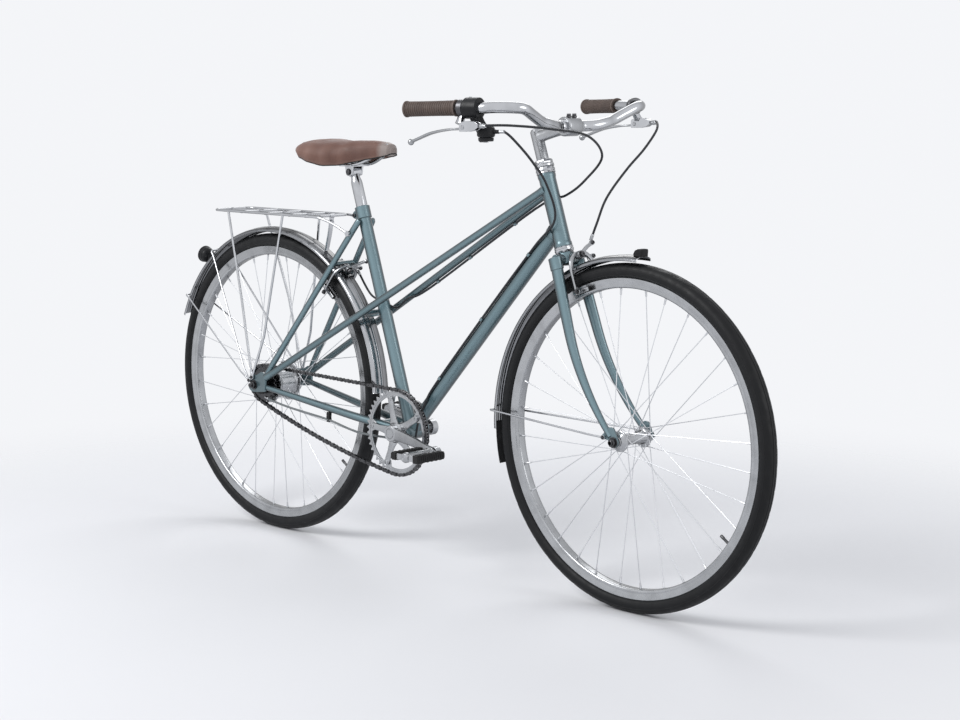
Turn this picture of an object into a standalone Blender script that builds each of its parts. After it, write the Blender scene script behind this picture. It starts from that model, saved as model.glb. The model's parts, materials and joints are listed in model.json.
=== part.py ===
# Mixte city bicycle: twin lateral tubes, fenders, a wire rear rack and a geared rear hub.
# Metres, +Z up, front wheel towards +X, drive side towards -Y, both wheels standing on z = 0.
# x = 0 is midway between the axles.
from math import acos, atan2, ceil, cos, hypot, pi, radians, sin, sqrt

import bmesh
import bpy
from mathutils import Matrix, Vector

# Gaps between neighbouring pieces
TOUCH = 0.0003
RUNNING = 0.0004

# Wheels
WHEELBASE = 1.081
RIM_RADIUS = 0.317
TYRE_HEIGHT = 0.029
TYRE_RADIUS = RIM_RADIUS + TYRE_HEIGHT
TYRE_WIDTH = 0.037
FENDER_CLEARANCE = 0.016
FENDER_RADIUS = TYRE_RADIUS + FENDER_CLEARANCE
RIM_WIDTH = 0.024
RIM_DEPTH = 0.0198
RIM_LIP = 0.0018
RIM_BED = 0.0108
RIM_WELL = 0.0072
WHEEL_SEGMENTS = 28
FACETS_LARGE = 16
FACETS_MEDIUM = 12
FACETS_SMALL = 8
FACETS_TINY = 6
FACETS_WIRE = 5
FACETS_STAY = 4
AXLE_RADIUS = 0.0049
AXLE_BORE = AXLE_RADIUS + RUNNING
SPOKES_PER_FLANGE = 16
SPOKE_CROSSINGS = 3
SPOKE_WIDTH = 0.0018
SPOKE_ROOT = 0.0044
FLANGE_STRIP = 0.003
FRONT_HUB_WIDTH = 0.100
FRONT_FLANGE_RADIUS = 0.021
FRONT_FLANGE_OFFSET = 0.035
FRONT_BARREL_RADIUS = 0.0125
REAR_HUB_WIDTH = 0.135
REAR_FLANGE_RADIUS = 0.046
REAR_FLANGE_OFFSET = 0.029
REAR_BARREL_RADIUS = 0.038
NUT_RADIUS = 0.0090
NUT_HEIGHT = 0.0075

# Frame
SHELL_CLEARANCE = 0.0952
CHAIN_STAY_LENGTH = FENDER_RADIUS + SHELL_CLEARANCE
BOTTOM_BRACKET_DROP = 0.0594
SEAT_ANGLE = radians(72)
SEAT_TUBE_LENGTH = 0.504
SEAT_TUBE_RADIUS = 0.0143
SEAT_TUBE_BORE = 0.0130
COLLAR_RADIUS = 0.0168
COLLAR_HEIGHT = 0.026
HEAD_ANGLE = radians(71.5)
HEAD_TUBE_LENGTH = 0.1515
HEAD_TUBE_RADIUS = 0.0175
HEAD_TUBE_BORE = 0.0158
CROWN_CLEARANCE = 0.0435
HEAD_BASE_TO_AXLE = FENDER_RADIUS + CROWN_CLEARANCE
DOWN_TUBE_RADIUS = 0.0159
DOWN_TUBE_HEAD_HEIGHT = 0.0417
LATERAL_RADIUS = 0.008
LATERAL_HEAD_HEIGHT = 0.1231
LATERAL_FRONT_SPREAD = 0.0122
LATERAL_REAR_SPREAD = 0.068
SEAT_STAY_RADIUS = 0.007
SEAT_STAY_TOP = 0.4715
SEAT_STAY_TOP_SPREAD = 0.0212
SEAT_STAY_LOW_SPREAD = 0.068
CHAIN_STAY_RADIUS = 0.0095
CHAIN_STAY_TIP_RADIUS = 0.0062
CHAIN_STAY_FRONT_SPREAD = 0.0200
CHAIN_STAY_REAR_SPREAD = 0.0655
STAY_BRIDGE_RADIUS = 0.006
DROPOUT_THICKNESS = 0.005
DROPOUT_OFFSET = 0.0700
SHELL_RADIUS = 0.0205
SHELL_BORE = 0.0175
SHELL_HALF_WIDTH = 0.034

# Fork and headset
FORK_OFFSET = 0.057
STEERER_RADIUS = 0.0143
STEERER_BORE = 0.0128
STEERER_TOP = 0.1795
CUP_RADIUS = 0.0200
LOWER_CUP_HEIGHT = 0.0120
UPPER_CUP_HEIGHT = 0.0130
LOCKNUT_HEIGHT = 0.0155
CROWN_HEIGHT = 0.0270
BLADE_TOP_SPREAD = 0.033
BLADE_LOW_SPREAD = 0.0525
BLADE_DEPTH = 0.0135
BLADE_WIDTH = 0.0105
BLADE_TIP_RADIUS = 0.0060
FORK_TIP_THICKNESS = 0.0042

# Drive
CHAIN_PITCH = 0.0127
CHAINRING_TEETH = 46
SPROCKET_TEETH = 21
CHAIN_LINE = 0.0435
ROLLER_RADIUS = 0.0039
ROLLER_LENGTH = 0.0042
LINK_PLATE = 0.0012
TOOTH_PLATE = 0.0028
TOOTH_HEIGHT = 0.0028
TOOTH_ROOT_WIDTH = 0.0034
CHAINRING_INNER_RADIUS = 0.0800
CHAINRING_TAB_RADIUS = 0.0085
CHAINRING_BOLT_CIRCLE = 0.0750
CHAINRING_BOLT_RADIUS = 0.0042
SPIDER_ARMS = 5
SPIDER_THICKNESS = 0.0040
CRANK_LENGTH = 0.170
CRANK_ANGLE = radians(-5)
SPINDLE_RADIUS = 0.0085
CRANK_INNER_FACE = 0.0500
CRANK_OUTER_FACE = 0.0660
PEDAL_FACE = 0.0985
PEDAL_BOSS_THICKNESS = 0.0140
PEDAL_SPINDLE_RADIUS = 0.0055
PEDAL_LENGTH = 0.080
PEDAL_DEPTH = 0.080
PEDAL_HEIGHT = 0.018

# Saddle and seatpost
SEATPOST_RADIUS = 0.0127
SEATPOST_FOOT = 0.345
SEATPOST_HEAD = 0.5845
SADDLE_REAR = 0.132
SADDLE_LENGTH = 0.268
SADDLE_HALF_WIDTH = 0.083
RAIL_RADIUS = 0.0035

# Cockpit
STEM_TOP = 0.242
STEM_QUILL_RADIUS = 0.0125
STEM_FOOT = 0.105
STEM_CLAMP_HALF_WIDTH = 0.020
BAR_RADIUS = 0.0111
BAR_CENTRE_RADIUS = 0.0127
GRIP_RADIUS = 0.0150
LEVER_LENGTH = 0.150
LEVER_EYE_RADIUS = 0.0060
LEVER_PIN_RADIUS = 0.0024

# Fenders
FENDER_WIDTH = 0.044
FENDER_SHEET = 0.0012
FENDER_LIP_DROP = 0.0100
FRONT_FENDER_ARC = (radians(86), radians(183))
REAR_FENDER_ARC = (radians(2), radians(158))
STAY_WIRE_RADIUS = 0.0024

# Rack
RACK_WIRE_RADIUS = 0.003
RACK_CLEARANCE = 0.050
RACK_HEIGHT = 2 * TYRE_RADIUS + RACK_CLEARANCE
RACK_REAR = -0.705
RACK_FRONT = -0.345
RACK_HALF_WIDTH = 0.055

# Finishes: colour, metallic, roughness
PAINT = ((0.145, 0.225, 0.260), 0.45, 0.32)
CHROME = ((0.72, 0.73, 0.74), 1.0, 0.18)
ALLOY = ((0.62, 0.63, 0.64), 1.0, 0.34)
STEEL = ((0.50, 0.50, 0.50), 1.0, 0.38)
TYRE_RUBBER = ((0.018, 0.018, 0.020), 0.0, 0.80)
BLACK_PLASTIC = ((0.020, 0.021, 0.023), 0.0, 0.45)
BLACK_RUBBER = ((0.025, 0.025, 0.025), 0.0, 0.85)
BROWN_LEATHER = ((0.170, 0.085, 0.060), 0.0, 0.55)
BROWN_GRIP = ((0.085, 0.060, 0.050), 0.0, 0.75)
CABLE_JACKET = ((0.060, 0.065, 0.070), 0.0, 0.50)
RED_LENS = ((0.30, 0.02, 0.02), 0.0, 0.12)

# Directions and main points
ALONG_X = Vector((1, 0, 0))
ALONG_Y = Vector((0, 1, 0))
ALONG_Z = Vector((0, 0, 1))
SIDES = (("right", -1), ("left", 1))
FRONT_AXLE = Vector((WHEELBASE / 2, 0, TYRE_RADIUS))
REAR_AXLE = Vector((-WHEELBASE / 2, 0, TYRE_RADIUS))
STAY_RUN = sqrt(CHAIN_STAY_LENGTH ** 2 - BOTTOM_BRACKET_DROP ** 2)
BRACKET = REAR_AXLE + Vector((STAY_RUN, 0, -BOTTOM_BRACKET_DROP))
SEAT_UP = Vector((-cos(SEAT_ANGLE), 0, sin(SEAT_ANGLE)))
HEAD_UP = Vector((-cos(HEAD_ANGLE), 0, sin(HEAD_ANGLE)))
HEAD_FORWARD = Vector((sin(HEAD_ANGLE), 0, cos(HEAD_ANGLE)))
HEAD_BASE = FRONT_AXLE - HEAD_FORWARD * FORK_OFFSET + HEAD_UP * HEAD_BASE_TO_AXLE


def clear_scene():
    for item in list(bpy.data.objects):
        bpy.data.objects.remove(item, do_unlink=True)


def point(x, y, z):
    return Vector((x, y, z))


def mirrored(place, side):
    """The same place on the left (+1) or on the right (-1)."""
    return Vector((place.x, abs(place.y) * side, place.z))


def head_point(height, forward=0.0, across=0.0):
    return HEAD_BASE + HEAD_UP * height + HEAD_FORWARD * forward + ALONG_Y * across


def seat_point(height):
    return BRACKET + SEAT_UP * height


def round_wheel(axle, radius, angle, across=0.0):
    """A point at a radius and an angle round an axle, seen from the drive side."""
    return axle + Vector((radius * cos(angle), across, radius * sin(angle)))


# Mesh building

def loft(rings, closed=False):
    """Skins a row of rings that have equal counts, and caps the ends unless the row is closed."""
    count = len(rings[0])
    corners = [corner for ring in rings for corner in ring]
    faces = []
    spans = len(rings) if closed else len(rings) - 1
    for step in range(spans):
        near = step * count
        far = ((step + 1) % len(rings)) * count
        for index in range(count):
            after = (index + 1) % count
            faces.append((near + index, near + after, far + after, far + index))
    if not closed:
        last = (len(rings) - 1) * count
        faces.append(tuple(reversed(range(count))))
        faces.append(tuple(range(last, last + count)))
    return mesh_object(corners, faces)


def mesh_object(corners, faces):
    """A working object from corners and faces, with its faces turned outwards."""
    mesh = bpy.data.meshes.new("work")
    mesh.from_pydata([tuple(corner) for corner in corners], [], faces)
    item = bpy.data.objects.new("work", mesh)
    bpy.context.collection.objects.link(item)
    if volume_of(mesh) < 0:
        mesh.flip_normals()
    return item


def volume_of(mesh):
    total = 0.0
    for face in mesh.polygons:
        corners = [mesh.vertices[index].co for index in face.vertices]
        for second, third in zip(corners[1:], corners[2:]):
            total += corners[0].dot(second.cross(third))
    return total / 6


def ring(centre, axis, radius, count, start=None, squash=1.0):
    """Corners of a circle; squash shrinks it across its start direction."""
    axis = axis.normalized()
    if start is None:
        start = ALONG_X if abs(axis.y) > 0.9 else ALONG_Y
    first = (start - axis * start.dot(axis)).normalized()
    second = axis.cross(first)
    turn = 2 * pi / count
    return [
        centre + first * radius * cos(turn * index) + second * radius * squash * sin(turn * index)
        for index in range(count)
    ]


def revolve(profile, centre, axis=ALONG_Y, count=16, closed=True, start=None):
    """Turns (radius, distance along the axis) points round the axis."""
    axis = axis.normalized()
    rings = [ring(centre + axis * along, axis, radius, count, start) for radius, along in profile]
    return loft(rings, closed)


def rod(start, end, radius, count=8, first=None):
    axis = end - start
    return loft([ring(start, axis, radius, count, first), ring(end, axis, radius, count, first)])


def tangents(route, closed=False):
    found = []
    last = len(route) - 1
    for index in range(len(route)):
        before = route[index - 1] if index or closed else route[index]
        after = route[(index + 1) % len(route)] if index < last or closed else route[index]
        found.append((after - before).normalized())
    return found


def tube(route, radii, count=8, closed=False, start=None):
    """A round bar along a route, its rings carried along without twisting or held to a start."""
    if not isinstance(radii, (list, tuple)):
        radii = [radii] * len(route)
    headings = tangents(route, closed)
    first = ALONG_X if abs(headings[0].y) > 0.9 else ALONG_Y
    rings = []
    for place, heading, radius in zip(route, headings, radii):
        first = start or first
        first = (first - heading * first.dot(heading)).normalized()
        rings.append(ring(place, heading, radius, count, first))
    return loft(rings, closed)


def strip(route, width_direction, half_width, half_depth, closed=False):
    """A flat bar along a route, with its width held in one direction."""
    halves = half_width if isinstance(half_width, (list, tuple)) else [half_width] * len(route)
    rings = []
    for place, heading, half in zip(route, tangents(route, closed), halves):
        across = (width_direction - heading * width_direction.dot(heading)).normalized()
        depth = heading.cross(across)
        rings.append([
            place + across * half * a + depth * half_depth * d
            for a, d in ((-1, -1), (1, -1), (1, 1), (-1, 1))
        ])
    return loft(rings, closed)


def slab(outline, origin, across, up, normal, low, high):
    """An outline of (across, up) points, pushed out from low to high along the normal."""
    def layer(height):
        return [origin + across * a + up * b + normal * height for a, b in outline]
    return loft([layer(low), layer(high)])


def plate(outline, origin, low, high):
    """An upright plate: an outline in X and Z, from y = low to y = high."""
    return slab(outline, origin, ALONG_X, ALONG_Z, ALONG_Y, low - origin.y, high - origin.y)


def block(low, high):
    outline = [(low[0], low[2]), (high[0], low[2]), (high[0], high[2]), (low[0], high[2])]
    return plate(outline, Vector((0, 0, 0)), low[1], high[1])


def combine(target, tool, operation):
    """Joins or cuts the target with one more solid, which is used up."""
    tool.hide_render = True
    tool.display_type = 'WIRE'
    change = target.modifiers.new("change", 'BOOLEAN')
    change.operation = operation
    change.solver = 'EXACT'
    change.object = tool
    shaped = target.evaluated_get(bpy.context.evaluated_depsgraph_get())
    mesh = bpy.data.meshes.new_from_object(shaped)
    target.modifiers.clear()
    target.data = mesh
    bpy.data.objects.remove(tool, do_unlink=True)


def join(target, *others):
    for other in others:
        combine(target, other, 'UNION')
    return target


def cut(target, *tools):
    for tool in tools:
        combine(target, tool, 'DIFFERENCE')
    return target


def drop_offcuts(solid):
    """Keeps a cut solid's largest body and drops the crumbs beyond a cope."""
    shape = bmesh.new()
    shape.from_mesh(solid.data)
    waiting = set(shape.faces)
    bodies = []
    while waiting:
        first = waiting.pop()
        found = {first}
        edge_of = [first]
        while edge_of:
            face = edge_of.pop()
            for edge in face.edges:
                for other in edge.link_faces:
                    if other in waiting:
                        waiting.discard(other)
                        found.add(other)
                        edge_of.append(other)
        bodies.append(found)
    bodies.sort(key=lambda faces: sum(face.calc_area() for face in faces))
    for faces in bodies[:-1]:
        bmesh.ops.delete(shape, geom=list(faces), context='FACES')
    shape.to_mesh(solid.data)
    shape.free()
    return solid


def grown(outline, margin):
    """An outline moved outwards by a margin, for a slot round a plate."""
    area = sum(a[0] * b[1] - b[0] * a[1] for a, b in zip(outline, outline[1:] + outline[:1]))
    turn = 1 if area > 0 else -1
    moved = []
    for index, corner in enumerate(outline):
        before = Vector(corner) - Vector(outline[index - 1])
        after = Vector(outline[(index + 1) % len(outline)]) - Vector(corner)
        out_before = Vector((before.y, -before.x)).normalized() * turn
        out_after = Vector((after.y, -after.x)).normalized() * turn
        middle = (out_before + out_after).normalized()
        reach = margin / max(middle.dot(out_before), 0.5)
        moved.append((corner[0] + middle.x * reach, corner[1] + middle.y * reach))
    return moved


def smooth(points, steps):
    """A rounded curve through the route's own points."""
    curve = []
    for index in range(len(points) - 1):
        before = points[max(index - 1, 0)]
        here = points[index]
        after = points[index + 1]
        beyond = points[min(index + 2, len(points) - 1)]
        for step in range(steps):
            t = step / steps
            curve.append(
                here + (after - before) * (0.5 * t)
                + (before * 2 - here * 5 + after * 4 - beyond) * (0.5 * t ** 2)
                + (here * 3 - before - after * 3 + beyond) * (0.5 * t ** 3)
            )
    return curve + [points[-1]]


# Bodies and pieces

PIVOTS = {}


def body(name, pivot, carrier=None):
    """An empty on a body's joint axis, which its pieces hang from."""
    empty = bpy.data.objects.new(name, None)
    empty.empty_display_size = 0.03
    bpy.context.collection.objects.link(empty)
    if carrier:
        empty.parent = carrier
    PIVOTS[name] = pivot
    empty.location = pivot - (PIVOTS[carrier.name] if carrier else Vector())
    return empty


def finish_material(name, finish):
    colour, metallic, roughness = finish
    material = bpy.data.materials.new(name + "_finish")
    material.use_nodes = True
    surface = material.node_tree.nodes["Principled BSDF"]
    surface.inputs["Base Color"].default_value = (*colour, 1)
    surface.inputs["Metallic"].default_value = metallic
    surface.inputs["Roughness"].default_value = roughness
    return material


def piece(name, solid, carrier, finish):
    """Names a finished solid and hangs it from its body, with its origin on the joint."""
    solid.name = name
    solid.data.name = name
    solid.data.transform(Matrix.Translation(-PIVOTS[carrier.name]))
    solid.parent = carrier
    solid.data.materials.clear()
    solid.data.materials.append(finish_material(name, finish))
    solid.data.shade_smooth()
    solid.data.set_sharp_from_angle(angle=radians(38))
    return solid


def cable(name, route, radius, carrier, finish):
    """A round cable as a curve through a smoothed route."""
    curve = bpy.data.curves.new(name, 'CURVE')
    curve.dimensions = '3D'
    curve.bevel_depth = radius
    curve.bevel_resolution = 2
    curve.use_fill_caps = True
    spline = curve.splines.new('POLY')
    spline.points.add(len(route) - 1)
    for knot, place in zip(spline.points, route):
        knot.co = (*(place - PIVOTS[carrier.name]), 1)
    item = bpy.data.objects.new(name, curve)
    bpy.context.collection.objects.link(item)
    item.parent = carrier
    curve.materials.append(finish_material(name, finish))
    return item


# Frame

DROPOUT_OUTLINE = [
    (-0.019, -0.0054), (-0.019, -0.0095), (-0.008, -0.0170), (0.018, -0.0150), (0.038, -0.0125),
    (0.040, 0.0120), (0.038, 0.0300), (0.026, 0.0330), (0.010, 0.0240), (-0.010, 0.0240),
    (-0.019, 0.0125), (-0.019, 0.0054), (0.0, 0.0054), (0.0044, 0.0037), (0.0058, 0.0),
    (0.0044, -0.0037), (0.0, -0.0054),
]
DROPOUT_SOLID_OUTLINE = [
    (-0.019, -0.0095), (-0.008, -0.0170), (0.018, -0.0150), (0.038, -0.0125), (0.040, 0.0120),
    (0.038, 0.0300), (0.026, 0.0330), (0.010, 0.0240), (-0.010, 0.0240), (-0.019, 0.0125),
]
RACK_EYE = Vector((-0.0030, 0, 0.0180))
FENDER_EYE = Vector((-0.0135, 0, 0.0095))
SEAT_STAY_LOW = Vector((0.029, 0, 0.014))
LATERAL_LOW = Vector((0.0275, 0, 0.0142))
BRIDGE_CLEARANCE = 0.0135
BRAKE_BRIDGE_RADIUS = FENDER_RADIUS + BRIDGE_CLEARANCE


def dropout(side):
    low = DROPOUT_OFFSET * side - DROPOUT_THICKNESS / 2
    return plate(DROPOUT_OUTLINE, REAR_AXLE, low, low + DROPOUT_THICKNESS)


def dropout_slot(side):
    """The slot that a stay's end needs round its dropout."""
    low = DROPOUT_OFFSET * side - DROPOUT_THICKNESS / 2 - TOUCH
    outline = grown(DROPOUT_SOLID_OUTLINE, TOUCH)
    return plate(outline, REAR_AXLE, low, low + DROPOUT_THICKNESS + 2 * TOUCH)


def seat_stay_line(side):
    top = seat_point(SEAT_STAY_TOP)
    top.y = SEAT_STAY_TOP_SPREAD * side
    low = REAR_AXLE + SEAT_STAY_LOW
    low.y = SEAT_STAY_LOW_SPREAD * side
    return low, top


def stay_middle(radius):
    """The point between the seat stays at a radius round the rear axle."""
    low, top = seat_stay_line(1)
    near, far = 0.0, 1.0
    while far - near > 1e-6:
        share = (near + far) / 2
        place = low.lerp(top, share)
        if hypot(place.x - REAR_AXLE.x, place.z - REAR_AXLE.z) < radius:
            near = share
        else:
            far = share
    return low.lerp(top, share)


def lateral_line(side):
    front = head_point(LATERAL_HEAD_HEIGHT) + ALONG_X * 0.004
    front.y = LATERAL_FRONT_SPREAD * side
    rear = REAR_AXLE + LATERAL_LOW
    rear.y = LATERAL_REAR_SPREAD * side
    return rear, front


def lateral_at(x, side=1):
    rear, front = lateral_line(side)
    return rear.lerp(front, (x - rear.x) / (front.x - rear.x))


def chain_stay_route(side):
    front = BRACKET + point(0.004, CHAIN_STAY_FRONT_SPREAD * side, 0.001)
    middle = BRACKET.lerp(REAR_AXLE, 0.31) + point(0, 0.0375 * side, -0.001)
    back = REAR_AXLE + point(0.024, CHAIN_STAY_REAR_SPREAD * side, -0.002)
    return [front, middle, back]


def head_cope(margin=TOUCH):
    return rod(head_point(-0.03), head_point(0.20), HEAD_TUBE_RADIUS + margin, FACETS_LARGE)


def shell_cope():
    reach = ALONG_Y * 0.06
    return rod(BRACKET - reach, BRACKET + reach, SHELL_RADIUS + TOUCH, FACETS_LARGE)


def seat_tube_cope():
    return rod(seat_point(-0.02), seat_point(0.56), SEAT_TUBE_RADIUS + TOUCH, FACETS_MEDIUM)


def make_head_tube(frame):
    length = HEAD_TUBE_LENGTH
    flare = HEAD_TUBE_RADIUS + 0.0012
    profile = [
        (HEAD_TUBE_BORE, 0), (flare, 0), (HEAD_TUBE_RADIUS, 0.011),
        (HEAD_TUBE_RADIUS, length - 0.011), (flare, length), (HEAD_TUBE_BORE, length),
    ]
    piece("head_tube", revolve(profile, HEAD_BASE, HEAD_UP, FACETS_LARGE), frame, PAINT)


def make_cups(frame):
    bore = STEERER_RADIUS + 0.0009
    low = LOWER_CUP_HEIGHT
    lower = [
        (bore, -low - TOUCH), (CUP_RADIUS - 0.0025, -low - TOUCH), (CUP_RADIUS, -low / 2),
        (CUP_RADIUS - 0.0012, -TOUCH), (bore, -TOUCH),
    ]
    piece("headset_lower_cup", revolve(lower, HEAD_BASE, HEAD_UP, FACETS_MEDIUM), frame, CHROME)
    base = HEAD_TUBE_LENGTH
    high = base + UPPER_CUP_HEIGHT
    upper = [
        (bore, base + TOUCH), (CUP_RADIUS - 0.0012, base + TOUCH), (CUP_RADIUS, high - 0.006),
        (CUP_RADIUS - 0.0022, high), (bore, high),
    ]
    piece("headset_upper_cup", revolve(upper, HEAD_BASE, HEAD_UP, FACETS_MEDIUM), frame, CHROME)


def make_down_tube(frame):
    solid = rod(BRACKET, head_point(DOWN_TUBE_HEAD_HEIGHT), DOWN_TUBE_RADIUS, FACETS_LARGE)
    # the seat tube runs into the shell first, so the down tube is coped round both
    cut(solid, head_cope(0.0012 + TOUCH), shell_cope(), seat_tube_cope())
    piece("down_tube", solid, frame, PAINT)


def make_seat_tube(frame):
    solid = rod(BRACKET, seat_point(SEAT_TUBE_LENGTH), SEAT_TUBE_RADIUS, FACETS_MEDIUM)
    collar_foot = SEAT_TUBE_LENGTH - COLLAR_HEIGHT
    collar = rod(seat_point(collar_foot), seat_point(SEAT_TUBE_LENGTH + 0.001), COLLAR_RADIUS, FACETS_MEDIUM)
    back = -SEAT_UP.cross(ALONG_Y)
    back = back if back.x < 0 else -back
    ears_at = seat_point(SEAT_TUBE_LENGTH - COLLAR_HEIGHT / 2)
    half = COLLAR_HEIGHT / 2 - 0.003
    outline = [(0.010, -half), (0.0265, -half), (0.0285, 0), (0.0265, half), (0.010, half)]
    ears = slab(outline, ears_at, back, SEAT_UP, ALONG_Y, -0.0085, 0.0085)
    join(solid, collar, ears)
    bore = rod(seat_point(0.032), seat_point(SEAT_TUBE_LENGTH + 0.02), SEAT_TUBE_BORE, FACETS_MEDIUM)
    slit = slab(
        [(0.0172, -0.03), (0.04, -0.03), (0.04, 0.03), (0.0172, 0.03)],
        ears_at, back, SEAT_UP, ALONG_Y, -0.0015, 0.0015,
    )
    cut(solid, bore, slit, shell_cope())
    bolt_at = ears_at + back * 0.0225
    bolt = rod(bolt_at - ALONG_Y * 0.0120, bolt_at + ALONG_Y * 0.0120, 0.0027, FACETS_TINY)
    join(solid, bolt)
    piece("seat_tube", solid, frame, PAINT)


def make_bottom_bracket(frame):
    half = SHELL_HALF_WIDTH
    profile = [(SHELL_BORE, -half), (SHELL_RADIUS, -half), (SHELL_RADIUS, half), (SHELL_BORE, half)]
    piece("bottom_bracket_shell", revolve(profile, BRACKET, ALONG_Y, FACETS_LARGE), frame, PAINT)
    bore = SPINDLE_RADIUS + RUNNING
    body_radius = (SHELL_BORE - TOUCH) * cos(pi / FACETS_LARGE)
    flange = SHELL_RADIUS - 0.0015
    inner = half + TOUCH
    outer = half + 0.0035
    cartridge = [
        (bore, -outer), (flange, -outer), (flange, -inner), (body_radius, -inner),
        (body_radius, inner), (flange, inner), (flange, outer), (bore, outer),
    ]
    solid = revolve(cartridge, BRACKET, ALONG_Y, FACETS_MEDIUM)
    piece("bottom_bracket_cartridge", solid, frame, STEEL)


def make_lateral_tubes(frame):
    tubes = [rod(*lateral_line(side), LATERAL_RADIUS, FACETS_SMALL) for name, side in SIDES]
    solid = tubes[0]
    seat_x = seat_point(0.2785).x
    behind = seat_x - SEAT_TUBE_RADIUS / sin(SEAT_ANGLE) - STAY_BRIDGE_RADIUS - 0.0016
    right = lateral_at(behind, -1)
    left = lateral_at(behind, 1)
    join(solid, rod(right, left, STAY_BRIDGE_RADIUS, FACETS_TINY))
    heading = (lateral_at(behind) - lateral_at(behind - 0.1)).normalized()
    heading = (heading - ALONG_Y * heading.y).normalized()
    normal = heading.cross(ALONG_Y)
    gusset = [(-0.026, -0.048), (-0.002, -0.047), (-0.002, 0.047), (-0.026, 0.048)]
    middle = (right + left) / 2
    join(solid, slab(gusset, middle, heading, ALONG_Y, normal, -0.002, 0.002))
    hole = [(-0.015 + 0.0065 * cos(pi * k / 4), 0.017 * sin(pi * k / 4)) for k in range(8)]
    cut(solid, slab(hole, middle, heading, ALONG_Y, normal, -0.01, 0.01))
    join(solid, tubes[1])
    cut(solid, head_cope(0.0012 + TOUCH))
    for name, side in SIDES:
        low, top = seat_stay_line(side)
        down = (low - top).normalized() * 0.03
        cut(solid, rod(low + down, top, SEAT_STAY_RADIUS + 0.0013, FACETS_SMALL))
        cut(solid, dropout_slot(side))
    piece("lateral_tubes", drop_offcuts(solid), frame, PAINT)


def make_seat_stays(frame):
    stays = [rod(*seat_stay_line(side), SEAT_STAY_RADIUS, FACETS_SMALL) for name, side in SIDES]
    middle = stay_middle(BRAKE_BRIDGE_RADIUS)
    bridge = rod(mirrored(middle, -1), mirrored(middle, 1), STAY_BRIDGE_RADIUS, FACETS_TINY)
    solid = stays[0]
    join(solid, bridge, stays[1])
    cut(solid, seat_tube_cope())
    cut(solid, *[dropout_slot(side) for name, side in SIDES])
    piece("seat_stays", solid, frame, PAINT)


def make_chain_stays(frame):
    radii = [CHAIN_STAY_RADIUS, CHAIN_STAY_RADIUS, CHAIN_STAY_TIP_RADIUS]
    routes = {side: chain_stay_route(side) for name, side in SIDES}
    bridge_at = {side: routes[side][0].lerp(routes[side][1], 0.55) for name, side in SIDES}
    solid = rod(bridge_at[-1], bridge_at[1], STAY_BRIDGE_RADIUS, FACETS_TINY)
    for name, side in SIDES:
        join(solid, tube(routes[side], radii, FACETS_SMALL), dropout(side))
    cut(solid, shell_cope(), seat_tube_cope())
    piece("chain_stays", solid, frame, PAINT)


# Wheels

def wheel_ring(profile, axle):
    return revolve(profile, axle, ALONG_Y, WHEEL_SEGMENTS, True, ALONG_X)


def rim_profile():
    half = RIM_WIDTH / 2
    well = RIM_RADIUS - RIM_WELL
    inner = RIM_RADIUS - RIM_DEPTH
    right = [(RIM_RADIUS, half), (inner, RIM_BED)]
    left = [(inner, -RIM_BED), (RIM_RADIUS, -half)]
    return right + left + [(well, RIM_LIP - half), (well, half - RIM_LIP)]


def tyre_profile():
    half = TYRE_WIDTH / 2
    bead = RIM_WIDTH / 2 - 0.0036
    height = TYRE_RADIUS - RIM_RADIUS
    side = [
        (RIM_RADIUS - RIM_WELL + 0.0006, bead), (RIM_RADIUS + height * 0.47, half),
        (TYRE_RADIUS, half * 0.38),
    ]
    return side + [(radius, -across) for radius, across in reversed(side)]


def hub_solid(axle, end, flange_radius, flange_offset, barrel_radius):
    """A hub shell whose flange faces are drawn out into the spokes."""
    outer = flange_offset + FLANGE_STRIP
    inner = flange_offset - FLANGE_STRIP
    half = [
        (AXLE_BORE, -end), (flange_radius * 0.48, -end), (flange_radius, -outer),
        (flange_radius, -inner), (barrel_radius, -inner + 0.0015),
    ]
    profile = half + [(radius, -along) for radius, along in reversed(half)]
    return revolve(profile, axle, ALONG_Y, SPOKES_PER_FLANGE, True, ALONG_X)


def spoke_faces(hub, axle, flange_radius, flange_offset):
    """Faces of the flange rims, as (face, its side, whether its spoke leads)."""
    flat = flange_radius * cos(pi / SPOKES_PER_FLANGE)
    found = []
    for face in hub.faces:
        centre = face.calc_center_median() - axle
        distance = hypot(centre.x, centre.z)
        lift = abs(abs(centre.y) - flange_offset)
        if abs(distance - flat) < 1e-5 and lift < 1e-5:
            number = round(atan2(centre.z, centre.x) / (2 * pi / SPOKES_PER_FLANGE) - 0.5)
            found.append((face, 1 if centre.y > 0 else -1, number % 2 == 0))
    return found


def make_wheel(prefix, axle, rim_body, end, flange_radius, flange_offset, barrel_radius):
    piece(prefix + "_tyre", wheel_ring(tyre_profile(), axle), rim_body, TYRE_RUBBER)
    piece(prefix + "_rim", wheel_ring(rim_profile(), axle), rim_body, ALLOY)
    hub = hub_solid(axle, end, flange_radius, flange_offset, barrel_radius)
    shape = bmesh.new()
    shape.from_mesh(hub.data)
    for face, side, leading in spoke_faces(shape, axle, flange_radius, flange_offset):
        draw_spoke(shape, axle, face, side, leading)
    shape.to_mesh(hub.data)
    shape.free()
    piece(prefix + "_hub", hub, rim_body, ALLOY)


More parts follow.
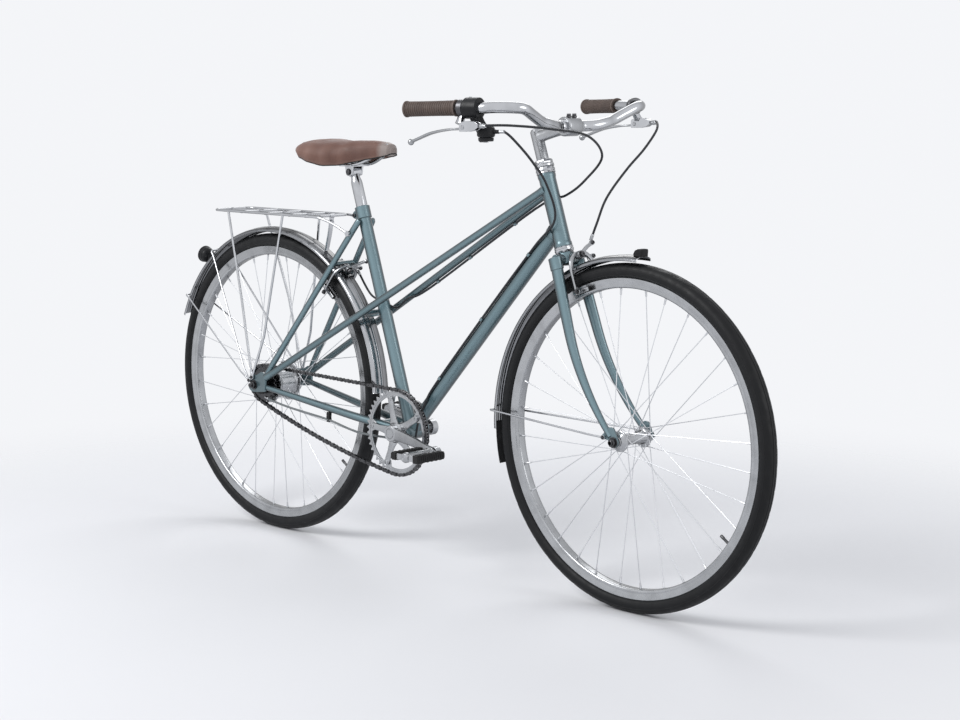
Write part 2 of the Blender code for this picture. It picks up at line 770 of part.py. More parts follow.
def draw_spoke(shape, axle, face, side, leading):
    """Insets a flange face and extrudes it to just short of the rim."""
    centre = face.calc_center_median()
    arm = centre - axle
    angle = atan2(arm.z, arm.x)
    tangent = Vector((-sin(angle), 0, cos(angle)))
    layer = (FLANGE_STRIP / 2 if leading else -FLANGE_STRIP / 2) * side
    root = centre + ALONG_Y * layer
    half = SPOKE_WIDTH / 2
    bmesh.ops.inset_individual(shape, faces=[face], thickness=FLANGE_STRIP / 6)
    order = []
    for corner in face.verts:
        offset = corner.co - centre
        along = 1 if offset.dot(tangent) > 0 else -1
        across = 1 if offset.y > 0 else -1
        order.append((along, across))
        corner.co = root + tangent * along * SPOKE_ROOT / 2 + ALONG_Y * across * half
    drawn = bmesh.ops.extrude_discrete_faces(shape, faces=[face])["faces"][0]
    step = 2 * pi / SPOKES_PER_FLANGE
    far_angle = angle + step * (SPOKE_CROSSINGS if leading else -SPOKE_CROSSINGS) + step / 4 * side
    reach = (RIM_RADIUS - RIM_DEPTH) * cos(pi / WHEEL_SEGMENTS) - TOUCH
    end = round_wheel(axle, reach, far_angle, 0.0027 * side + layer)
    far_tangent = Vector((-sin(far_angle), 0, cos(far_angle)))
    for corner, (along, across) in zip(drawn.verts, order):
        corner.co = end + far_tangent * along * half + ALONG_Y * across * half


def make_axle(name, axle, width, face, overhang, carrier):
    """An axle with its inner cones against the dropouts and a nut outside each."""
    half = width / 2 - TOUCH
    nut_end = face + NUT_HEIGHT
    profile = [
        (AXLE_RADIUS, -nut_end - overhang), (AXLE_RADIUS, -nut_end), (NUT_RADIUS, -nut_end),
        (NUT_RADIUS, -face), (AXLE_RADIUS, -face), (AXLE_RADIUS, -half), (NUT_RADIUS * 0.9, -half),
        (NUT_RADIUS * 0.9, -half + 0.0035), (AXLE_RADIUS, -half + 0.0035),
    ]
    profile = profile + [(radius, -along) for radius, along in reversed(profile)]
    piece(name, revolve(profile, axle, ALONG_Y, FACETS_TINY, False, ALONG_Z), carrier, STEEL)


# Drive

def pitch_radius(teeth):
    return CHAIN_PITCH / (2 * sin(pi / teeth))


RING_RADIUS = pitch_radius(CHAINRING_TEETH)
SPROCKET_RADIUS = pitch_radius(SPROCKET_TEETH)
RING_STEP = 2 * pi / CHAINRING_TEETH
SPROCKET_STEP = 2 * pi / SPROCKET_TEETH


def flat_point(centre, radius, angle):
    return Vector((centre.x + radius * cos(angle), centre.z + radius * sin(angle)))


def sag_curve(leave, arrive):
    """Points of the lower run between two angles, leaving each wheel along its tangent."""
    start = flat_point(BRACKET, RING_RADIUS, leave)
    end = flat_point(REAR_AXLE, SPROCKET_RADIUS, arrive)
    handle = (end - start).length / 3
    first = start + Vector((sin(leave), -cos(leave))) * handle
    second = end - Vector((sin(arrive), -cos(arrive))) * handle
    curve = []
    for step in range(241):
        t = step / 240
        u = 1 - t
        curve.append(start * u ** 3 + first * (3 * u * u * t) + second * (3 * u * t * t) + end * t ** 3)
    return curve


def curve_length(curve):
    return sum((b - a).length for a, b in zip(curve, curve[1:]))


def chain_layout(droop):
    """The four stretches of the chain for a droop angle of the lower run, in links."""
    span = (REAR_AXLE - BRACKET).length
    line = atan2(REAR_AXLE.z - BRACKET.z, REAR_AXLE.x - BRACKET.x)
    lean = acos((RING_RADIUS - SPROCKET_RADIUS) / span)
    top = line - lean
    bottom = line + lean - 2 * pi
    leave = bottom + droop
    arrive = bottom - droop
    upper_run = sqrt(span ** 2 - (RING_RADIUS - SPROCKET_RADIUS) ** 2)
    lower = sag_curve(leave, arrive)
    stretches = (
        (top - leave) / RING_STEP, curve_length(lower) / CHAIN_PITCH,
        (arrive + 2 * pi - top) / SPROCKET_STEP, upper_run / CHAIN_PITCH,
    )
    return top, leave, arrive, lower, stretches


def chain_pins():
    """Pin places (x, z) all the way round, an even number of them."""
    taut = sum(chain_layout(0.0)[-1])
    links = 2 * ceil(taut / 2)
    low, high = 0.0, radians(40)
    while high - low > 1e-7:
        droop = (low + high) / 2
        if sum(chain_layout(droop)[-1]) < links:
            low = droop
        else:
            high = droop
    top, leave, arrive, lower, stretches = chain_layout(droop)
    round_ring, run, round_sprocket, upper = stretches
    pins = []
    for link in range(links):
        if link < round_ring:
            pins.append(flat_point(BRACKET, RING_RADIUS, top - link * RING_STEP))
        elif link < round_ring + run:
            pins.append(along_curve(lower, (link - round_ring) * CHAIN_PITCH))
        elif link < round_ring + run + round_sprocket:
            turned = (link - round_ring - run) * SPROCKET_STEP
            pins.append(flat_point(REAR_AXLE, SPROCKET_RADIUS, arrive - turned))
        else:
            share = (link - round_ring - run - round_sprocket) / upper
            start = flat_point(REAR_AXLE, SPROCKET_RADIUS, top)
            pins.append(start.lerp(flat_point(BRACKET, RING_RADIUS, top), share))
    return pins, round_ring, run, top, arrive


def along_curve(curve, distance):
    for a, b in zip(curve, curve[1:]):
        step = (b - a).length
        if distance <= step:
            return a.lerp(b, distance / step)
        distance -= step
    return curve[-1]


def make_chain(frame, pins):
    """Two rows of link plates, stepping in and out at each pin, tied by the rollers."""
    corners = []
    faces = []
    inner_face = (ROLLER_LENGTH / 2, ROLLER_LENGTH / 2 + LINK_PLATE + 0.0002)
    count = len(pins)

    def add_ring(place, normal, rail, layer):
        near = inner_face[layer]
        first = len(corners)
        for across, lift in ((near, 1), (near + LINK_PLATE, 0), (near, -1)):
            flat = place + normal * lift * ROLLER_RADIUS
            corners.append((flat.x, across * rail - CHAIN_LINE, flat.y))
        return first

    rings = {}
    for rail in (-1, 1):
        for index in range(count):
            before = (pins[index] - pins[index - 1]).normalized()
            after = (pins[(index + 1) % count] - pins[index]).normalized()
            into = add_ring(
                pins[index] - before * ROLLER_RADIUS, Vector((-before.y, before.x)), rail,
                (index - 1) % 2,
            )
            out = add_ring(
                pins[index] + after * ROLLER_RADIUS, Vector((-after.y, after.x)), rail, index % 2,
            )
            rings[rail, index] = (into, out)
    for rail in (-1, 1):
        for index in range(count):
            into, out = rings[rail, index]
            following = rings[rail, (index + 1) % count][0]
            faces += [band(into, out, edge, rail) for edge in (0, 1)]
            faces += [band(out, following, edge, rail) for edge in range(3)]
    for index in range(count):
        right_in, right_out = rings[-1, index]
        left_in, left_out = rings[1, index]
        faces.append((left_in, left_out, right_out, right_in))
        faces.append((right_in + 2, right_out + 2, left_out + 2, left_in + 2))
        faces.append((left_in + 2, left_in, right_in, right_in + 2))
        faces.append((right_out + 2, right_out, left_out, left_out + 2))
    piece("chain", mesh_object(corners, faces), frame, STEEL)


def band(near, far, edge, rail):
    after = (edge + 1) % 3
    face = (near + edge, near + after, far + after, far + edge)
    return face if rail > 0 else tuple(reversed(face))


def toothed_outline(teeth, radius, first_gap):
    """Outline of a toothed wheel whose first gap sits at an angle."""
    root = radius - ROLLER_RADIUS - 0.0006
    tip = radius + TOOTH_HEIGHT
    root_half = TOOTH_ROOT_WIDTH / 2 / root
    outline = []
    for tooth in range(teeth):
        middle = first_gap + (tooth + 0.5) * 2 * pi / teeth
        for distance, angle in ((root, middle - root_half), (tip, middle), (root, middle + root_half)):
            outline.append((distance * cos(angle), distance * sin(angle)))
    return outline


def make_chainring(cranks, first_gap):
    """A toothed ring whose inner edge reaches in to its bolt tabs."""
    half = TOOTH_PLATE / 2
    outline = toothed_outline(CHAINRING_TEETH, RING_RADIUS, first_gap)
    solid = plate(outline, BRACKET, -CHAIN_LINE - half, -CHAIN_LINE + half)
    tab_root = CHAINRING_BOLT_CIRCLE - CHAINRING_TAB_RADIUS
    window = []
    for arm in spider_angles():
        for turn, radius in (
            (-36, CHAINRING_INNER_RADIUS), (-22, CHAINRING_INNER_RADIUS), (-9, CHAINRING_INNER_RADIUS),
            (-5.5, tab_root), (5.5, tab_root), (9, CHAINRING_INNER_RADIUS), (22, CHAINRING_INNER_RADIUS),
        ):
            angle = arm + radians(turn)
            window.append((radius * cos(angle), radius * sin(angle)))
    cut(solid, plate(window, BRACKET, -CHAIN_LINE - 0.02, -CHAIN_LINE + 0.02))
    reach = ALONG_Y * 0.02
    for place in spider_points():
        tab = place - ALONG_Y * CHAIN_LINE
        cut(solid, rod(tab - reach, tab + reach, CHAINRING_BOLT_RADIUS + TOUCH, FACETS_TINY))
    piece("chainring", solid, cranks, ALLOY)


def spider_angles():
    first = CRANK_ANGLE + pi / SPIDER_ARMS
    return [first + 2 * pi * arm / SPIDER_ARMS for arm in range(SPIDER_ARMS)]


def spider_points():
    return [round_wheel(BRACKET, CHAINRING_BOLT_CIRCLE, angle) for angle in spider_angles()]


def crank_end(side):
    angle = CRANK_ANGLE if side < 0 else CRANK_ANGLE + pi
    return round_wheel(BRACKET, CRANK_LENGTH, angle)


def crank_arm(side):
    """A tapering arm that flares outwards from its spindle boss to its pedal boss."""
    tip = crank_end(side)
    heading = (tip - BRACKET).normalized()
    upright = heading.cross(ALONG_Y)
    middle_face = (CRANK_INNER_FACE + CRANK_OUTER_FACE) / 2
    pedal_middle = PEDAL_FACE - PEDAL_BOSS_THICKNESS / 2
    stations = (
        (0.000, middle_face, 0.0150, 0.0070), (0.030, middle_face + 0.002, 0.0130, 0.0065),
        (0.090, middle_face + 0.015, 0.0105, 0.0055), (0.145, pedal_middle - 0.002, 0.0090, 0.0050),
        (CRANK_LENGTH, pedal_middle, 0.0090, 0.0050),
    )
    rings = []
    for distance, across, half, depth in stations:
        centre = BRACKET + heading * distance + ALONG_Y * across * side
        rings.append([
            centre + upright * half * cos(turn) + ALONG_Y * depth * side * sin(turn)
            for turn in [2 * pi * k / FACETS_SMALL for k in range(FACETS_SMALL)]
        ])
    solid = loft(rings)
    boss = rod(
        BRACKET + ALONG_Y * CRANK_INNER_FACE * side, BRACKET + ALONG_Y * CRANK_OUTER_FACE * side,
        0.0175, FACETS_MEDIUM,
    )
    pedal_boss = rod(
        tip + ALONG_Y * (PEDAL_FACE - PEDAL_BOSS_THICKNESS) * side, tip + ALONG_Y * PEDAL_FACE * side,
        0.0125, FACETS_SMALL,
    )
    spindle_end = PEDAL_FACE + 0.004 + PEDAL_LENGTH - 0.010
    pedal_spindle = rod(
        tip + ALONG_Y * (PEDAL_FACE - 0.004) * side, tip + ALONG_Y * spindle_end * side,
        PEDAL_SPINDLE_RADIUS, FACETS_SMALL,
    )
    return join(solid, boss, pedal_boss, pedal_spindle)


def make_cranks(cranks):
    right = crank_arm(-1)
    spider_back = CHAIN_LINE + TOOTH_PLATE / 2 + TOUCH
    star = []
    for arm in spider_angles():
        for turn, radius in (
            (-36, 0.0240), (-19, 0.0275), (-5.8, CHAINRING_BOLT_CIRCLE - 0.009),
            (-5.0, CHAINRING_BOLT_CIRCLE + 0.0025), (5.0, CHAINRING_BOLT_CIRCLE + 0.0025),
            (5.8, CHAINRING_BOLT_CIRCLE - 0.009), (19, 0.0275),
        ):
            angle = arm + radians(turn)
            star.append((radius * cos(angle), radius * sin(angle)))
    join(right, plate(star, BRACKET, -spider_back - SPIDER_THICKNESS, -spider_back))
    join(right, rod(
        BRACKET - ALONG_Y * (spider_back + 0.0008), BRACKET - ALONG_Y * 0.0545, 0.0225, FACETS_MEDIUM,
    ))
    for place in spider_points():
        join(right, rod(
            place - ALONG_Y * (CHAIN_LINE - TOOTH_PLATE / 2 - 0.0008),
            place - ALONG_Y * (spider_back + SPIDER_THICKNESS + 0.0014), CHAINRING_BOLT_RADIUS, FACETS_TINY,
        ))
    spindle_seat = CRANK_OUTER_FACE - 0.006
    cut(right, rod(
        BRACKET - ALONG_Y * 0.030, BRACKET - ALONG_Y * spindle_seat, SPINDLE_RADIUS + TOUCH, FACETS_MEDIUM,
    ))
    piece("crank_right", right, cranks, ALLOY)
    left = crank_arm(1)
    spindle = rod(
        BRACKET + ALONG_Y * (CRANK_INNER_FACE + 0.004), BRACKET - ALONG_Y * (spindle_seat - TOUCH),
        SPINDLE_RADIUS, FACETS_MEDIUM,
    )
    join(left, spindle)
    piece("crank_left", left, cranks, ALLOY)


def make_pedal(name, side, pedal):
    """A platform pedal: a barrel, two cross plates and two tread bars."""
    axis = crank_end(side)
    inner = PEDAL_FACE + 0.004
    outer = inner + PEDAL_LENGTH

    def at(across):
        return axis + ALONG_Y * across * side

    solid = rod(at(inner), at(outer), 0.0120, FACETS_SMALL)
    half = PEDAL_DEPTH / 2
    height = PEDAL_HEIGHT / 2
    for across in (inner + 0.002, outer - 0.006):
        low, high = sorted((across * side, (across + 0.004) * side))
        outline = [
            (-half + 0.004, -height * 0.7), (half - 0.004, -height * 0.7),
            (half - 0.004, height * 0.7), (-half + 0.004, height * 0.7),
        ]
        join(solid, plate(outline, Vector((axis.x, 0, axis.z)), low, high))
    for end in (-1, 1):
        outline = [
            (end * (half - 0.014), -height), (end * (half - 0.003), -height), (end * half, -height * 0.5),
            (end * half, height * 0.5), (end * (half - 0.003), height), (end * (half - 0.014), height),
        ]
        low, high = sorted(((inner + 0.001) * side, (outer - 0.001) * side))
        join(solid, plate(outline, Vector((axis.x, 0, axis.z)), low, high))
    bore_end = outer - 0.005
    cut(solid, rod(at(inner - 0.01), at(bore_end), PEDAL_SPINDLE_RADIUS + RUNNING, FACETS_SMALL))
    piece(name, solid, pedal, BLACK_PLASTIC)


def make_sprocket(sprocket, first_gap):
    half = TOOTH_PLATE / 2
    solid = plate(
        toothed_outline(SPROCKET_TEETH, SPROCKET_RADIUS, first_gap), REAR_AXLE,
        -CHAIN_LINE - half, -CHAIN_LINE + half,
    )
    join(solid, rod(REAR_AXLE - ALONG_Y * 0.0350, REAR_AXLE - ALONG_Y * 0.0490, 0.0180, FACETS_MEDIUM))
    cut(solid, rod(REAR_AXLE - ALONG_Y * 0.02, REAR_AXLE - ALONG_Y * 0.06, AXLE_BORE, FACETS_SMALL))
    piece("rear_sprocket", solid, sprocket, STEEL)


def make_shift_pulley(pulley):
    profile = [
        (AXLE_BORE, -0.0495), (0.0240, -0.0495), (0.0240, -0.0510), (0.0205, -0.0530),
        (0.0240, -0.0550), (0.0240, -0.0570), (AXLE_BORE, -0.0570),
    ]
    solid = revolve(profile, REAR_AXLE, ALONG_Y, FACETS_MEDIUM)
    piece("shift_pulley", solid, pulley, BLACK_PLASTIC)


# Fork

def make_fork(steering):
    crown_foot = -LOWER_CUP_HEIGHT - 0.0008 - CROWN_HEIGHT
    crown_middle = crown_foot + CROWN_HEIGHT / 2
    solid = rod(head_point(crown_foot + 0.009), head_point(STEERER_TOP), STEERER_RADIUS, FACETS_MEDIUM)
    race = rod(head_point(crown_foot + 0.004), head_point(crown_foot + CROWN_HEIGHT), 0.0192, FACETS_MEDIUM)
    half = ALONG_Y * (BLADE_TOP_SPREAD + 0.0011)
    bar_middle = head_point(crown_middle + 0.0004, 0.0003)
    bar = rod(bar_middle - half, bar_middle + half, 0.0123, FACETS_SMALL, HEAD_UP + HEAD_FORWARD * 0.43)
    join(solid, race, bar)
    for name, side in SIDES:
        join(solid, fork_blade(side, crown_foot))
        socket = loft([
            ring(blade_point(height, side), -HEAD_UP, BLADE_DEPTH + 0.0016, FACETS_SMALL, HEAD_FORWARD,
                 (BLADE_WIDTH + 0.0012) / (BLADE_DEPTH + 0.0016))
            for height in (crown_foot + CROWN_HEIGHT * 0.72, crown_foot - 0.006)
        ])
        join(solid, socket, fork_tip(side))
    bore = rod(head_point(STEM_FOOT - 0.010), head_point(STEERER_TOP + 0.02), STEERER_BORE, FACETS_MEDIUM)
    cut(solid, bore)
    piece("fork", solid, steering, PAINT)


def blade_point(height, side):
    """Blade centre line: straight below the crown, then curved forwards to the axle."""
    straight_end = -0.175
    foot = -HEAD_BASE_TO_AXLE
    share = max(0.0, (straight_end - height) / (straight_end - foot))
    forward = FORK_OFFSET * share ** 1.9
    top = -LOWER_CUP_HEIGHT - CROWN_HEIGHT
    spread_share = min(1.0, max(0.0, (top - height) / (top - foot)) ** 0.8)
    across = BLADE_TOP_SPREAD + (BLADE_LOW_SPREAD - BLADE_TOP_SPREAD) * spread_share
    return head_point(height, forward, across * side)


def fork_blade(side, crown_foot):
    top = crown_foot + CROWN_HEIGHT * 0.62
    foot = -HEAD_BASE_TO_AXLE + 0.012
    heights = [top + (foot - top) * (k / 7) for k in range(8)]
    rings = []
    for index, height in enumerate(heights):
        share = index / (len(heights) - 1)
        depth = BLADE_DEPTH + (BLADE_TIP_RADIUS - BLADE_DEPTH) * share ** 1.4
        width = BLADE_WIDTH + (BLADE_TIP_RADIUS - BLADE_WIDTH) * share ** 1.4
        ahead = blade_point(height - 0.002, side)
        behind = blade_point(height + 0.002, side)
        rings.append(ring(
            blade_point(height, side), ahead - behind, depth, FACETS_SMALL, HEAD_FORWARD, width / depth,
        ))
    return loft(rings)


FORK_TIP_OUTLINE = [
    (-0.0125, -0.0035), (-0.0052, -0.0110), (0.0, -0.0115), (0.0085, -0.0085), (0.0115, 0.0),
    (0.0090, 0.0080), (0.0010, 0.0260), (-0.0075, 0.0300), (-0.0145, 0.0260), (-0.0290, 0.0120),
    (-0.0285, 0.0040), (-0.0140, 0.0035),
]
FRONT_EYE = Vector((-0.0235, 0, 0.0080))


def fork_tip(side):
    """The axle plate at a blade's foot, with a hole for the axle."""
    middle = BLADE_LOW_SPREAD
    low, high = sorted((
        (middle - FORK_TIP_THICKNESS / 2) * side, (middle + FORK_TIP_THICKNESS / 2) * side,
    ))
    solid = plate(FORK_TIP_OUTLINE, FRONT_AXLE, low, high)
    reach = ALONG_Y * 0.02
    middle_at = FRONT_AXLE + ALONG_Y * middle * side
    hole = rod(middle_at - reach, middle_at + reach, AXLE_RADIUS + TOUCH, FACETS_TINY, ALONG_Z)
    return cut(solid, hole)


def make_locknut(steering):
    foot = HEAD_TUBE_LENGTH + UPPER_CUP_HEIGHT + 0.0006
    top = foot + LOCKNUT_HEIGHT
    bore = STEERER_RADIUS + TOUCH
    profile = [
        (bore, foot), (CUP_RADIUS, foot), (CUP_RADIUS, foot + 0.0055),
        (CUP_RADIUS - 0.0022, foot + 0.0065), (CUP_RADIUS - 0.0022, top - 0.002),
        (CUP_RADIUS - 0.0045, top), (bore, top),
    ]
    piece("headset_locknut", revolve(profile, HEAD_BASE, HEAD_UP, FACETS_MEDIUM), steering, CHROME)


BAR_CENTRE = Vector((0.373, 0, 0.952))
BAR_HALF = (
    (0.3732, 0.024, 0.9520), (0.3735, 0.034, 0.9520), (0.3880, 0.060, 0.9535), (0.3930, 0.083, 0.9580),
    (0.3930, 0.105, 0.9632), (0.3985, 0.134, 0.9755), (0.4040, 0.164, 0.9880), (0.3970, 0.184, 0.9905),
    (0.3830, 0.199, 0.9910), (0.3660, 0.2135, 0.9910), (0.3460, 0.2235, 0.9895), (0.2940, 0.2345, 0.9895),
    (0.1840, 0.2625, 0.9865),
)
GRIP_START = Vector((0.2940, 0.2345, 0.9895))
GRIP_END = Vector((0.1800, 0.2635, 0.9864))


def bar_point(x, side):
    """A point of the bar's rear stretch at a given x."""
    knots = [Vector(knot) for knot in BAR_HALF[7:]]
    for a, b in zip(knots, knots[1:]):
        if b.x <= x <= a.x:
            return mirrored(a.lerp(b, (a.x - x) / (a.x - b.x)), side)
    return mirrored(knots[-1], side)


def bar_heading(x, side):
    return (bar_point(x - 0.004, side) - bar_point(x + 0.004, side)).normalized()


def bar_bore(centre, heading):
    """The cutter for a clamp's hole round the bar."""
    reach = heading * 0.03
    return rod(centre - reach, centre + reach, BAR_RADIUS + TOUCH, FACETS_SMALL, ALONG_Z)


def make_stem(steering):
    """A forged stem: the quill, a neck that reaches forwards and the bar clamp."""
    solid = rod(head_point(STEM_FOOT), head_point(STEM_TOP), STEM_QUILL_RADIUS, FACETS_MEDIUM)
    cap = revolve(
        [(0.0105, STEM_TOP - 0.002), (0.0105, STEM_TOP + 0.0025), (0.0070, STEM_TOP + 0.0045)],
        HEAD_BASE, HEAD_UP, FACETS_SMALL, False,
    )
    neck_start = head_point(STEM_TOP - 0.014)
    neck_end = BAR_CENTRE - Vector((0.006, 0, 0.002))
    stations = ((0.0, 0.0125, 0.0112), (0.35, 0.0115, 0.0095), (0.7, 0.0115, 0.0095), (1.0, 0.0130, 0.0125))
    heading = (neck_end - neck_start).normalized()
    rings = []
    for share, depth, width in stations:
        rings.append(ring(
            neck_start.lerp(neck_end, share), heading, depth, FACETS_SMALL,
            heading.cross(ALONG_Y), width / depth,
        ))
    neck = loft(rings)
    half = STEM_CLAMP_HALF_WIDTH
    clamp = revolve(
        [(0.0165, -half), (0.0195, -half + 0.003), (0.0195, half - 0.003), (0.0165, half)],
        BAR_CENTRE, ALONG_Y, FACETS_MEDIUM, False,
    )
    join(solid, cap, neck, clamp)
    for offset in (-0.008, 0.008):
        place = BAR_CENTRE + Vector((0.004, offset, 0.0165))
        join(solid, rod(place, place + ALONG_Z * 0.0085, 0.0042, FACETS_TINY))
    cut(solid, rod(
        BAR_CENTRE - ALONG_Y * 0.04, BAR_CENTRE + ALONG_Y * 0.04, BAR_CENTRE_RADIUS + TOUCH, FACETS_SMALL,
        ALONG_Z,
    ))
    piece("quill_stem", solid, steering, ALLOY)


def make_handlebar(steering):
    left = [Vector(knot) for knot in BAR_HALF]
    route = [mirrored(knot, -1) for knot in reversed(left)] + left
    radii = [BAR_CENTRE_RADIUS if abs(knot.y) < 0.030 else BAR_RADIUS for knot in route]
    piece("handlebar", tube(route, radii, FACETS_SMALL, start=ALONG_Z), steering, CHROME)


def make_grip(name, side, steering):
    """A grip with a blind bore over the bar's end."""
    start = mirrored(GRIP_START, side)
    end = mirrored(GRIP_END, side)
    axis = (end - start).normalized()
    length = (end - start).length
    bore = BAR_RADIUS + TOUCH
    ribs = []
    for step in range(3):
        along = 0.010 + (length - 0.022) * step / 2
        ribs.append((GRIP_RADIUS - (0.0008 if step % 2 else 0.0), along))
    profile = [(bore, length - 0.0030), (bore, 0.0005), (GRIP_RADIUS + 0.0012, 0.0005)]
    profile += [(GRIP_RADIUS + 0.0012, 0.004)] + ribs
    profile += [(GRIP_RADIUS + 0.0010, length - 0.004), (GRIP_RADIUS - 0.003, length)]
    solid = revolve(profile, start, axis, FACETS_SMALL, False, ALONG_Z)
    piece(name, solid, steering, BROWN_GRIP)


# Brake levers and shifter

LEVER_PIVOTS = {-1: Vector((0.320, -0.2400, 0.953)), 1: Vector((0.345, 0.2350, 0.953))}
CLAMP_PLACES = {-1: 0.3055, 1: 0.3520}


def make_lever_bracket(name, side, steering):
    """A clamp round the bar, with a hollow body below it that holds the lever's pin."""
    pivot = LEVER_PIVOTS[side]
    clamp_at = bar_point(CLAMP_PLACES[side], side)
    heading = bar_heading(CLAMP_PLACES[side], side)
    clamp = rod(clamp_at - heading * 0.0065, clamp_at + heading * 0.0065, 0.0168, FACETS_MEDIUM)
    outline = [
        (-0.0090, -0.0080), (0.0300, -0.0055), (0.0400, 0.0000), (0.0400, 0.0075), (0.0320, 0.0110),
        (0.0050, 0.0120), (-0.0090, 0.0080),
    ]
    housing = slab(outline, pivot, ALONG_X, ALONG_Z, ALONG_Y, -0.0070, 0.0070)
    strut_top = clamp_at - ALONG_Z * 0.010
    strut_foot = Vector((clamp_at.x, pivot.y, pivot.z + 0.006))
    strut = strip([strut_top, strut_foot], ALONG_X, 0.0062, 0.0060)
    join(housing, clamp, strut)
    bore = bar_bore(clamp_at, heading)
    mouth = [(-0.03, -0.03), (0.0240, -0.03), (0.0240, 0.0060), (-0.03, 0.0060)]
    cut(housing, bore, slab(mouth, pivot, ALONG_X, ALONG_Z, ALONG_Y, -0.0045, 0.0045))
    pin = rod(pivot - ALONG_Y * 0.0085, pivot + ALONG_Y * 0.0085, LEVER_PIN_RADIUS, FACETS_TINY)
    join(housing, pin)
    piece(name, housing, steering, CHROME)


def make_brake_lever(name, side, lever):
    """A flat tapering blade with an eye on its pin and a ball at its tip."""
    pivot = LEVER_PIVOTS[side]
    eye_half = 0.0040
    solid = rod(pivot - ALONG_Y * eye_half, pivot + ALONG_Y * eye_half, LEVER_EYE_RADIUS, FACETS_SMALL)
    tip = pivot + Vector((-LEVER_LENGTH, 0, -0.031))
    route = [
        pivot + Vector((-0.002, 0, -0.001)), pivot + Vector((-0.020, 0, -0.0035)),
        pivot + Vector((-LEVER_LENGTH * 0.30, 0, -0.0050)),
        pivot + Vector((-LEVER_LENGTH * 0.60, 0, -0.0120)),
        pivot + Vector((-LEVER_LENGTH * 0.85, 0, -0.0235)), tip,
    ]
    widths = [0.0036, 0.0040, 0.0062, 0.0060, 0.0052, 0.0046]
    blade = strip(route, ALONG_Y, widths, 0.0022)
    ball = revolve(
        [(0.0030, -0.0058), (0.0058, -0.0030), (0.0064, 0.0), (0.0058, 0.0030), (0.0030, 0.0058)],
        tip, ALONG_Y, FACETS_TINY, False,
    )
    nose = strip(
        [pivot, pivot + Vector((0.014, 0, -0.0030))], ALONG_Y, 0.0036, 0.0026,
    )
    join(solid, blade, ball, nose)
    cut(solid, rod(pivot - ALONG_Y * 0.02, pivot + ALONG_Y * 0.02, LEVER_PIN_RADIUS + RUNNING, FACETS_TINY))
    piece(name, solid, lever, ALLOY)


SHIFTER_X = 0.3295
SHIFTER_PIN = Vector((0.3490, -0.2120, 0.9340))
SHIFTER_PIN_RADIUS = 0.0034
POD_RADIUS = 0.0175
POD_HEIGHT = 0.0215


def make_shifter(steering, shift_lever):
    """A clamp on the bar with a round pod below it, and a thumb lever under the pod."""
    clamp_at = bar_point(SHIFTER_X, -1)
    heading = bar_heading(SHIFTER_X, -1)
    solid = revolve(
        [(0.0175, -0.0160), (0.0205, -0.0120), (0.0205, 0.0120), (0.0175, 0.0160)],
        clamp_at, heading, FACETS_MEDIUM, False, ALONG_Z,
    )
    pod = revolve(
        [(POD_RADIUS - 0.003, 0), (POD_RADIUS, 0.003), (POD_RADIUS, POD_HEIGHT - 0.005),
         (POD_RADIUS - 0.005, POD_HEIGHT)],
        SHIFTER_PIN, ALONG_Z, FACETS_MEDIUM, False,
    )
    neck = strip(
        [clamp_at - ALONG_Z * 0.008, SHIFTER_PIN + Vector((-0.004, -0.004, POD_HEIGHT - 0.008))],
        ALONG_X, 0.0115, 0.0080,
    )
    outlet = rod(
        SHIFTER_PIN + Vector((0.010, 0.004, 0.011)), SHIFTER_PIN + Vector((0.0260, 0.010, 0.011)),
        0.0042, FACETS_TINY,
    )
    join(solid, neck, pod, outlet)
    cut(solid, bar_bore(clamp_at, heading))
    pin_top = SHIFTER_PIN + ALONG_Z * 0.002
    join(solid, rod(pin_top, SHIFTER_PIN - ALONG_Z * 0.0085, SHIFTER_PIN_RADIUS, FACETS_SMALL))
    piece("shifter_housing", solid, steering, BLACK_PLASTIC)
    top = -TOUCH
    profile = [(0.0140, top), (0.0150, top - 0.002), (0.0140, top - 0.0075)]
    disc = revolve(profile, SHIFTER_PIN, ALONG_Z, FACETS_MEDIUM, False)
    heading = Vector((-cos(radians(35)), sin(radians(35)), 0))
    paddle = strip(
        [SHIFTER_PIN + heading * reach + ALONG_Z * (top - drop)
         for reach, drop in ((0.004, 0.0040), (0.022, 0.0042), (0.034, 0.0060), (0.042, 0.0085))],
        heading.cross(ALONG_Z), [0.0060, 0.0055, 0.0075, 0.0060], 0.0022,
    )
    join(disc, paddle)
    bore = SHIFTER_PIN_RADIUS + RUNNING
    cut(disc, rod(SHIFTER_PIN + ALONG_Z * 0.01, SHIFTER_PIN - ALONG_Z * 0.02, bore, FACETS_SMALL))
    piece("shift_lever", disc, shift_lever, BLACK_PLASTIC)


# Brakes

class Caliper:
    """A side-pull brake: its bolt, and directions across, up the bolt's plane and outwards."""

    def __init__(self, bolt, up, outward, near, pad_drop):
        self.bolt = bolt
        self.up = up
        self.outward = outward
        self.near = near
        self.pad_drop = pad_drop

    def place(self, across, lift, out):
        return self.bolt + ALONG_Y * across + self.up * lift + self.outward * out


ARM_THICKNESS = 0.0050
ARM_HALF_WIDTH = 0.0042
ARM_GAP = 0.0008
PAD_BELOW_RIM_EDGE = 0.0100
PAD_RADIUS_ON_RIM = RIM_RADIUS - PAD_BELOW_RIM_EDGE
PAD_GAP = 0.0028
PAD_THICKNESS = 0.0080
PAD_LENGTH = 0.042
PAD_HEIGHT = 0.0085
BOLT_RADIUS = 0.0030
FENDER_CLEARANCE_HALF = 0.0262


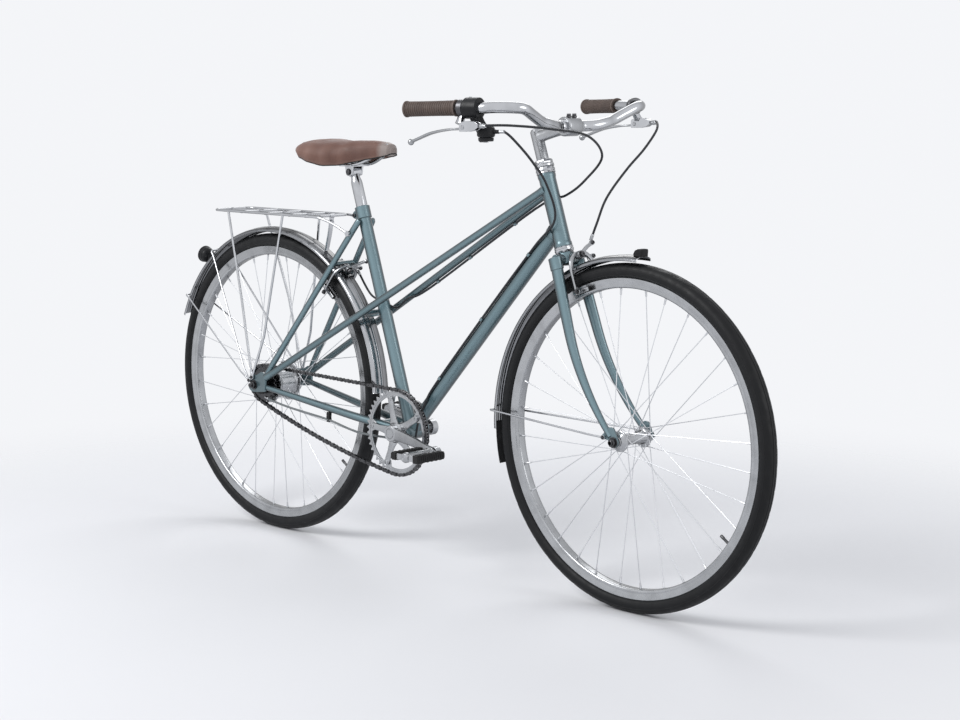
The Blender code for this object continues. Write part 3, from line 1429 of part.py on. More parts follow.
def front_caliper():
    height = -LOWER_CUP_HEIGHT - 0.0008 - CROWN_HEIGHT / 2
    bolt = head_point(height)
    near = 0.0320
    middle = near + ARM_THICKNESS + ARM_GAP / 2
    behind_axle = FORK_OFFSET - middle
    drop = HEAD_BASE_TO_AXLE + height - sqrt(PAD_RADIUS_ON_RIM ** 2 - behind_axle ** 2)
    return Caliper(bolt, HEAD_UP, HEAD_FORWARD, near, drop)


def rear_caliper():
    bolt = stay_middle(BRAKE_BRIDGE_RADIUS)
    bolt.y = 0
    up = (bolt - REAR_AXLE).normalized()
    outward = up.cross(ALONG_Y)
    outward = outward if outward.x > 0 else -outward
    near = 0.0120
    middle = near + ARM_THICKNESS + ARM_GAP / 2
    drop = BRAKE_BRIDGE_RADIUS - sqrt(PAD_RADIUS_ON_RIM ** 2 - middle ** 2)
    return Caliper(bolt, up, outward, near, drop)


def make_brake_arm(name, caliper, side, horn, layer, arm_body):
    """A curved arm round the fender, from its pad past the bolt to its cable horn."""
    level = caliper.near + ARM_THICKNESS / 2 + layer * (ARM_THICKNESS + ARM_GAP)
    bow = FENDER_CLEARANCE_HALF + ARM_HALF_WIDTH
    inside = RIM_WIDTH / 2 + PAD_GAP + PAD_THICKNESS + ARM_HALF_WIDTH + 0.0030
    shape = [
        (inside, -caliper.pad_drop - 0.0060), (inside, -caliper.pad_drop), (bow, -0.045), (bow, -0.026),
        (bow * 0.92, -0.013), (bow * 0.60, -0.001), (0.006, 0.004),
    ]
    route = [caliper.place(across * side, lift, level) for across, lift in shape]
    solid = strip(route, caliper.outward, ARM_THICKNESS / 2, ARM_HALF_WIDTH)
    horn_route = [caliper.place(across, lift, level) for across, lift in ((0.0, 0.0),) + horn]
    boss = rod(
        caliper.place(0, 0, level - ARM_THICKNESS / 2), caliper.place(0, 0, level + ARM_THICKNESS / 2),
        0.0085, FACETS_SMALL,
    )
    grip = caliper.place(*horn[-1], level)
    lug_back = grip - caliper.outward * (ARM_THICKNESS / 2 + 0.0002)
    lug_front = grip + caliper.outward * (ARM_THICKNESS / 2 - 0.0002)
    lug = rod(lug_back, lug_front, 0.0052, FACETS_TINY)
    horn_bar = strip(horn_route, caliper.outward, ARM_THICKNESS / 2 - 0.0004, 0.0036)
    join(solid, boss, horn_bar, lug)
    reach = caliper.outward * 0.02
    centre = caliper.place(0, 0, level)
    cut(solid, rod(centre - reach, centre + reach, BOLT_RADIUS + RUNNING, FACETS_SMALL))
    piece(name, solid, arm_body, ALLOY)


def make_brake_pad(name, caliper, side, arm_body):
    """A rubber block beside the rim, with the stud that holds it to its arm."""
    level = caliper.near + ARM_THICKNESS + ARM_GAP / 2
    inner = RIM_WIDTH / 2 + PAD_GAP
    outline = [
        (-PAD_LENGTH / 2, -PAD_HEIGHT / 2), (PAD_LENGTH / 2, -PAD_HEIGHT / 2),
        (PAD_LENGTH / 2, PAD_HEIGHT / 2), (-PAD_LENGTH / 2, PAD_HEIGHT / 2),
    ]
    centre = caliper.place(0, -caliper.pad_drop, level)
    low, high = sorted((inner * side, (inner + PAD_THICKNESS) * side))
    solid = slab(outline, centre, caliper.outward, caliper.up, ALONG_Y, low, high)
    stud_end = inner + PAD_THICKNESS + 0.0030 - TOUCH
    stud_start = centre + ALONG_Y * (inner + 0.004) * side
    join(solid, rod(stud_start, centre + ALONG_Y * stud_end * side, BOLT_RADIUS, FACETS_TINY))
    piece(name, solid, arm_body, BLACK_RUBBER)


FRONT_HORNS = {
    -1: ((0.020, -0.002), (0.040, -0.004)),
    1: ((0.020, 0.013), (0.040, 0.022)),
}
REAR_HORNS = {
    -1: ((0.020, -0.001), (0.040, -0.004)),
    1: ((0.018, 0.012), (0.040, 0.021)),
}


def brake_bolt(caliper, start):
    """The bolt that both arms of a brake turn on, part of what carries it."""
    end = caliper.near + 2 * ARM_THICKNESS + ARM_GAP + 0.0005
    shank = rod(caliper.place(0, 0, start), caliper.place(0, 0, end + 0.002), BOLT_RADIUS, FACETS_SMALL)
    nut = rod(caliper.place(0, 0, end), caliper.place(0, 0, end + 0.0045), 0.0058, 6)
    return join(shank, nut)


# Fenders, stays, rack and light

def fender_solid(axle, arc, steps):
    """A thin arched sheet swept round the wheel, with its edges turned down."""
    half = FENDER_WIDTH / 2
    outer = [
        (FENDER_RADIUS - FENDER_LIP_DROP, half), (FENDER_RADIUS - 0.0032, half * 0.78), (FENDER_RADIUS, 0.0),
        (FENDER_RADIUS - 0.0032, -half * 0.78), (FENDER_RADIUS - FENDER_LIP_DROP, -half),
    ]
    inner = [(radius - FENDER_SHEET, across * 0.945) for radius, across in reversed(outer)]
    inner[0] = (inner[0][0] + FENDER_SHEET, inner[0][1])
    inner[-1] = (inner[-1][0] + FENDER_SHEET, inner[-1][1])
    section = outer + inner
    start, end = arc
    rings = []
    for step in range(steps + 1):
        angle = start + (end - start) * step / steps
        rings.append([round_wheel(axle, radius, angle, across) for radius, across in section])
    return loft(rings)


def wheel_stay(axle, angle, foot):
    """One wire from a foot at one side, over the fender and down to the other side."""
    half = FENDER_WIDTH / 2 + STAY_WIRE_RADIUS + 0.0006
    rise = FENDER_RADIUS + STAY_WIRE_RADIUS + 0.0006
    drop = FENDER_RADIUS - FENDER_LIP_DROP - 0.004
    side = [(drop, half), (rise - 0.0035, half), (rise, half - 0.0055)]
    right = [round_wheel(axle, radius, angle, -across) for radius, across in side]
    knee = foot.lerp(right[0], 0.10)
    knee.y = foot.y
    right = [foot, knee] + right
    left = [mirrored(place, 1) for place in reversed(right)]
    return tube(right + left, STAY_WIRE_RADIUS, FACETS_STAY)


REAR_STAY_ANGLES = (radians(126), radians(150))
FRONT_STAY_ANGLE = radians(177)


def stay_eye(centre, side, radius, wire_radius):
    near = abs(centre.y) - wire_radius
    far = abs(centre.y) + wire_radius
    base = Vector((centre.x, 0, centre.z))
    return rod(base + ALONG_Y * near * side, base + ALONG_Y * far * side, radius, FACETS_TINY)


def make_rear_fender(frame):
    solid = fender_solid(REAR_AXLE, REAR_FENDER_ARC, 17)
    piece("rear_fender", solid, frame, CHROME)
    offset = DROPOUT_OFFSET + DROPOUT_THICKNESS / 2 + STAY_WIRE_RADIUS + 0.0006
    foot = REAR_AXLE + FENDER_EYE - ALONG_Y * offset
    stays = [wheel_stay(REAR_AXLE, angle, foot) for angle in REAR_STAY_ANGLES]
    solid = stays[0]
    eyes = [stay_eye(mirrored(foot, side), side, 0.0048, STAY_WIRE_RADIUS) for name, side in SIDES]
    join(solid, *eyes)
    join(solid, stays[1])
    piece("rear_fender_stays", solid, frame, CHROME)


def make_front_fender(steering):
    solid = fender_solid(FRONT_AXLE, FRONT_FENDER_ARC, 12)
    piece("front_fender", solid, steering, CHROME)
    offset = BLADE_LOW_SPREAD + FORK_TIP_THICKNESS / 2 + STAY_WIRE_RADIUS + 0.0006
    foot = FRONT_AXLE + FRONT_EYE - ALONG_Y * offset
    stay = wheel_stay(FRONT_AXLE, FRONT_STAY_ANGLE, foot)
    eyes = [stay_eye(mirrored(foot, side), side, 0.0048, STAY_WIRE_RADIUS) for name, side in SIDES]
    join(stay, *eyes)
    piece("front_fender_stays", stay, steering, CHROME)
    inner = FENDER_RADIUS - FENDER_SHEET - 0.0018
    half = FENDER_WIDTH / 2 * 0.80
    section = [
        (inner - 0.0052, half), (inner - 0.0010, half * 0.5), (inner - 0.0006, 0),
        (inner - 0.0010, -half * 0.5), (inner - 0.0052, -half), (inner - 0.0070, -half),
        (inner - 0.0030, -half * 0.5), (inner - 0.0026, 0), (inner - 0.0030, half * 0.5),
        (inner - 0.0070, half),
    ]
    end = FRONT_FENDER_ARC[1]
    rings = []
    for step in range(5):
        angle = end - radians(2) + radians(14) * step / 4
        rings.append([round_wheel(FRONT_AXLE, radius, angle, across) for radius, across in section])
    piece("front_mudflap", loft(rings), steering, BLACK_RUBBER)


def make_rack(frame):
    """A welded wire rack: a hooped platform, cross wires, legs and two curved front stays."""
    wire = RACK_WIRE_RADIUS
    corner = 0.022
    loop = []
    front = RACK_FRONT - corner
    rear = RACK_REAR + corner
    side_line = RACK_HALF_WIDTH - corner
    for x, y, first in (
        (front, side_line, 0), (rear, side_line, 90), (rear, -side_line, 180), (front, -side_line, 270),
    ):
        for turn in (radians(first + 12), radians(first + 78)):
            loop.append(point(x + corner * cos(turn), y + corner * sin(turn), RACK_HEIGHT))
    solid = tube(loop, wire, FACETS_WIRE, closed=True, start=ALONG_Z)
    middle_rail = [point(x, 0, RACK_HEIGHT + 0.0004) for x in (RACK_FRONT + 0.0005, RACK_REAR - 0.0005)]
    join(solid, tube(middle_rail, wire, FACETS_WIRE, start=ALONG_Z))
    for x in RACK_CROSS_WIRES:
        ends = [point(x, y * (RACK_HALF_WIDTH + 0.0006), RACK_HEIGHT - 0.0008) for y in (-1, 1)]
        join(solid, tube(ends, wire, FACETS_WIRE, start=ALONG_Z))
    outer = DROPOUT_OFFSET + DROPOUT_THICKNESS / 2 + wire + 0.0006
    foot = REAR_AXLE + RACK_EYE + ALONG_Y * outer
    for name, side in SIDES:
        rear_leg = [
            point(RACK_REAR + 0.058, RACK_HALF_WIDTH * side, RACK_HEIGHT), point(-0.583, 0.070 * side, 0.537),
            mirrored(foot, side),
        ]
        middle_leg = [
            point(-0.450, RACK_HALF_WIDTH * side, RACK_HEIGHT), point(-0.505, 0.070 * side, 0.460),
            mirrored(foot, side) + point(0.001, 0.0002 * side, 0.001),
        ]
        eye = stay_eye(mirrored(foot, side), side, 0.0060, wire)
        front_stay = [
            point(RACK_FRONT - 0.030, RACK_HALF_WIDTH * side, RACK_HEIGHT - 0.0004),
            point(RACK_FRONT + 0.014, (RACK_HALF_WIDTH - 0.0035) * side, RACK_HEIGHT - 0.0016),
            point(RACK_FRONT + 0.050, (RACK_HALF_WIDTH - 0.014) * side, RACK_HEIGHT - 0.014),
            mirrored(front_stay_end(), side),
        ]
        join(solid, tube(rear_leg, wire, FACETS_WIRE), tube(middle_leg, wire, FACETS_WIRE), eye)
        join(solid, tube(front_stay, wire, FACETS_WIRE))
    piece("rear_rack", solid, frame, CHROME)


RACK_CROSS_WIRES = (-0.430, -0.515, -0.600)


def front_stay_end():
    """Where a rack stay meets the outer side of a seat stay, near its top."""
    low, top = seat_stay_line(1)
    place = low.lerp(top, 0.93)
    return place + ALONG_Y * (SEAT_STAY_RADIUS + RACK_WIRE_RADIUS + 0.0012)


TAIL_LIGHT_ANGLE = radians(133)
TAIL_LIGHT_RADIUS = 0.0200
TAIL_LIGHT_DEPTH = 0.0220
TAIL_LIGHT_FACETS = 8


def make_tail_light(frame):
    """A round light on a short foot that stands on the rear fender."""
    aim = Vector((-cos(radians(12)), 0, sin(radians(12))))
    centre = round_wheel(REAR_AXLE, FENDER_RADIUS + 0.0215, TAIL_LIGHT_ANGLE)
    profile = [
        (0.0090, 0.0), (0.0150, 0.0030), (0.0185, 0.0100), (TAIL_LIGHT_RADIUS, TAIL_LIGHT_DEPTH),
        (TAIL_LIGHT_RADIUS - 0.0025, TAIL_LIGHT_DEPTH),
        (TAIL_LIGHT_RADIUS - 0.0025, TAIL_LIGHT_DEPTH - 0.004),
    ]
    start = centre - aim * TAIL_LIGHT_DEPTH / 2
    solid = revolve(profile, start, aim, TAIL_LIGHT_FACETS, False, ALONG_Y)
    foot_low = round_wheel(REAR_AXLE, FENDER_RADIUS + TOUCH + 0.0008, TAIL_LIGHT_ANGLE)
    foot = strip([foot_low, centre], ALONG_Y, 0.0060, 0.0050)
    join(solid, foot)
    piece("tail_light_housing", solid, frame, BLACK_PLASTIC)
    edge = TAIL_LIGHT_RADIUS - 0.0025 - TOUCH
    base = TAIL_LIGHT_DEPTH - 0.004 + TOUCH
    lens = revolve(
        [(edge, base), (edge, base + 0.005), (edge * 0.75, base + 0.0085), (edge * 0.35, base + 0.0105)],
        start, aim, TAIL_LIGHT_FACETS, False, ALONG_Y,
    )
    piece("tail_light_lens", lens, frame, RED_LENS)


# Seatpost and saddle

def make_seatpost(seatpost):
    """A plain pillar that narrows to a round head for the saddle's pin."""
    profile = [
        (SEATPOST_RADIUS - 0.001, SEATPOST_FOOT), (SEATPOST_RADIUS, SEATPOST_FOOT + 0.002),
        (SEATPOST_RADIUS, SEATPOST_HEAD - 0.026), (0.0100, SEATPOST_HEAD - 0.014), (0.0095, SEATPOST_HEAD),
    ]
    solid = revolve(profile, BRACKET, SEAT_UP, FACETS_MEDIUM, False)
    head = seat_point(SEATPOST_HEAD)
    join(solid, rod(head - ALONG_Y * 0.0120, head + ALONG_Y * 0.0120, 0.0112, FACETS_MEDIUM))
    cut(solid, rod(head - ALONG_Y * 0.03, head + ALONG_Y * 0.03, 0.0038 + RUNNING, FACETS_SMALL))
    piece("seatpost", solid, seatpost, CHROME)


def saddle_station(share):
    """Half width, crown height, skirt height and underside height above the head pin."""
    stations = (
        (0.00, 0.50, 0.0560, 0.0440), (0.04, 0.80, 0.0645, 0.0370), (0.12, 0.96, 0.0700, 0.0310),
        (0.24, 1.00, 0.0715, 0.0225), (0.36, 0.84, 0.0695, 0.0150), (0.48, 0.58, 0.0680, 0.0160),
        (0.62, 0.37, 0.0695, 0.0240), (0.78, 0.28, 0.0700, 0.0320), (0.92, 0.235, 0.0650, 0.0370),
        (1.00, 0.16, 0.0575, 0.0420),
    )
    for (a, *first), (b, *second) in zip(stations, stations[1:]):
        if share <= b:
            t = (share - a) / (b - a)
            t = t * t * (3 - 2 * t) * 0.5 + t * 0.5
            width, crown, skirt = [p + (q - p) * t for p, q in zip(first, second)]
            break
    under = skirt + (crown - skirt) * 0.42
    return width * SADDLE_HALF_WIDTH, crown, skirt, under


def make_saddle(saddle):
    """A crowned cover with drawn-in sides over a base, rails and the clamp cradle."""
    pin = seat_point(SEATPOST_HEAD)
    rear = pin - ALONG_X * SADDLE_REAR
    steps = 16
    cover_rings = []
    base_rings = []
    for step in range(steps + 1):
        share = 0.5 - 0.5 * cos(pi * step / steps)
        half, crown, skirt, under = saddle_station(share)
        along = rear + ALONG_X * SADDLE_LENGTH * share
        cover_rings.append(cover_section(along, half, crown, skirt, under))
        if 2 <= step <= steps - 2 and step % 2 == 0:
            base_half = half * 0.60
            top = under - 0.0030
            base_rings.append([
                along + ALONG_Y * a * base_half + ALONG_Z * (top - d)
                for a, d in ((-1, 0.0030), (1, 0.0030), (1, 0.0008), (0.5, 0), (-0.5, 0), (-1, 0.0008))
            ])
    piece("saddle_cover", loft(cover_rings), saddle, BROWN_LEATHER)
    solid = loft(base_rings)
    rail_height = 0.0175
    for name, side in SIDES:
        rail = smooth([
            rear + point(0.046, 0.052 * side, 0.0425), rear + point(0.058, 0.042 * side, 0.0300),
            rear + point(0.085, 0.024 * side, rail_height), rear + point(0.125, 0.022 * side, rail_height),
            rear + point(0.165, 0.022 * side, rail_height + 0.001), rear + point(0.205, 0.016 * side, 0.0330),
            rear + point(0.228, 0.010 * side, 0.0445),
        ], 1)
        join(solid, tube(rail, RAIL_RADIUS, FACETS_WIRE))
    clamp_low = 0.0125
    cradle = block(
        pin + point(-0.020, -0.0275, clamp_low), pin + point(0.020, 0.0275, rail_height + 0.0060),
    )
    join(solid, cradle)
    for name, side in SIDES:
        low, high = sorted((0.0124 * side, 0.0168 * side))
        cheek = plate(
            [(-0.0085, -0.0060), (0.0, -0.0090), (0.0085, -0.0060), (0.0125, 0.0150), (-0.0125, 0.0150)],
            pin, low, high,
        )
        join(solid, cheek)
    bolt = rod(pin - ALONG_Y * 0.0205, pin + ALONG_Y * 0.0205, 0.0038, FACETS_SMALL)
    join(solid, bolt)
    piece("saddle_frame", solid, saddle, CHROME)


def cover_section(along, half, crown, skirt, under):
    """One ring of the cover: crown, rounded shoulder, drawn-in skirt and underside."""
    height = crown - skirt
    side = [
        (0.0, crown), (0.42, crown - height * 0.04), (0.76, crown - height * 0.17),
        (0.95, crown - height * 0.42), (1.0, crown - height * 0.66), (0.93, skirt + height * 0.03),
        (0.83, skirt), (0.77, under - height * 0.06), (0.68, under),
    ]
    left = [along + ALONG_Y * a * half + ALONG_Z * z for a, z in side]
    right = [along - ALONG_Y * a * half + ALONG_Z * z for a, z in reversed(side[1:])]
    return left + [along + ALONG_Z * under] + right


# Cables

CABLE_RADIUS = 0.0025


def rear_cable_route():
    """From the right lever round the head tube, under the left lateral and up to the rear brake."""
    caliper = rear_caliper()
    end = caliper.place(0.040, -0.0145, caliper.near + ARM_THICKNESS / 2)
    rear, front = lateral_line(1)
    along = (front - rear).normalized()
    under = (along * along.z - ALONG_Z).normalized() * (LATERAL_RADIUS + CABLE_RADIUS + 0.0012)
    start = LEVER_PIVOTS[-1] + Vector((0.0408, 0, 0.0035))
    return [
        start, start + point(0.018, 0.003, 0.001), point(0.406, -0.198, 0.957), point(0.432, -0.110, 0.949),
        point(0.430, -0.010, 0.934), point(0.407, 0.058, 0.892), point(0.372, 0.048, 0.845),
        point(0.336, 0.032, 0.814), lateral_at(0.26) + under, lateral_at(-0.07) + under,
        lateral_at(-0.125) + point(0, -0.0150, -0.0070), point(-0.163, 0.0290, 0.5470),
        point(-0.203, 0.0285, 0.5565), point(-0.256, 0.0360, 0.5690), end,
    ]


def front_cable_route():
    caliper = front_caliper()
    end = caliper.place(0.040, 0.0285, caliper.near + ARM_THICKNESS * 1.5 + ARM_GAP)
    start = LEVER_PIVOTS[1] + Vector((0.0408, 0, 0.0035))
    return [
        start, start + point(0.016, -0.003, 0.001), point(0.422, 0.207, 0.941), point(0.430, 0.160, 0.905),
        point(0.424, 0.112, 0.864), point(0.413, 0.066, 0.810), point(0.406, 0.045, 0.760), end,
    ]


def shift_cable_route():
    """From the pod, past the head tube, down the down tube, under the shell to the rear hub."""
    start = SHIFTER_PIN + Vector((0.0265, 0.0102, 0.011))
    foot = BRACKET
    top = head_point(DOWN_TUBE_HEAD_HEIGHT)
    along = (top - foot).normalized()
    up = ALONG_Y.cross(along)
    up = up if up.z > 0 else -up
    ride = DOWN_TUBE_RADIUS + CABLE_RADIUS + 0.0006

    def on_tube(distance, turn):
        return foot + along * distance + (up * cos(turn) - ALONG_Y * sin(turn)) * ride

    length = (top - foot).length
    low = SHELL_RADIUS + CABLE_RADIUS + 0.0006
    return [
        start, start + point(0.012, 0.005, -0.002), point(0.398, -0.180, 0.925), point(0.402, -0.140, 0.888),
        point(0.390, -0.085, 0.840), point(0.366, -0.035, 0.770),
        on_tube(length * 0.90, radians(62)), on_tube(length * 0.65, radians(52)),
        on_tube(length * 0.24, radians(62)), on_tube(0.095, radians(88)), on_tube(0.050, radians(118)),
        BRACKET + point(0.022, -0.0135, -low + 0.003), BRACKET + point(-0.004, -0.0150, -low - 0.0006),
        BRACKET + point(-0.040, -0.0200, -0.0215), point(-0.227, -0.033, 0.2690),
        point(-0.307, -0.049, 0.2890), point(-0.420, -0.0580, 0.3025), point(-0.490, -0.0565, 0.3110),
        point(-0.5215, -0.0532, 0.3165),
    ]


def main():
    clear_scene()
    frame = body("frame", Vector((0, 0, 0)))
    steering = body("steering_axis", HEAD_BASE, frame)
    front_wheel = body("front_wheel_axis", FRONT_AXLE, steering)
    rear_wheel = body("rear_wheel_axis", REAR_AXLE, frame)
    sprocket = body("sprocket_axis", REAR_AXLE, frame)
    pulley = body("pulley_axis", REAR_AXLE, frame)
    cranks = body("crank_axis", BRACKET, frame)
    seatpost = body("seatpost_slide", seat_point(SEAT_TUBE_LENGTH), frame)
    saddle = body("saddle_axis", seat_point(SEATPOST_HEAD), seatpost)
    shift_lever = body("shift_lever_axis", SHIFTER_PIN, steering)

    make_head_tube(frame)
    make_cups(frame)
    make_down_tube(frame)
    make_seat_tube(frame)
    make_bottom_bracket(frame)
    make_lateral_tubes(frame)
    make_seat_stays(frame)
    make_chain_stays(frame)
    make_rear_fender(frame)
    make_rack(frame)
    make_tail_light(frame)

    make_fork(steering)
    make_locknut(steering)
    make_stem(steering)
    make_handlebar(steering)
    make_front_fender(steering)
    for name, side in SIDES:
        make_grip("grip_" + name, side, steering)
        make_lever_bracket("lever_bracket_" + name, side, steering)
        lever = body("brake_lever_" + name + "_axis", LEVER_PIVOTS[side], steering)
        make_brake_lever("brake_lever_" + name, side, lever)
    make_shifter(steering, shift_lever)

    for prefix, caliper, carrier, horns in (
        ("front", front_caliper(), steering, FRONT_HORNS), ("rear", rear_caliper(), frame, REAR_HORNS),
    ):
        for name, side in SIDES:
            axis = caliper.place(0, 0, caliper.near)
            arm = body(prefix + "_brake_" + name + "_axis", axis, carrier)
            make_brake_arm(prefix + "_brake_arm_" + name, caliper, side, horns[side], max(side, 0), arm)
            make_brake_pad(prefix + "_brake_pad_" + name, caliper, side, arm)
    fork = bpy.data.objects["fork"]
    fork_bolt = brake_bolt(front_caliper(), 0.008)
    fork_bolt.data.transform(Matrix.Translation(-HEAD_BASE))
    fork_bolt.parent = steering
    join(fork, fork_bolt)
    stays = bpy.data.objects["seat_stays"]
    join(stays, brake_bolt(rear_caliper(), 0.0))

    make_wheel(
        "front", FRONT_AXLE, front_wheel, FRONT_HUB_WIDTH / 2 - 0.0045,
        FRONT_FLANGE_RADIUS, FRONT_FLANGE_OFFSET, FRONT_BARREL_RADIUS,
    )
    make_wheel(
        "rear", REAR_AXLE, rear_wheel, 0.0345, REAR_FLANGE_RADIUS, REAR_FLANGE_OFFSET, REAR_BARREL_RADIUS,
    )
    front_face = BLADE_LOW_SPREAD + FORK_TIP_THICKNESS / 2 + TOUCH
    make_axle("front_axle", FRONT_AXLE, FRONT_HUB_WIDTH, front_face, 0.003, steering)
    rear_face = DROPOUT_OFFSET + DROPOUT_THICKNESS / 2 + TOUCH
    make_axle("rear_axle", REAR_AXLE, REAR_HUB_WIDTH, rear_face, 0.006, frame)

    pins, round_ring, run, top, arrive = chain_pins()
    make_chain(frame, pins)
    make_chainring(cranks, top)
    make_cranks(cranks)
    first_on_sprocket = ceil(round_ring + run)
    sprocket_gap = arrive - (first_on_sprocket - round_ring - run) * SPROCKET_STEP
    make_sprocket(sprocket, sprocket_gap)
    make_shift_pulley(pulley)
    for name, side in SIDES:
        pedal = body("pedal_" + name + "_axis", crank_end(side), cranks)
        make_pedal("pedal_" + name, side, pedal)

    make_seatpost(seatpost)
    make_saddle(saddle)
    cable("rear_brake_cable", smooth(rear_cable_route(), 2), CABLE_RADIUS, frame, CABLE_JACKET)
    cable("front_brake_cable", smooth(front_cable_route(), 2), CABLE_RADIUS, steering, CABLE_JACKET)
    cable("shift_cable", smooth(shift_cable_route(), 2), CABLE_RADIUS, frame, CABLE_JACKET)


main()
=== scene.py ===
import json
from math import acos, atan2, ceil, cos, hypot, pi, radians, sin, sqrt

import bmesh
import bpy
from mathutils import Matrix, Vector


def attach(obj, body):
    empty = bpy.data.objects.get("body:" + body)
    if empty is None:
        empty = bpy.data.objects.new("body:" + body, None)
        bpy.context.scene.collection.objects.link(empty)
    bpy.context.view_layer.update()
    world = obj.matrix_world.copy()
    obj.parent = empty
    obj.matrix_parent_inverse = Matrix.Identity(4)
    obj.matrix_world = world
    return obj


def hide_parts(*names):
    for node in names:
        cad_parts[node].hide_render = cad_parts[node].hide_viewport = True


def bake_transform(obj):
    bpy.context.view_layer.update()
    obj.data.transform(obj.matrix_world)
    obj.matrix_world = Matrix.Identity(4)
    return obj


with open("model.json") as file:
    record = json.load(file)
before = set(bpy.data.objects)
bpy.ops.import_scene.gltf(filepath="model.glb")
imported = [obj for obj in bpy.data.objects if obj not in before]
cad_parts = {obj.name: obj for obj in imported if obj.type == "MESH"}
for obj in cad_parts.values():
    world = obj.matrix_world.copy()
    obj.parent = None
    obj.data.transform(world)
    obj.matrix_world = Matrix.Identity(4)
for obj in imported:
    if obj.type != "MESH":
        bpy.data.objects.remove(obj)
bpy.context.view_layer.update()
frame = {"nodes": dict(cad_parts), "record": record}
BODY_OF = {node: body for body, nodes in frame["record"]["behaviour"]["bodies"].items() for node in nodes}
SLOT_OF = {part["node"]: part["material_slot"] for part in frame["record"]["subparts"]}

# Camera of the photograph
CAMERA_PLACE = (3.0456, -2.9485, 1.0406)
CAMERA_TARGET = (0.12267, 0, 0.46147)
CAMERA_LENS = 74.98

# Wheels, in metres
WHEELBASE = 1.081
TYRE_RADIUS = 0.346
RIM_INNER_RADIUS = 0.2972
SPOKES_PER_FLANGE = 16
SPOKE_CROSSINGS = 3
SPOKE_RADIUS = 0.0009
AXLE_RADIUS = 0.0049
NUT_RADIUS = 0.0088
NUT_HEIGHT = 0.0075
FRONT_HUB_WIDTH = 0.100
REAR_HUB_WIDTH = 0.135
NUT_CLEARANCE = 0.0003

# Frame and fork
CHAIN_STAY_LENGTH = 0.4572
BOTTOM_BRACKET_DROP = 0.0594
SEAT_ANGLE = radians(72)
SEAT_TUBE_LENGTH = 0.504
SEAT_TUBE_RADIUS = 0.0143
SEAT_TUBE_BORE = 0.0130
COLLAR_RADIUS = 0.0168
COLLAR_HEIGHT = 0.026
HEAD_ANGLE = radians(71.5)
HEAD_TUBE_LENGTH = 0.1515
HEAD_TUBE_RADIUS = 0.0175
HEAD_BASE_TO_AXLE = 0.4055
DOWN_TUBE_RADIUS = 0.0159
DOWN_TUBE_HEAD_HEIGHT = 0.0417
LATERAL_RADIUS = 0.008
LATERAL_HEAD_HEIGHT = 0.1231
LATERAL_SEAT_HEIGHT = 0.2785
SEAT_STAY_RADIUS = 0.007
SEAT_STAY_TOP = 0.4715
STAY_BRIDGE_RADIUS = 0.006
DROPOUT_THICKNESS = 0.005
DROPOUT_OFFSET = 0.0700
SHELL_RADIUS = 0.0205
SHELL_HALF_WIDTH = 0.034
FORK_OFFSET = 0.057
LOWER_CUP_HEIGHT = 0.0120
UPPER_CUP_HEIGHT = 0.0130
CROWN_HEIGHT = 0.0270
CROWN_BASE = -LOWER_CUP_HEIGHT - 0.0008 - CROWN_HEIGHT
STEERER_TOP = 0.1795
BLADE_STRAIGHT_END = -0.175
BLADE_TOP_SPREAD = 0.033
BLADE_LOW_SPREAD = 0.0525
BLADE_DEPTH = 0.0135
BLADE_WIDTH = 0.0105
BLADE_TIP_RADIUS = 0.0060
FORK_TIP_THICKNESS = 0.0042

# Drive
CHAIN_PITCH = 0.0127
CHAINRING_TEETH = 46
SPROCKET_TEETH = 21
CHAIN_LINE = 0.0435
LARGEST_DROOP = radians(40)
ROLLER_RADIUS = 0.0039
ROLLER_LENGTH = 0.0042
LINK_PLATE = 0.0012
LINK_GAP = 0.0002
TOOTH_PLATE = 0.0028
BOLT_CIRCLE = 0.0750
SPIDER_ARMS = 5
CRANK_LENGTH = 0.170
CRANK_ANGLE = radians(-5)
CRANK_INNER_FACE = 0.0500
CRANK_OUTER_FACE = 0.0660
PEDAL_FACE = 0.0985
PEDAL_BOSS = 0.0140
PEDAL_LENGTH = 0.080
PEDAL_DEPTH = 0.080
PEDAL_HEIGHT = 0.018

# Seat and cockpit
SEATPOST_RADIUS = 0.0127
SEATPOST_FOOT = 0.345
SEATPOST_HEAD = 0.5845
SADDLE_REAR = 0.132
SADDLE_LENGTH = 0.260
SADDLE_HALF_WIDTH = 0.083
RAIL_RADIUS = 0.0035
STEM_TOP = 0.242
STEM_QUILL_RADIUS = 0.0125
STEM_CLAMP_HALF_WIDTH = 0.020
BAR_RADIUS = 0.0111
BAR_CENTRE_RADIUS = 0.0127
CABLE_RADIUS = 0.0025

# Brakes, fenders and rack
ARM_THICKNESS = 0.0050
ARM_HALF_WIDTH = 0.0042
ARM_GAP = 0.0008
FRONT_ARM_START = 0.0320
REAR_ARM_START = 0.0120
PAD_RADIUS_ON_RIM = 0.3070
PAD_FACE = 0.0148
PAD_THICKNESS = 0.0080
BRAKE_BRIDGE_RADIUS = 0.3755
FENDER_RADIUS = 0.362
FENDER_HALF_WIDTH = 0.022
FENDER_SHEET = 0.0012
FENDER_LIP_DROP = 0.0100
STAY_WIRE_RADIUS = 0.0022
RACK_WIRE_RADIUS = 0.0029
RACK_HEIGHT = 0.742
RACK_REAR = -0.705
RACK_FRONT = -0.345
RACK_HALF_WIDTH = 0.055
RACK_CORNER = 0.022
LIGHT_ANGLE = radians(133)
LIGHT_TILT = radians(12)

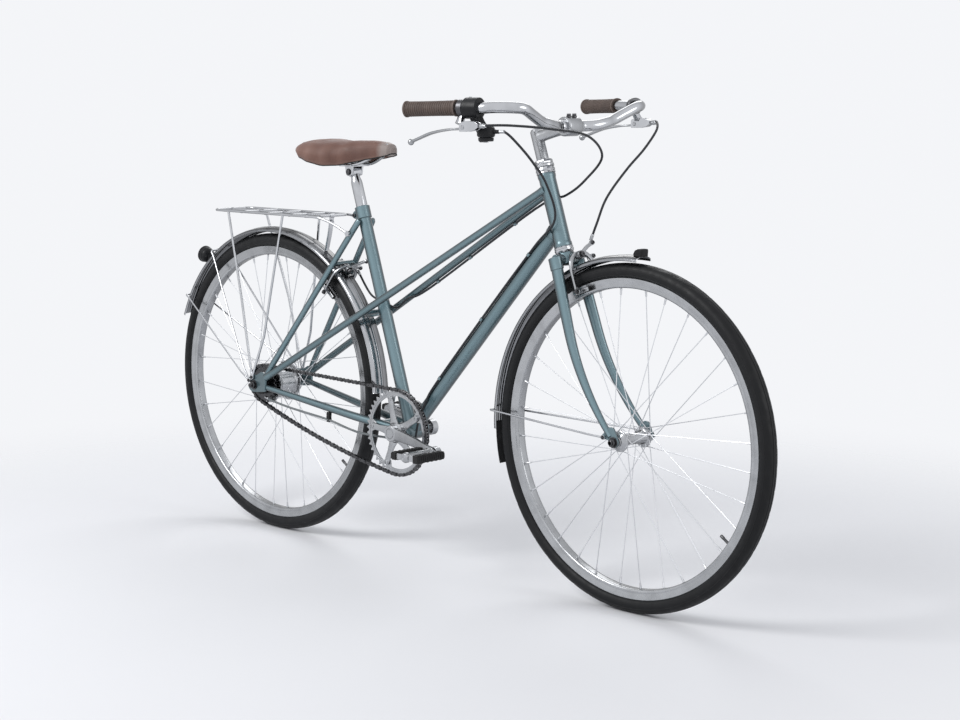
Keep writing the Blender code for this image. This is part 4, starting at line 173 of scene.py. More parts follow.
# Directions and main points
X, Y, Z = Vector((1, 0, 0)), Vector((0, 1, 0)), Vector((0, 0, 1))
SIDES = (-1, 1)
NAMES = {-1: "right", 1: "left"}
FRONT_AXLE = Vector((WHEELBASE / 2, 0, TYRE_RADIUS))
REAR_AXLE = Vector((-WHEELBASE / 2, 0, TYRE_RADIUS))
STAY_RUN = sqrt(CHAIN_STAY_LENGTH ** 2 - BOTTOM_BRACKET_DROP ** 2)
BRACKET = REAR_AXLE + Vector((STAY_RUN, 0, -BOTTOM_BRACKET_DROP))
SEAT_UP = Vector((-cos(SEAT_ANGLE), 0, sin(SEAT_ANGLE)))
SEAT_BACK = Vector((-sin(SEAT_ANGLE), 0, -cos(SEAT_ANGLE)))
HEAD_UP = Vector((-cos(HEAD_ANGLE), 0, sin(HEAD_ANGLE)))
HEAD_FORWARD = Vector((sin(HEAD_ANGLE), 0, cos(HEAD_ANGLE)))
HEAD_BASE = FRONT_AXLE - HEAD_FORWARD * FORK_OFFSET + HEAD_UP * HEAD_BASE_TO_AXLE


def mm(*numbers, width=2):
    """Pairs, or wider rows, of metres from a run of millimetres."""
    return [tuple(n / 1000 for n in numbers[k:k + width]) for k in range(0, len(numbers), width)]


def spots(*numbers):
    """Points from a run of millimetres."""
    return [Vector(row) for row in mm(*numbers, width=3)]


def spot(x, y, z):
    """One point from millimetres."""
    return spots(x, y, z)[0]


def mirrored(place, side):
    return Vector((place.x, abs(place.y) * side, place.z))


def limits(near, far, side):
    """Two distances from the middle plane as a low and a high Y, for one side."""
    return sorted((near * side, far * side))


def clamped(value):
    return min(1.0, max(0.0, value))


def head_point(height, forward=0.0, across=0.0):
    return HEAD_BASE + HEAD_UP * height + HEAD_FORWARD * forward + Y * across


def seat_point(height):
    return BRACKET + SEAT_UP * height


def round_wheel(axle, radius, angle, across=0.0):
    """A point at a radius and an angle round an axle."""
    return axle + Vector((radius * cos(angle), across, radius * sin(angle)))


# Camera, light and floor

LAMP_TARGET = (0, 0, 0.4)
BACKGROUND = (0.905, 0.915, 0.940)
SKY_COLOUR = (0.93, 0.95, 1.0)
FLOOR_COLOUR = (0.86, 0.865, 0.885)
FLOOR_RINGS = (0.4, 0.8, 1.2, 1.6, 2.0, 2.5, 3.0, 4.0, 6.0)
FLOOR_CORNERS = 48
FLOOR_DROP = 0.0006
FADE_START, FADE_END = 0.9, 2.2


def aimed(name, data, place, target):
    """An object of the scene that looks at a target."""
    item = bpy.data.objects.new(name, data)
    item.location = place
    item.rotation_mode = 'QUATERNION'
    item.rotation_quaternion = (Vector(target) - Vector(place)).to_track_quat('-Z', 'Y')
    bpy.context.scene.collection.objects.link(item)
    return item


def make_camera():
    data = bpy.data.cameras.new("camera")
    data.lens = CAMERA_LENS
    data.sensor_width = 36
    bpy.context.scene.camera = aimed("camera", data, CAMERA_PLACE, CAMERA_TARGET)


def make_lamp(name, place, size, power):
    data = bpy.data.lights.new(name, 'AREA')
    data.shape = 'DISK'
    data.size = size
    data.energy = power
    aimed(name, data, place, LAMP_TARGET)


class Nodes:
    """Short calls for the nodes of a world or a material."""

    def __init__(self, owner):
        owner.use_nodes = True
        self.nodes = owner.node_tree.nodes
        self.links = owner.node_tree.links

    def new(self, kind):
        return self.nodes.new("ShaderNode" + kind)

    def fed(self, node, given, output=0):
        """Sets or links the sockets that are given, and hands back one output."""
        node = self.new(node) if isinstance(node, str) else node
        for socket, value in given.items():
            if isinstance(value, bpy.types.NodeSocket):
                self.links.new(value, node.inputs[socket])
            else:
                node.inputs[socket].default_value = value
        return node.outputs[output] if node.outputs else None


def make_world():
    """A soft sky for the object, and the plain background for what looks straight at it."""
    world = bpy.data.worlds.new("studio")
    bpy.context.scene.world = world
    tree = Nodes(world)
    tree.nodes.clear()
    path = tree.new("LightPath").outputs
    seen = path["Is Camera Ray"]
    for other in ("Is Glossy Ray", "Is Transmission Ray"):
        either = tree.new("Math")
        either.operation = 'MAXIMUM'
        seen = tree.fed(either, {0: seen, 1: path[other]})
    sky = tree.fed("Background", {"Color": (*SKY_COLOUR, 1), "Strength": 0.50})
    plain = tree.fed("Background", {"Color": (*BACKGROUND, 1), "Strength": 1.0})
    tree.fed("OutputWorld", {"Surface": tree.fed("MixShader", {0: seen, 1: sky, 2: plain})})


def make_floor():
    """A pale floor that fades into the background away from the wheels."""
    mesh = bpy.data.meshes.new("floor")
    count = FLOOR_CORNERS
    turns = [2 * pi * k / count for k in range(count)]
    corners = [(reach * cos(turn), reach * sin(turn), -FLOOR_DROP) for reach in FLOOR_RINGS for turn in turns]
    faces = [tuple(range(count))]
    for near in range(0, count * (len(FLOOR_RINGS) - 1), count):
        far = near + count
        faces += [(near + k, near + (k + 1) % count, far + (k + 1) % count, far + k) for k in range(count)]
    mesh.from_pydata(corners, [], faces)
    floor = bpy.data.objects.new("floor", mesh)
    bpy.context.scene.collection.objects.link(floor)
    material = bpy.data.materials.new("floor")
    tree = Nodes(material)
    tree.nodes.clear()
    length = tree.new("VectorMath")
    length.operation = 'LENGTH'
    far = tree.fed(length, {0: tree.new("TexCoord").outputs["Object"]}, "Value")
    fade = tree.new("MapRange")
    fade.interpolation_type = 'SMOOTHSTEP'
    share = tree.fed(fade, {"From Min": FADE_START, "From Max": FADE_END, "Value": far}, "Result")
    matt = tree.fed("BsdfDiffuse", {"Color": (*FLOOR_COLOUR, 1)})
    clear = tree.fed("BsdfTransparent", {})
    tree.fed("OutputMaterial", {"Surface": tree.fed("MixShader", {0: share, 1: matt, 2: clear})})
    mesh.materials.append(material)


make_camera()
make_world()
make_floor()
make_lamp("key", (-0.9, -2.9, 3.0), 2.0, 85)
make_lamp("fill", (3.4, 0.6, 1.6), 2.0, 18)
make_lamp("back", (-1.6, 2.4, 2.8), 2.2, 35)
bpy.context.scene.view_settings.view_transform = 'Standard'

# Materials

class Look(Nodes):
    """A Principled material, with short calls for the nodes that vary it."""

    def __init__(self, name, roughness, metallic=0.0, **constants):
        self.material = bpy.data.materials.new(name)
        super().__init__(self.material)
        self.surface = self.nodes["Principled BSDF"]
        for socket, value in {"Metallic": metallic, "Roughness": roughness, **constants}.items():
            self.surface.inputs[socket.replace("_", " ")].default_value = value
        self.place = self.new("TexCoord").outputs["Object"]
        self.normal = None

    def stretched(self, scale):
        return self.fed("Mapping", {"Scale": scale, "Vector": self.place}, "Vector")

    def noise(self, scale, detail=3.0, place=None):
        return self.fed("TexNoise", {"Scale": scale, "Detail": detail, "Vector": place or self.place}, "Fac")

    def cells(self, scale, feature='F1', output="Distance"):
        node = self.new("TexVoronoi")
        node.feature = feature
        return self.fed(node, {"Scale": scale, "Vector": self.place}, output)

    def span(self, source, low, high, to_low=0.0, to_high=1.0):
        ends = {"From Min": low, "From Max": high, "To Min": to_low, "To Max": to_high}
        return self.fed("MapRange", {**ends, "Value": source}, "Result")

    def edges(self, low=0.52, high=0.62):
        """High where the surface turns over an edge."""
        return self.span(self.new("NewGeometry").outputs["Pointiness"], low, high)

    def facing(self, low, high, least=0.0):
        """High where the surface turns away to its outline."""
        return self.span(self.new("LayerWeight").outputs["Facing"], low, high, least)

    def mixed(self, share, first, second):
        node = self.new("Mix")
        node.data_type = 'RGBA'
        ends = [(*end, 1) if isinstance(end, tuple) else end for end in (first, second)]
        return self.fed(node, {"Factor": share, 6: ends[0], 7: ends[1]}, 2)

    def coloured(self, colour):
        self.links.new(colour, self.surface.inputs["Base Color"])

    def rough(self, scale, low, high, detail=4, top=0.7):
        share = self.span(self.noise(scale, detail), 0.3, top, low, high)
        self.links.new(share, self.surface.inputs["Roughness"])

    def bumped(self, height, strength, depth):
        given = {"Strength": strength, "Distance": depth, "Height": height}
        if self.normal:
            given["Normal"] = self.normal
        self.normal = self.fed("Bump", given, "Normal")
        self.links.new(self.normal, self.surface.inputs["Normal"])
        return self


def times(colour, factor):
    return tuple(part * factor for part in colour)


def paint_look():
    """Blue-grey enamel: fine metal flakes, a little dust, paler worn edges and a clear coat, with a painted
    highlight down the middle of each tube as seen and painted shade along its outline.
    """
    look = Look("frame_paint", 0.30, 0.40, Coat_Weight=0.7, Coat_Roughness=0.05)
    base = look.mixed(look.noise(6), (0.100, 0.172, 0.196), (0.118, 0.194, 0.218))
    flakes = look.span(look.cells(600, output="Color"), 0.2, 0.9)
    glint = look.mixed(flakes, base, (0.118, 0.194, 0.220))
    dust = look.span(look.noise(38, 5), 0.60, 0.80, 0.0, 0.14)
    dusty = look.mixed(dust, glint, (0.200, 0.250, 0.265))
    worn = look.mixed(look.edges(), dusty, (0.240, 0.320, 0.345))
    # Painted highlight: the colour turns paler where the surface faces the view, down the middle of each
    # tube.
    centre = look.mixed(look.facing(0.07, 0.42, 0.15), (0.190, 0.292, 0.326), worn)
    # Painted shade: the colour darkens towards the outline, where the surface turns from the view.
    look.coloured(look.mixed(look.facing(0.20, 0.56), centre, (0.012, 0.026, 0.033)))
    look.rough(24, 0.25, 0.36)
    return look.bumped(look.noise(160, 2), 0.03, 0.0002)


def metal_look(name, colour, roughness, spread, scratch, outline=0.16, turn=0.28):
    """Bare or plated metal with a little tarnish, brighter edges and fine scratches, and painted shade that
    darkens it towards its outline as seen; outline is the share of colour kept there, turn where that
    darkening starts.
    """
    look = Look(name, roughness, 1.0)
    bright = tuple(min(part, 0.95) for part in times(colour, 1.15))
    base = look.mixed(look.span(look.noise(30, 5), 0.42, 0.75), colour, times(colour, 0.78))
    worn = look.mixed(look.edges(), base, bright)
    # Painted shade and dark reflection: the colour falls to a share of itself towards the outline, where the
    # surface turns from the view.
    look.coloured(look.mixed(look.facing(turn, turn + 0.56), worn, times(colour, outline)))
    look.rough(90, roughness - spread, roughness + spread, top=0.72)
    fine = look.noise(scratch, 3, look.stretched((1.0, 1.0, 4.0)))
    return look.bumped(fine, 0.05, 0.0001)


def rubber_look(name, colour, dust, scale, roughness):
    """Matt rubber or plastic with a fine grain, scuffed edges and pale dust in places."""
    look = Look(name, roughness, 0.0, Specular_IOR_Level=0.26)
    share = look.span(look.noise(46, 5), 0.50, 0.76, 0.0, 0.5)
    look.coloured(look.mixed(look.edges(), look.mixed(share, colour, dust), times(dust, 1.5)))
    look.rough(60, roughness - 0.10, roughness + 0.08)
    look.bumped(look.cells(scale), 0.16, 0.0003)
    return look.bumped(look.noise(scale * 2.2), 0.12, 0.0002)


def leather_look():
    """Brown leather: pebbled grain and soft creases, paler where it is worn at its edges, and a painted
    highlight of pale grey on the nose.
    """
    look = Look("brown_leather", 0.50, 0.0, Specular_IOR_Level=0.42)
    share = look.span(look.noise(14, 5), 0.35, 0.7)
    tone = look.mixed(share, (0.185, 0.090, 0.066), (0.120, 0.056, 0.042))
    pores = look.span(look.cells(900, 'DISTANCE_TO_EDGE'), 0.0, 0.12)
    grained = look.mixed(pores, (0.095, 0.048, 0.037), tone)
    worn = look.mixed(look.edges(0.51, 0.58), grained, (0.300, 0.180, 0.145))
    nose = seat_point(SEATPOST_HEAD).x - SADDLE_REAR + SADDLE_LENGTH
    forward = look.fed("SeparateXYZ", {"Vector": look.place}, "X")
    # Painted highlight: the colour is blended to a pale grey over the last few centimetres of the nose, as a
    # sheen of light on it.
    painted_nose_sheen = look.span(forward, nose - 0.036, nose - 0.018, 0.0, 0.75)
    look.coloured(look.mixed(painted_nose_sheen, worn, (0.335, 0.300, 0.282)))
    look.rough(34, 0.42, 0.60)
    look.bumped(pores, 0.30, 0.0003)
    return look.bumped(look.noise(60, 5), 0.18, 0.0010)


def grip_look():
    """Worn brown grip rubber with a stippled skin."""
    look = Look("brown_grip", 0.66)
    share = look.span(look.noise(40, 5), 0.35, 0.7)
    tone = look.mixed(share, (0.090, 0.062, 0.050), (0.056, 0.038, 0.031))
    look.coloured(look.mixed(look.edges(), tone, (0.190, 0.145, 0.125)))
    look.rough(50, 0.58, 0.74)
    return look.bumped(look.cells(700), 0.25, 0.0004)


def lens_look():
    """Red plastic with the small prisms of a reflector."""
    look = Look("red_lens", 0.16, 0.0, Coat_Weight=0.6, Coat_Roughness=0.05)
    look.coloured(look.mixed(look.cells(420), (0.42, 0.020, 0.018), (0.22, 0.010, 0.012)))
    look.rough(80, 0.12, 0.22, 3)
    return look.bumped(look.cells(420), 0.4, 0.0006)


# Metals: colour, roughness, spread, scratch scale, then where given the share of colour kept at the outline
# and where that painted shade starts.
METALS = {
    "chrome": ((0.56, 0.57, 0.59), 0.14, 0.05, 160),
    "alloy": ((0.44, 0.45, 0.465), 0.26, 0.08, 260),
    # The fender's outline darkens furthest and widest: a painted dark reflection along its near side.
    "fender_metal": ((0.50, 0.51, 0.53), 0.16, 0.05, 160, 0.03, 0.10),
    "spoke_steel": ((0.66, 0.67, 0.69), 0.44, 0.08, 220, 0.6),
    "steel": ((0.095, 0.095, 0.10), 0.34, 0.08, 220),
}
RUBBERS = {
    "tyre": ((0.0045, 0.005, 0.006), (0.012, 0.012, 0.013), 900, 0.52),
    "black_plastic": ((0.006, 0.0065, 0.008), (0.014, 0.0145, 0.016), 1400, 0.42),
    "black_rubber": ((0.008, 0.008, 0.009), (0.020, 0.020, 0.020), 1100, 0.70),
    "cable_jacket": ((0.024, 0.026, 0.030), (0.042, 0.044, 0.048), 1600, 0.40),
    "grey_jacket": ((0.155, 0.170, 0.176), (0.215, 0.228, 0.235), 1600, 0.36),
}
LOOKS = {"frame_paint": paint_look(), "brown_leather": leather_look(), "brown_grip": grip_look(),
         "red_lens": lens_look()}
LOOKS.update({name: metal_look(name, *values) for name, values in METALS.items()})
LOOKS.update({name: rubber_look(name, *values) for name, values in RUBBERS.items()})


# Shape building

def smooth(points, steps):
    """A rounded curve through the route's own points."""
    curve = []
    for index in range(len(points) - 1):
        before = points[max(index - 1, 0)]
        here, after = points[index], points[index + 1]
        beyond = points[min(index + 2, len(points) - 1)]
        for step in range(steps):
            t = step / steps
            curve.append(
                here + (after - before) * (0.5 * t)
                + (before * 2 - here * 5 + after * 4 - beyond) * (0.5 * t ** 2)
                + (here * 3 - before - after * 3 + beyond) * (0.5 * t ** 3)
            )
    return curve + [points[-1]]


def eased(steps, *values):
    """Metres from millimetres, eased in the same steps as a smoothed route."""
    return [place.x for place in smooth([Vector((value / 1000, 0)) for value in values], steps)]


def tangents(route, closed=False):
    found = []
    last = len(route) - 1
    for index in range(len(route)):
        before = route[index - 1] if index or closed else route[index]
        after = route[(index + 1) % len(route)] if index < last or closed else route[index]
        found.append((after - before).normalized())
    return found


def ring(centre, axis, radius, count, start=None, flat=1.0):
    """Corners of a circle; flat shrinks it across its start direction."""
    axis = axis.normalized()
    if start is None:
        start = X if abs(axis.y) > 0.9 else Y
    first = (start - axis * start.dot(axis)).normalized()
    second = axis.cross(first) * flat
    turns = [2 * pi / count * k for k in range(count)]
    return [centre + first * radius * cos(turn) + second * radius * sin(turn) for turn in turns]


def rounded_bar(half_width, half_depth, corner):
    """Corners of a bar's section with rounded edges, as (width, depth) pairs."""
    section = []
    for quarter, (a, b) in enumerate(((1, 1), (-1, 1), (-1, -1), (1, -1))):
        for turn in range(90 * quarter, 90 * quarter + 91, 30):
            section.append((a * (half_width - corner) + corner * cos(radians(turn)),
                            b * (half_depth - corner) + corner * sin(radians(turn))))
    return section


def reflected(profile):
    """The other half of an even profile, read back from its end."""
    return [(radius, -along) for radius, along in reversed(profile)]


def moved(profile, start, sign=1):
    """A profile set off from a start along its axis, or back from it."""
    return [(radius, start + along * sign) for radius, along in profile]


def listed(value, count):
    return value if isinstance(value, (list, tuple)) else [value] * count


class Form:
    """Gathers the corners and faces of one piece from simple swept shapes."""

    def __init__(self):
        self.corners = []
        self.faces = []

    def loft(self, rings, closed=False):
        """A skin from ring to ring, capped at both ends unless it closes on itself."""
        count = len(rings[0])
        base = len(self.corners)
        self.corners += [corner for one in rings for corner in one]
        for step in range(len(rings) if closed else len(rings) - 1):
            near = base + step * count
            far = base + ((step + 1) % len(rings)) * count
            for k in range(count):
                after = (k + 1) % count
                self.faces.append((near + k, near + after, far + after, far + k))
        if not closed:
            last = base + (len(rings) - 1) * count
            self.faces.append(tuple(reversed(range(base, base + count))))
            self.faces.append(tuple(range(last, last + count)))
        return self

    def lathe(self, profile, centre, axis=Y, count=48, closed=False, start=None):
        """Turns (radius, distance along the axis) points round the axis."""
        axis = axis.normalized()
        return self.loft([ring(centre + axis * a, axis, r, count, start) for r, a in profile], closed)

    def tube(self, route, radii, count=16, closed=False, start=None):
        """A round bar along a route, its rings carried along without twisting."""
        headings = tangents(route, closed)
        first = start or (X if abs(headings[0].y) > 0.9 else Y)
        rings = []
        for place, heading, radius in zip(route, headings, listed(radii, len(route))):
            first = start or first
            first = (first - heading * first.dot(heading)).normalized()
            rings.append(ring(place, heading, radius, count, first))
        return self.loft(rings, closed)

    def rod(self, start, end, radius, count=24, edge=0.0004):
        """A round bar with eased ends."""
        length = (end - start).length
        edge = min(edge, radius * 0.4, length * 0.4)
        profile = [(radius - edge, 0), (radius, edge), (radius, length - edge), (radius - edge, length)]
        return self.lathe(profile, start, (end - start).normalized(), count)

    def pin(self, middle, axis, reach, radius, count):
        """A rod that reaches as far on both sides of its middle."""
        return self.rod(middle - axis * reach, middle + axis * reach, radius, count)

    def strip(self, route, width_direction, half_widths, half_depth, corner=0.0008):
        """A flat bar with rounded edges, its width held in one direction."""
        rings = []
        for place, heading, half in zip(route, tangents(route), listed(half_widths, len(route))):
            across = (width_direction - heading * width_direction.dot(heading)).normalized()
            depth = heading.cross(across)
            section = rounded_bar(half, half_depth, min(corner, half * 0.9, half_depth * 0.9))
            rings.append([place + across * a + depth * d for a, d in section])
        return self.loft(rings)

    def slab(self, outline, origin, across, up, normal, low, high):
        """An outline of (across, up) points, pushed out from low to high along the normal."""
        rings = [[origin + across * a + up * b + normal * h for a, b in outline] for h in (low, high)]
        return self.loft(rings)

    def plate(self, outline, origin, low, high):
        """An upright plate: an outline in X and Z, from y = low to y = high."""
        return self.slab(outline, origin, X, Z, Y, low - origin.y, high - origin.y)

    def pierced(self, outline, hole, origin, across, up, half):
        """A plate with one hole, whose outline has as many corners as the plate's."""
        normal = across.cross(up)
        rings = []
        for corners, height in ((outline, -half), (outline, half), (hole, half), (hole, -half)):
            rings.append([origin + across * a + up * b + normal * height for a, b in corners])
        return self.loft(rings, closed=True)

    def bolt(self, foot, axis, radius, height):
        """A hexagon head on a washer, with a chamfered top."""
        self.lathe([(radius * 1.25, 0), (radius * 1.25, height * 0.18)], foot, axis, 24)
        top = [(radius, height * 0.18), (radius, height * 0.85), (radius * 0.86, height)]
        return self.lathe(top, foot, axis, 6)

    def socket_bolt(self, foot, axis, radius, height):
        """A round cap screw with a hexagon socket."""
        shape = ((0.9, 0), (1, 0.15), (1, 0.8), (0.85, 1), (0.5, 1), (0.48, 0.5))
        return self.lathe([(radius * a, height * b) for a, b in shape], foot, axis, 18)

    def made(self, name, body, slot, nodes=(), bevel=0.0, sharp=38):
        """The gathered shape as a piece of the scene, on a body or, with None, on no body yet."""
        mesh = bpy.data.meshes.new(name)
        mesh.from_pydata([tuple(corner) for corner in self.corners], [], self.faces)
        shape = bmesh.new()
        shape.from_mesh(mesh)
        bmesh.ops.recalc_face_normals(shape, faces=shape.faces)
        return finished(shape, mesh, name, body, slot, nodes, bevel, sharp)

    def fine(self, node, bevel=0.0, name=None, slot=None, sharp=38):
        """The made piece in place of one node, with the record's body and slot for it."""
        return self.made(name or "fine_" + node, BODY_OF[node], slot or SLOT_OF[node], [node], bevel, sharp)


DONE = set()


def finished(shape, mesh, name, body, slot, nodes, bevel, sharp):
    """Puts a piece in the scene with its look, its eased edges and its body."""
    shape.to_mesh(mesh)
    shape.free()
    mesh.shade_smooth()
    mesh.set_sharp_from_angle(angle=radians(sharp))
    mesh.materials.append(LOOKS[slot].material)
    item = bpy.data.objects.new(name, mesh)
    bpy.context.scene.collection.objects.link(item)
    if bevel:
        change = item.modifiers.new("eased_edges", 'BEVEL')
        change.width = bevel
        change.segments = 2
        change.limit_method = 'ANGLE'
        change.angle_limit = radians(sharp)
        change.harden_normals = True
    if body:
        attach(item, body)
    if nodes:
        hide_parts(*nodes)
        DONE.update(nodes)
    return item


def refined(node, slot):
    """A cleaned copy of a solid, with round sides shaded smooth and its edges eased."""
    shape = bmesh.new()
    shape.from_mesh(frame["nodes"][node].data)
    bmesh.ops.remove_doubles(shape, verts=shape.verts, dist=0.000005)
    bmesh.ops.dissolve_limit(shape, angle_limit=radians(0.5), verts=shape.verts, edges=shape.edges)
    name = "fine_" + node
    return finished(shape, bpy.data.meshes.new(name), name, BODY_OF[node], slot, [node], 0.0003, 50)


# Wheels

TYRE_SIDE = mm(
    346, 0, 346, 2.2, 345.1, 2.8, 345.1, 3.8, 345.8, 4.4, 345.2, 7, 344.4, 9.5, 343, 11.8, 340.8, 14.2,
    337.6, 16.6, 333.8, 18.1, 330.2, 18.5, 326.2, 18.1, 322.6, 16.8, 320, 15, 318.2, 13, 317.2, 10.8,
    312.5, 10, 310.4, 9)
TREAD_ZONE = range(5, 9)
TREAD_DEPTH = 0.0009
TYRE_STEPS = 288


def make_tyre(prefix, axle):
    """A tyre with two grooves round its crown and slanting grooves cut into its shoulders."""
    profile = [(radius, across, k) for k, (radius, across) in enumerate(TYRE_SIDE)]
    section = profile[::-1] + [(radius, -across, k) for radius, across, k in profile[1:]]
    rings = []
    for step in range(TYRE_STEPS):
        corners = []
        for radius, across, k in section:
            slant = k - 5 if across > 0 else 8 - k
            cut = TREAD_DEPTH if k in TREAD_ZONE and (step + slant) % 6 == 0 else 0
            corners.append(round_wheel(axle, radius - cut, 2 * pi * step / TYRE_STEPS, across))
        rings.append(corners)
    form = Form().loft(rings, closed=True)
    for across, radius in mm(-16.65, 322.5, -17.65, 335.2, 16.65, 322.5, 17.65, 335.2):
        bead = [round_wheel(axle, radius, 2 * pi * k / 96, across) for k in range(96)]
        form.tube(bead, 0.0005, 6, closed=True)
    form.fine(prefix + "_tyre", name=prefix + "_fine_tyre")


def make_rim(prefix, axle):
    """A box rim with brake tracks, a rounded bed, spoke eyes and a valve."""
    half = mm(317, 12, 316.3, 12, 315.5, 11.8, 306, 11.3, 305.2, 11, 303.5, 11.1, 300, 10.8, 298.2, 9.8,
              297.3, 8, 297.2, 4)
    inner = mm(309.8, 6, 310.2, 10, 315.5, 10.2, 316.6, 10.6)
    form = Form().lathe(half + reflected(half) + reflected(inner) + inner, axle, Y, 144, True, X)
    for _, end, _ in spoke_lines(prefix, axle):
        form.lathe(mm(3.4, 0.3, 3.4, -0.4, 2.4, -0.8), end, end - axle, 10)
    form.fine(prefix + "_rim", name=prefix + "_fine_rim")
    foot = round_wheel(axle, RIM_INNER_RADIUS + 0.001, radians(-35))
    valve = mm(4.5, 0, 4.5, 2, 3, 2.4, 2.8, 16, 3.3, 16.5, 3.3, 24, 2.6, 25)
    Form().lathe(valve, foot, axle - foot, 16).made(prefix + "_valve", prefix + "_wheel", "steel")


HUB_SIZES = {"front": (0.021, 0.035), "rear": (0.046, 0.029)}
HUB_HALVES = {
    "front": mm(5.3, 45.5, 9.5, 45.5, 10.4, 44.6, 10.4, 41.5, 12.6, 40.5, 15, 38.5, 19, 36.8, 20.6, 36.4,
                21, 35.9, 21, 34.1, 20.6, 33.6, 17.6, 33, 14, 31.2, 12.2, 27, 11.2, 18, 11, 0),
    "rear": mm(5.3, 34.5, 21.5, 34.5, 22.8, 33.8, 24, 31.8, 34, 31.4, 37.2, 30.8, 44.6, 30.4, 46, 29.9,
               46, 28.1, 44.6, 27.6, 39.4, 26.8, 38.2, 24, 38, 19, 37.2, 18, 37.2, 0),
}


def spoke_lines(prefix, axle):
    """Each spoke's hole in its flange, its eye in the rim, and its side."""
    flange_radius, flange_offset = HUB_SIZES[prefix]
    step = 2 * pi / SPOKES_PER_FLANGE
    lines = []
    for side in SIDES:
        for k in range(SPOKES_PER_FLANGE):
            leads = 1 if k % 2 == 0 else -1
            angle = (k + 0.5) * step
            layer = 0.0015 * leads * side
            foot = round_wheel(axle, flange_radius - 0.0030, angle, flange_offset * side + layer)
            far = angle + step * SPOKE_CROSSINGS * leads + step / 4 * side
            lines.append((foot, round_wheel(axle, RIM_INNER_RADIUS, far, 0.0027 * side + layer), side))
    return lines


def make_hub(prefix, axle):
    """A hub shell, and its crossed spokes with their elbows and nipples."""
    half = HUB_HALVES[prefix]
    shell = Form().lathe(half + reflected(half), axle, Y, 64, True)
    shell.fine(prefix + "_hub", name=prefix + "_fine_hub")
    form = Form()
    for foot, end, side in spoke_lines(prefix, axle):
        heading = (end - foot).normalized()
        through = foot - Y * 0.0012 * side
        form.tube([through, foot + heading * 0.0004, foot + heading * 0.0022, end], SPOKE_RADIUS, 8)
        form.lathe(mm(1.9, -0.4, 2.1, 0, 1.9, 0.5), through, Y, 8)
        form.lathe(mm(1.2, -13.5, 1.9, -13, 1.9, -6, 2.2, -5, 2.2, 0.4), end, heading, 8)
    form.made(prefix + "_spokes", prefix + "_wheel", "spoke_steel")


def make_axle(prefix, axle, width, face, overhang):
    """A threaded axle with its cones inside the dropouts and a washer and nut outside each."""
    reach = face + NUT_HEIGHT + overhang
    form = Form().rod(axle - Y * reach, axle + Y * reach, AXLE_RADIUS - 0.0002, 20, 0.0008)
    for side in SIDES:
        out = Y * side
        foot = axle + out * face
        form.bolt(foot, out, NUT_RADIUS, NUT_HEIGHT)
        cone = mm(7.8, -5.5, 8.2, -5, 8.2, -1, 7.4, -0.3)
        form.lathe(cone, axle + out * (width / 2 - 0.0001), out, 24)
        for turn in range(5):
            at = foot + out * (NUT_HEIGHT + overhang * (turn + 0.5) / 5)
            form.lathe(mm(4.6, -0.3, 5, 0, 4.6, 0.3), at, out, 16)
    form.fine(prefix + "_axle", 0.0002, prefix + "_fine_axle", "steel")


DROPOUT_FACE = DROPOUT_OFFSET + DROPOUT_THICKNESS / 2
FORK_TIP_FACE = BLADE_LOW_SPREAD + FORK_TIP_THICKNESS / 2
for prefix, axle in (("front", FRONT_AXLE), ("rear", REAR_AXLE)):
    make_tyre(prefix, axle)
    make_rim(prefix, axle)
    make_hub(prefix, axle)
make_axle("front", FRONT_AXLE, FRONT_HUB_WIDTH, FORK_TIP_FACE + NUT_CLEARANCE, 0.003)
make_axle("rear", REAR_AXLE, REAR_HUB_WIDTH, DROPOUT_FACE + NUT_CLEARANCE, 0.006)


# Fenders, stays, rack and tail light

FENDER_HALF = mm(-22, -10, -21.9, -7.8, -20.8, -5.2, -17.2, -3.1, -12, -1.4, -6, -0.4, -2.6, -0.2, -1.8, 0.4)
FENDER_SECTION = FENDER_HALF + [(-across, drop) for across, drop in reversed(FENDER_HALF)]
REAR_FENDER_ARC = (radians(2), radians(158))
FRONT_FENDER_ARC = (radians(86), radians(183))


def make_fender(prefix, axle, arc):
    """An arched sheet with a ridge along its crown and wired edges."""
    start, end = arc
    steps = int((end - start) / radians(1.25))
    angles = [start + (end - start) * step / steps for step in range(steps + 1)]
    outer = [(across, FENDER_RADIUS + drop - 0.0004) for across, drop in FENDER_SECTION]
    inner = [(across * 0.950, radius - FENDER_SHEET) for across, radius in reversed(outer)]
    form = Form().loft([
        [round_wheel(axle, radius, angle, across) for across, radius in outer + inner] for angle in angles
    ])
    low = FENDER_RADIUS - FENDER_LIP_DROP
    for side in SIDES:
        across = (FENDER_HALF_WIDTH - 0.0005) * side
        form.tube([round_wheel(axle, low, angle, across) for angle in angles], 0.0010, 8)
    for angle in arc:
        hem = [round_wheel(axle, radius - 0.0006, angle, across * 0.98) for across, radius in outer]
        form.tube(hem, 0.0010, 8)
    form.fine(prefix + "_fender", name=prefix + "_fine_fender", slot="fender_metal")


def wire_stay(form, axle, angle, foot):
    """One wire from its eye at one side, over the fender and down to the other side."""
    half = FENDER_HALF_WIDTH + 0.0030
    rise = FENDER_RADIUS + 0.0030
    drop = FENDER_RADIUS - FENDER_LIP_DROP - 0.004
    side = [(drop, half), (rise - 0.0048, half), (rise - 0.0010, half - 0.0020), (rise, half - 0.0065)]
    right = [round_wheel(axle, radius, angle, -across) for radius, across in side]
    knee = foot.lerp(right[0], 0.10)
    knee.y = foot.y
    right = [foot, knee] + right
    form.tube(right + [mirrored(place, 1) for place in reversed(right)], STAY_WIRE_RADIUS, 12)
    rows = [round_wheel(axle, rise - 0.0004, angle + turn) for turn in (-0.012, 0.012)]
    form.strip(rows, Y, 0.0075, 0.0022)
    form.bolt(round_wheel(axle, rise, angle), rows[0] - axle, 0.0036, 0.0030)


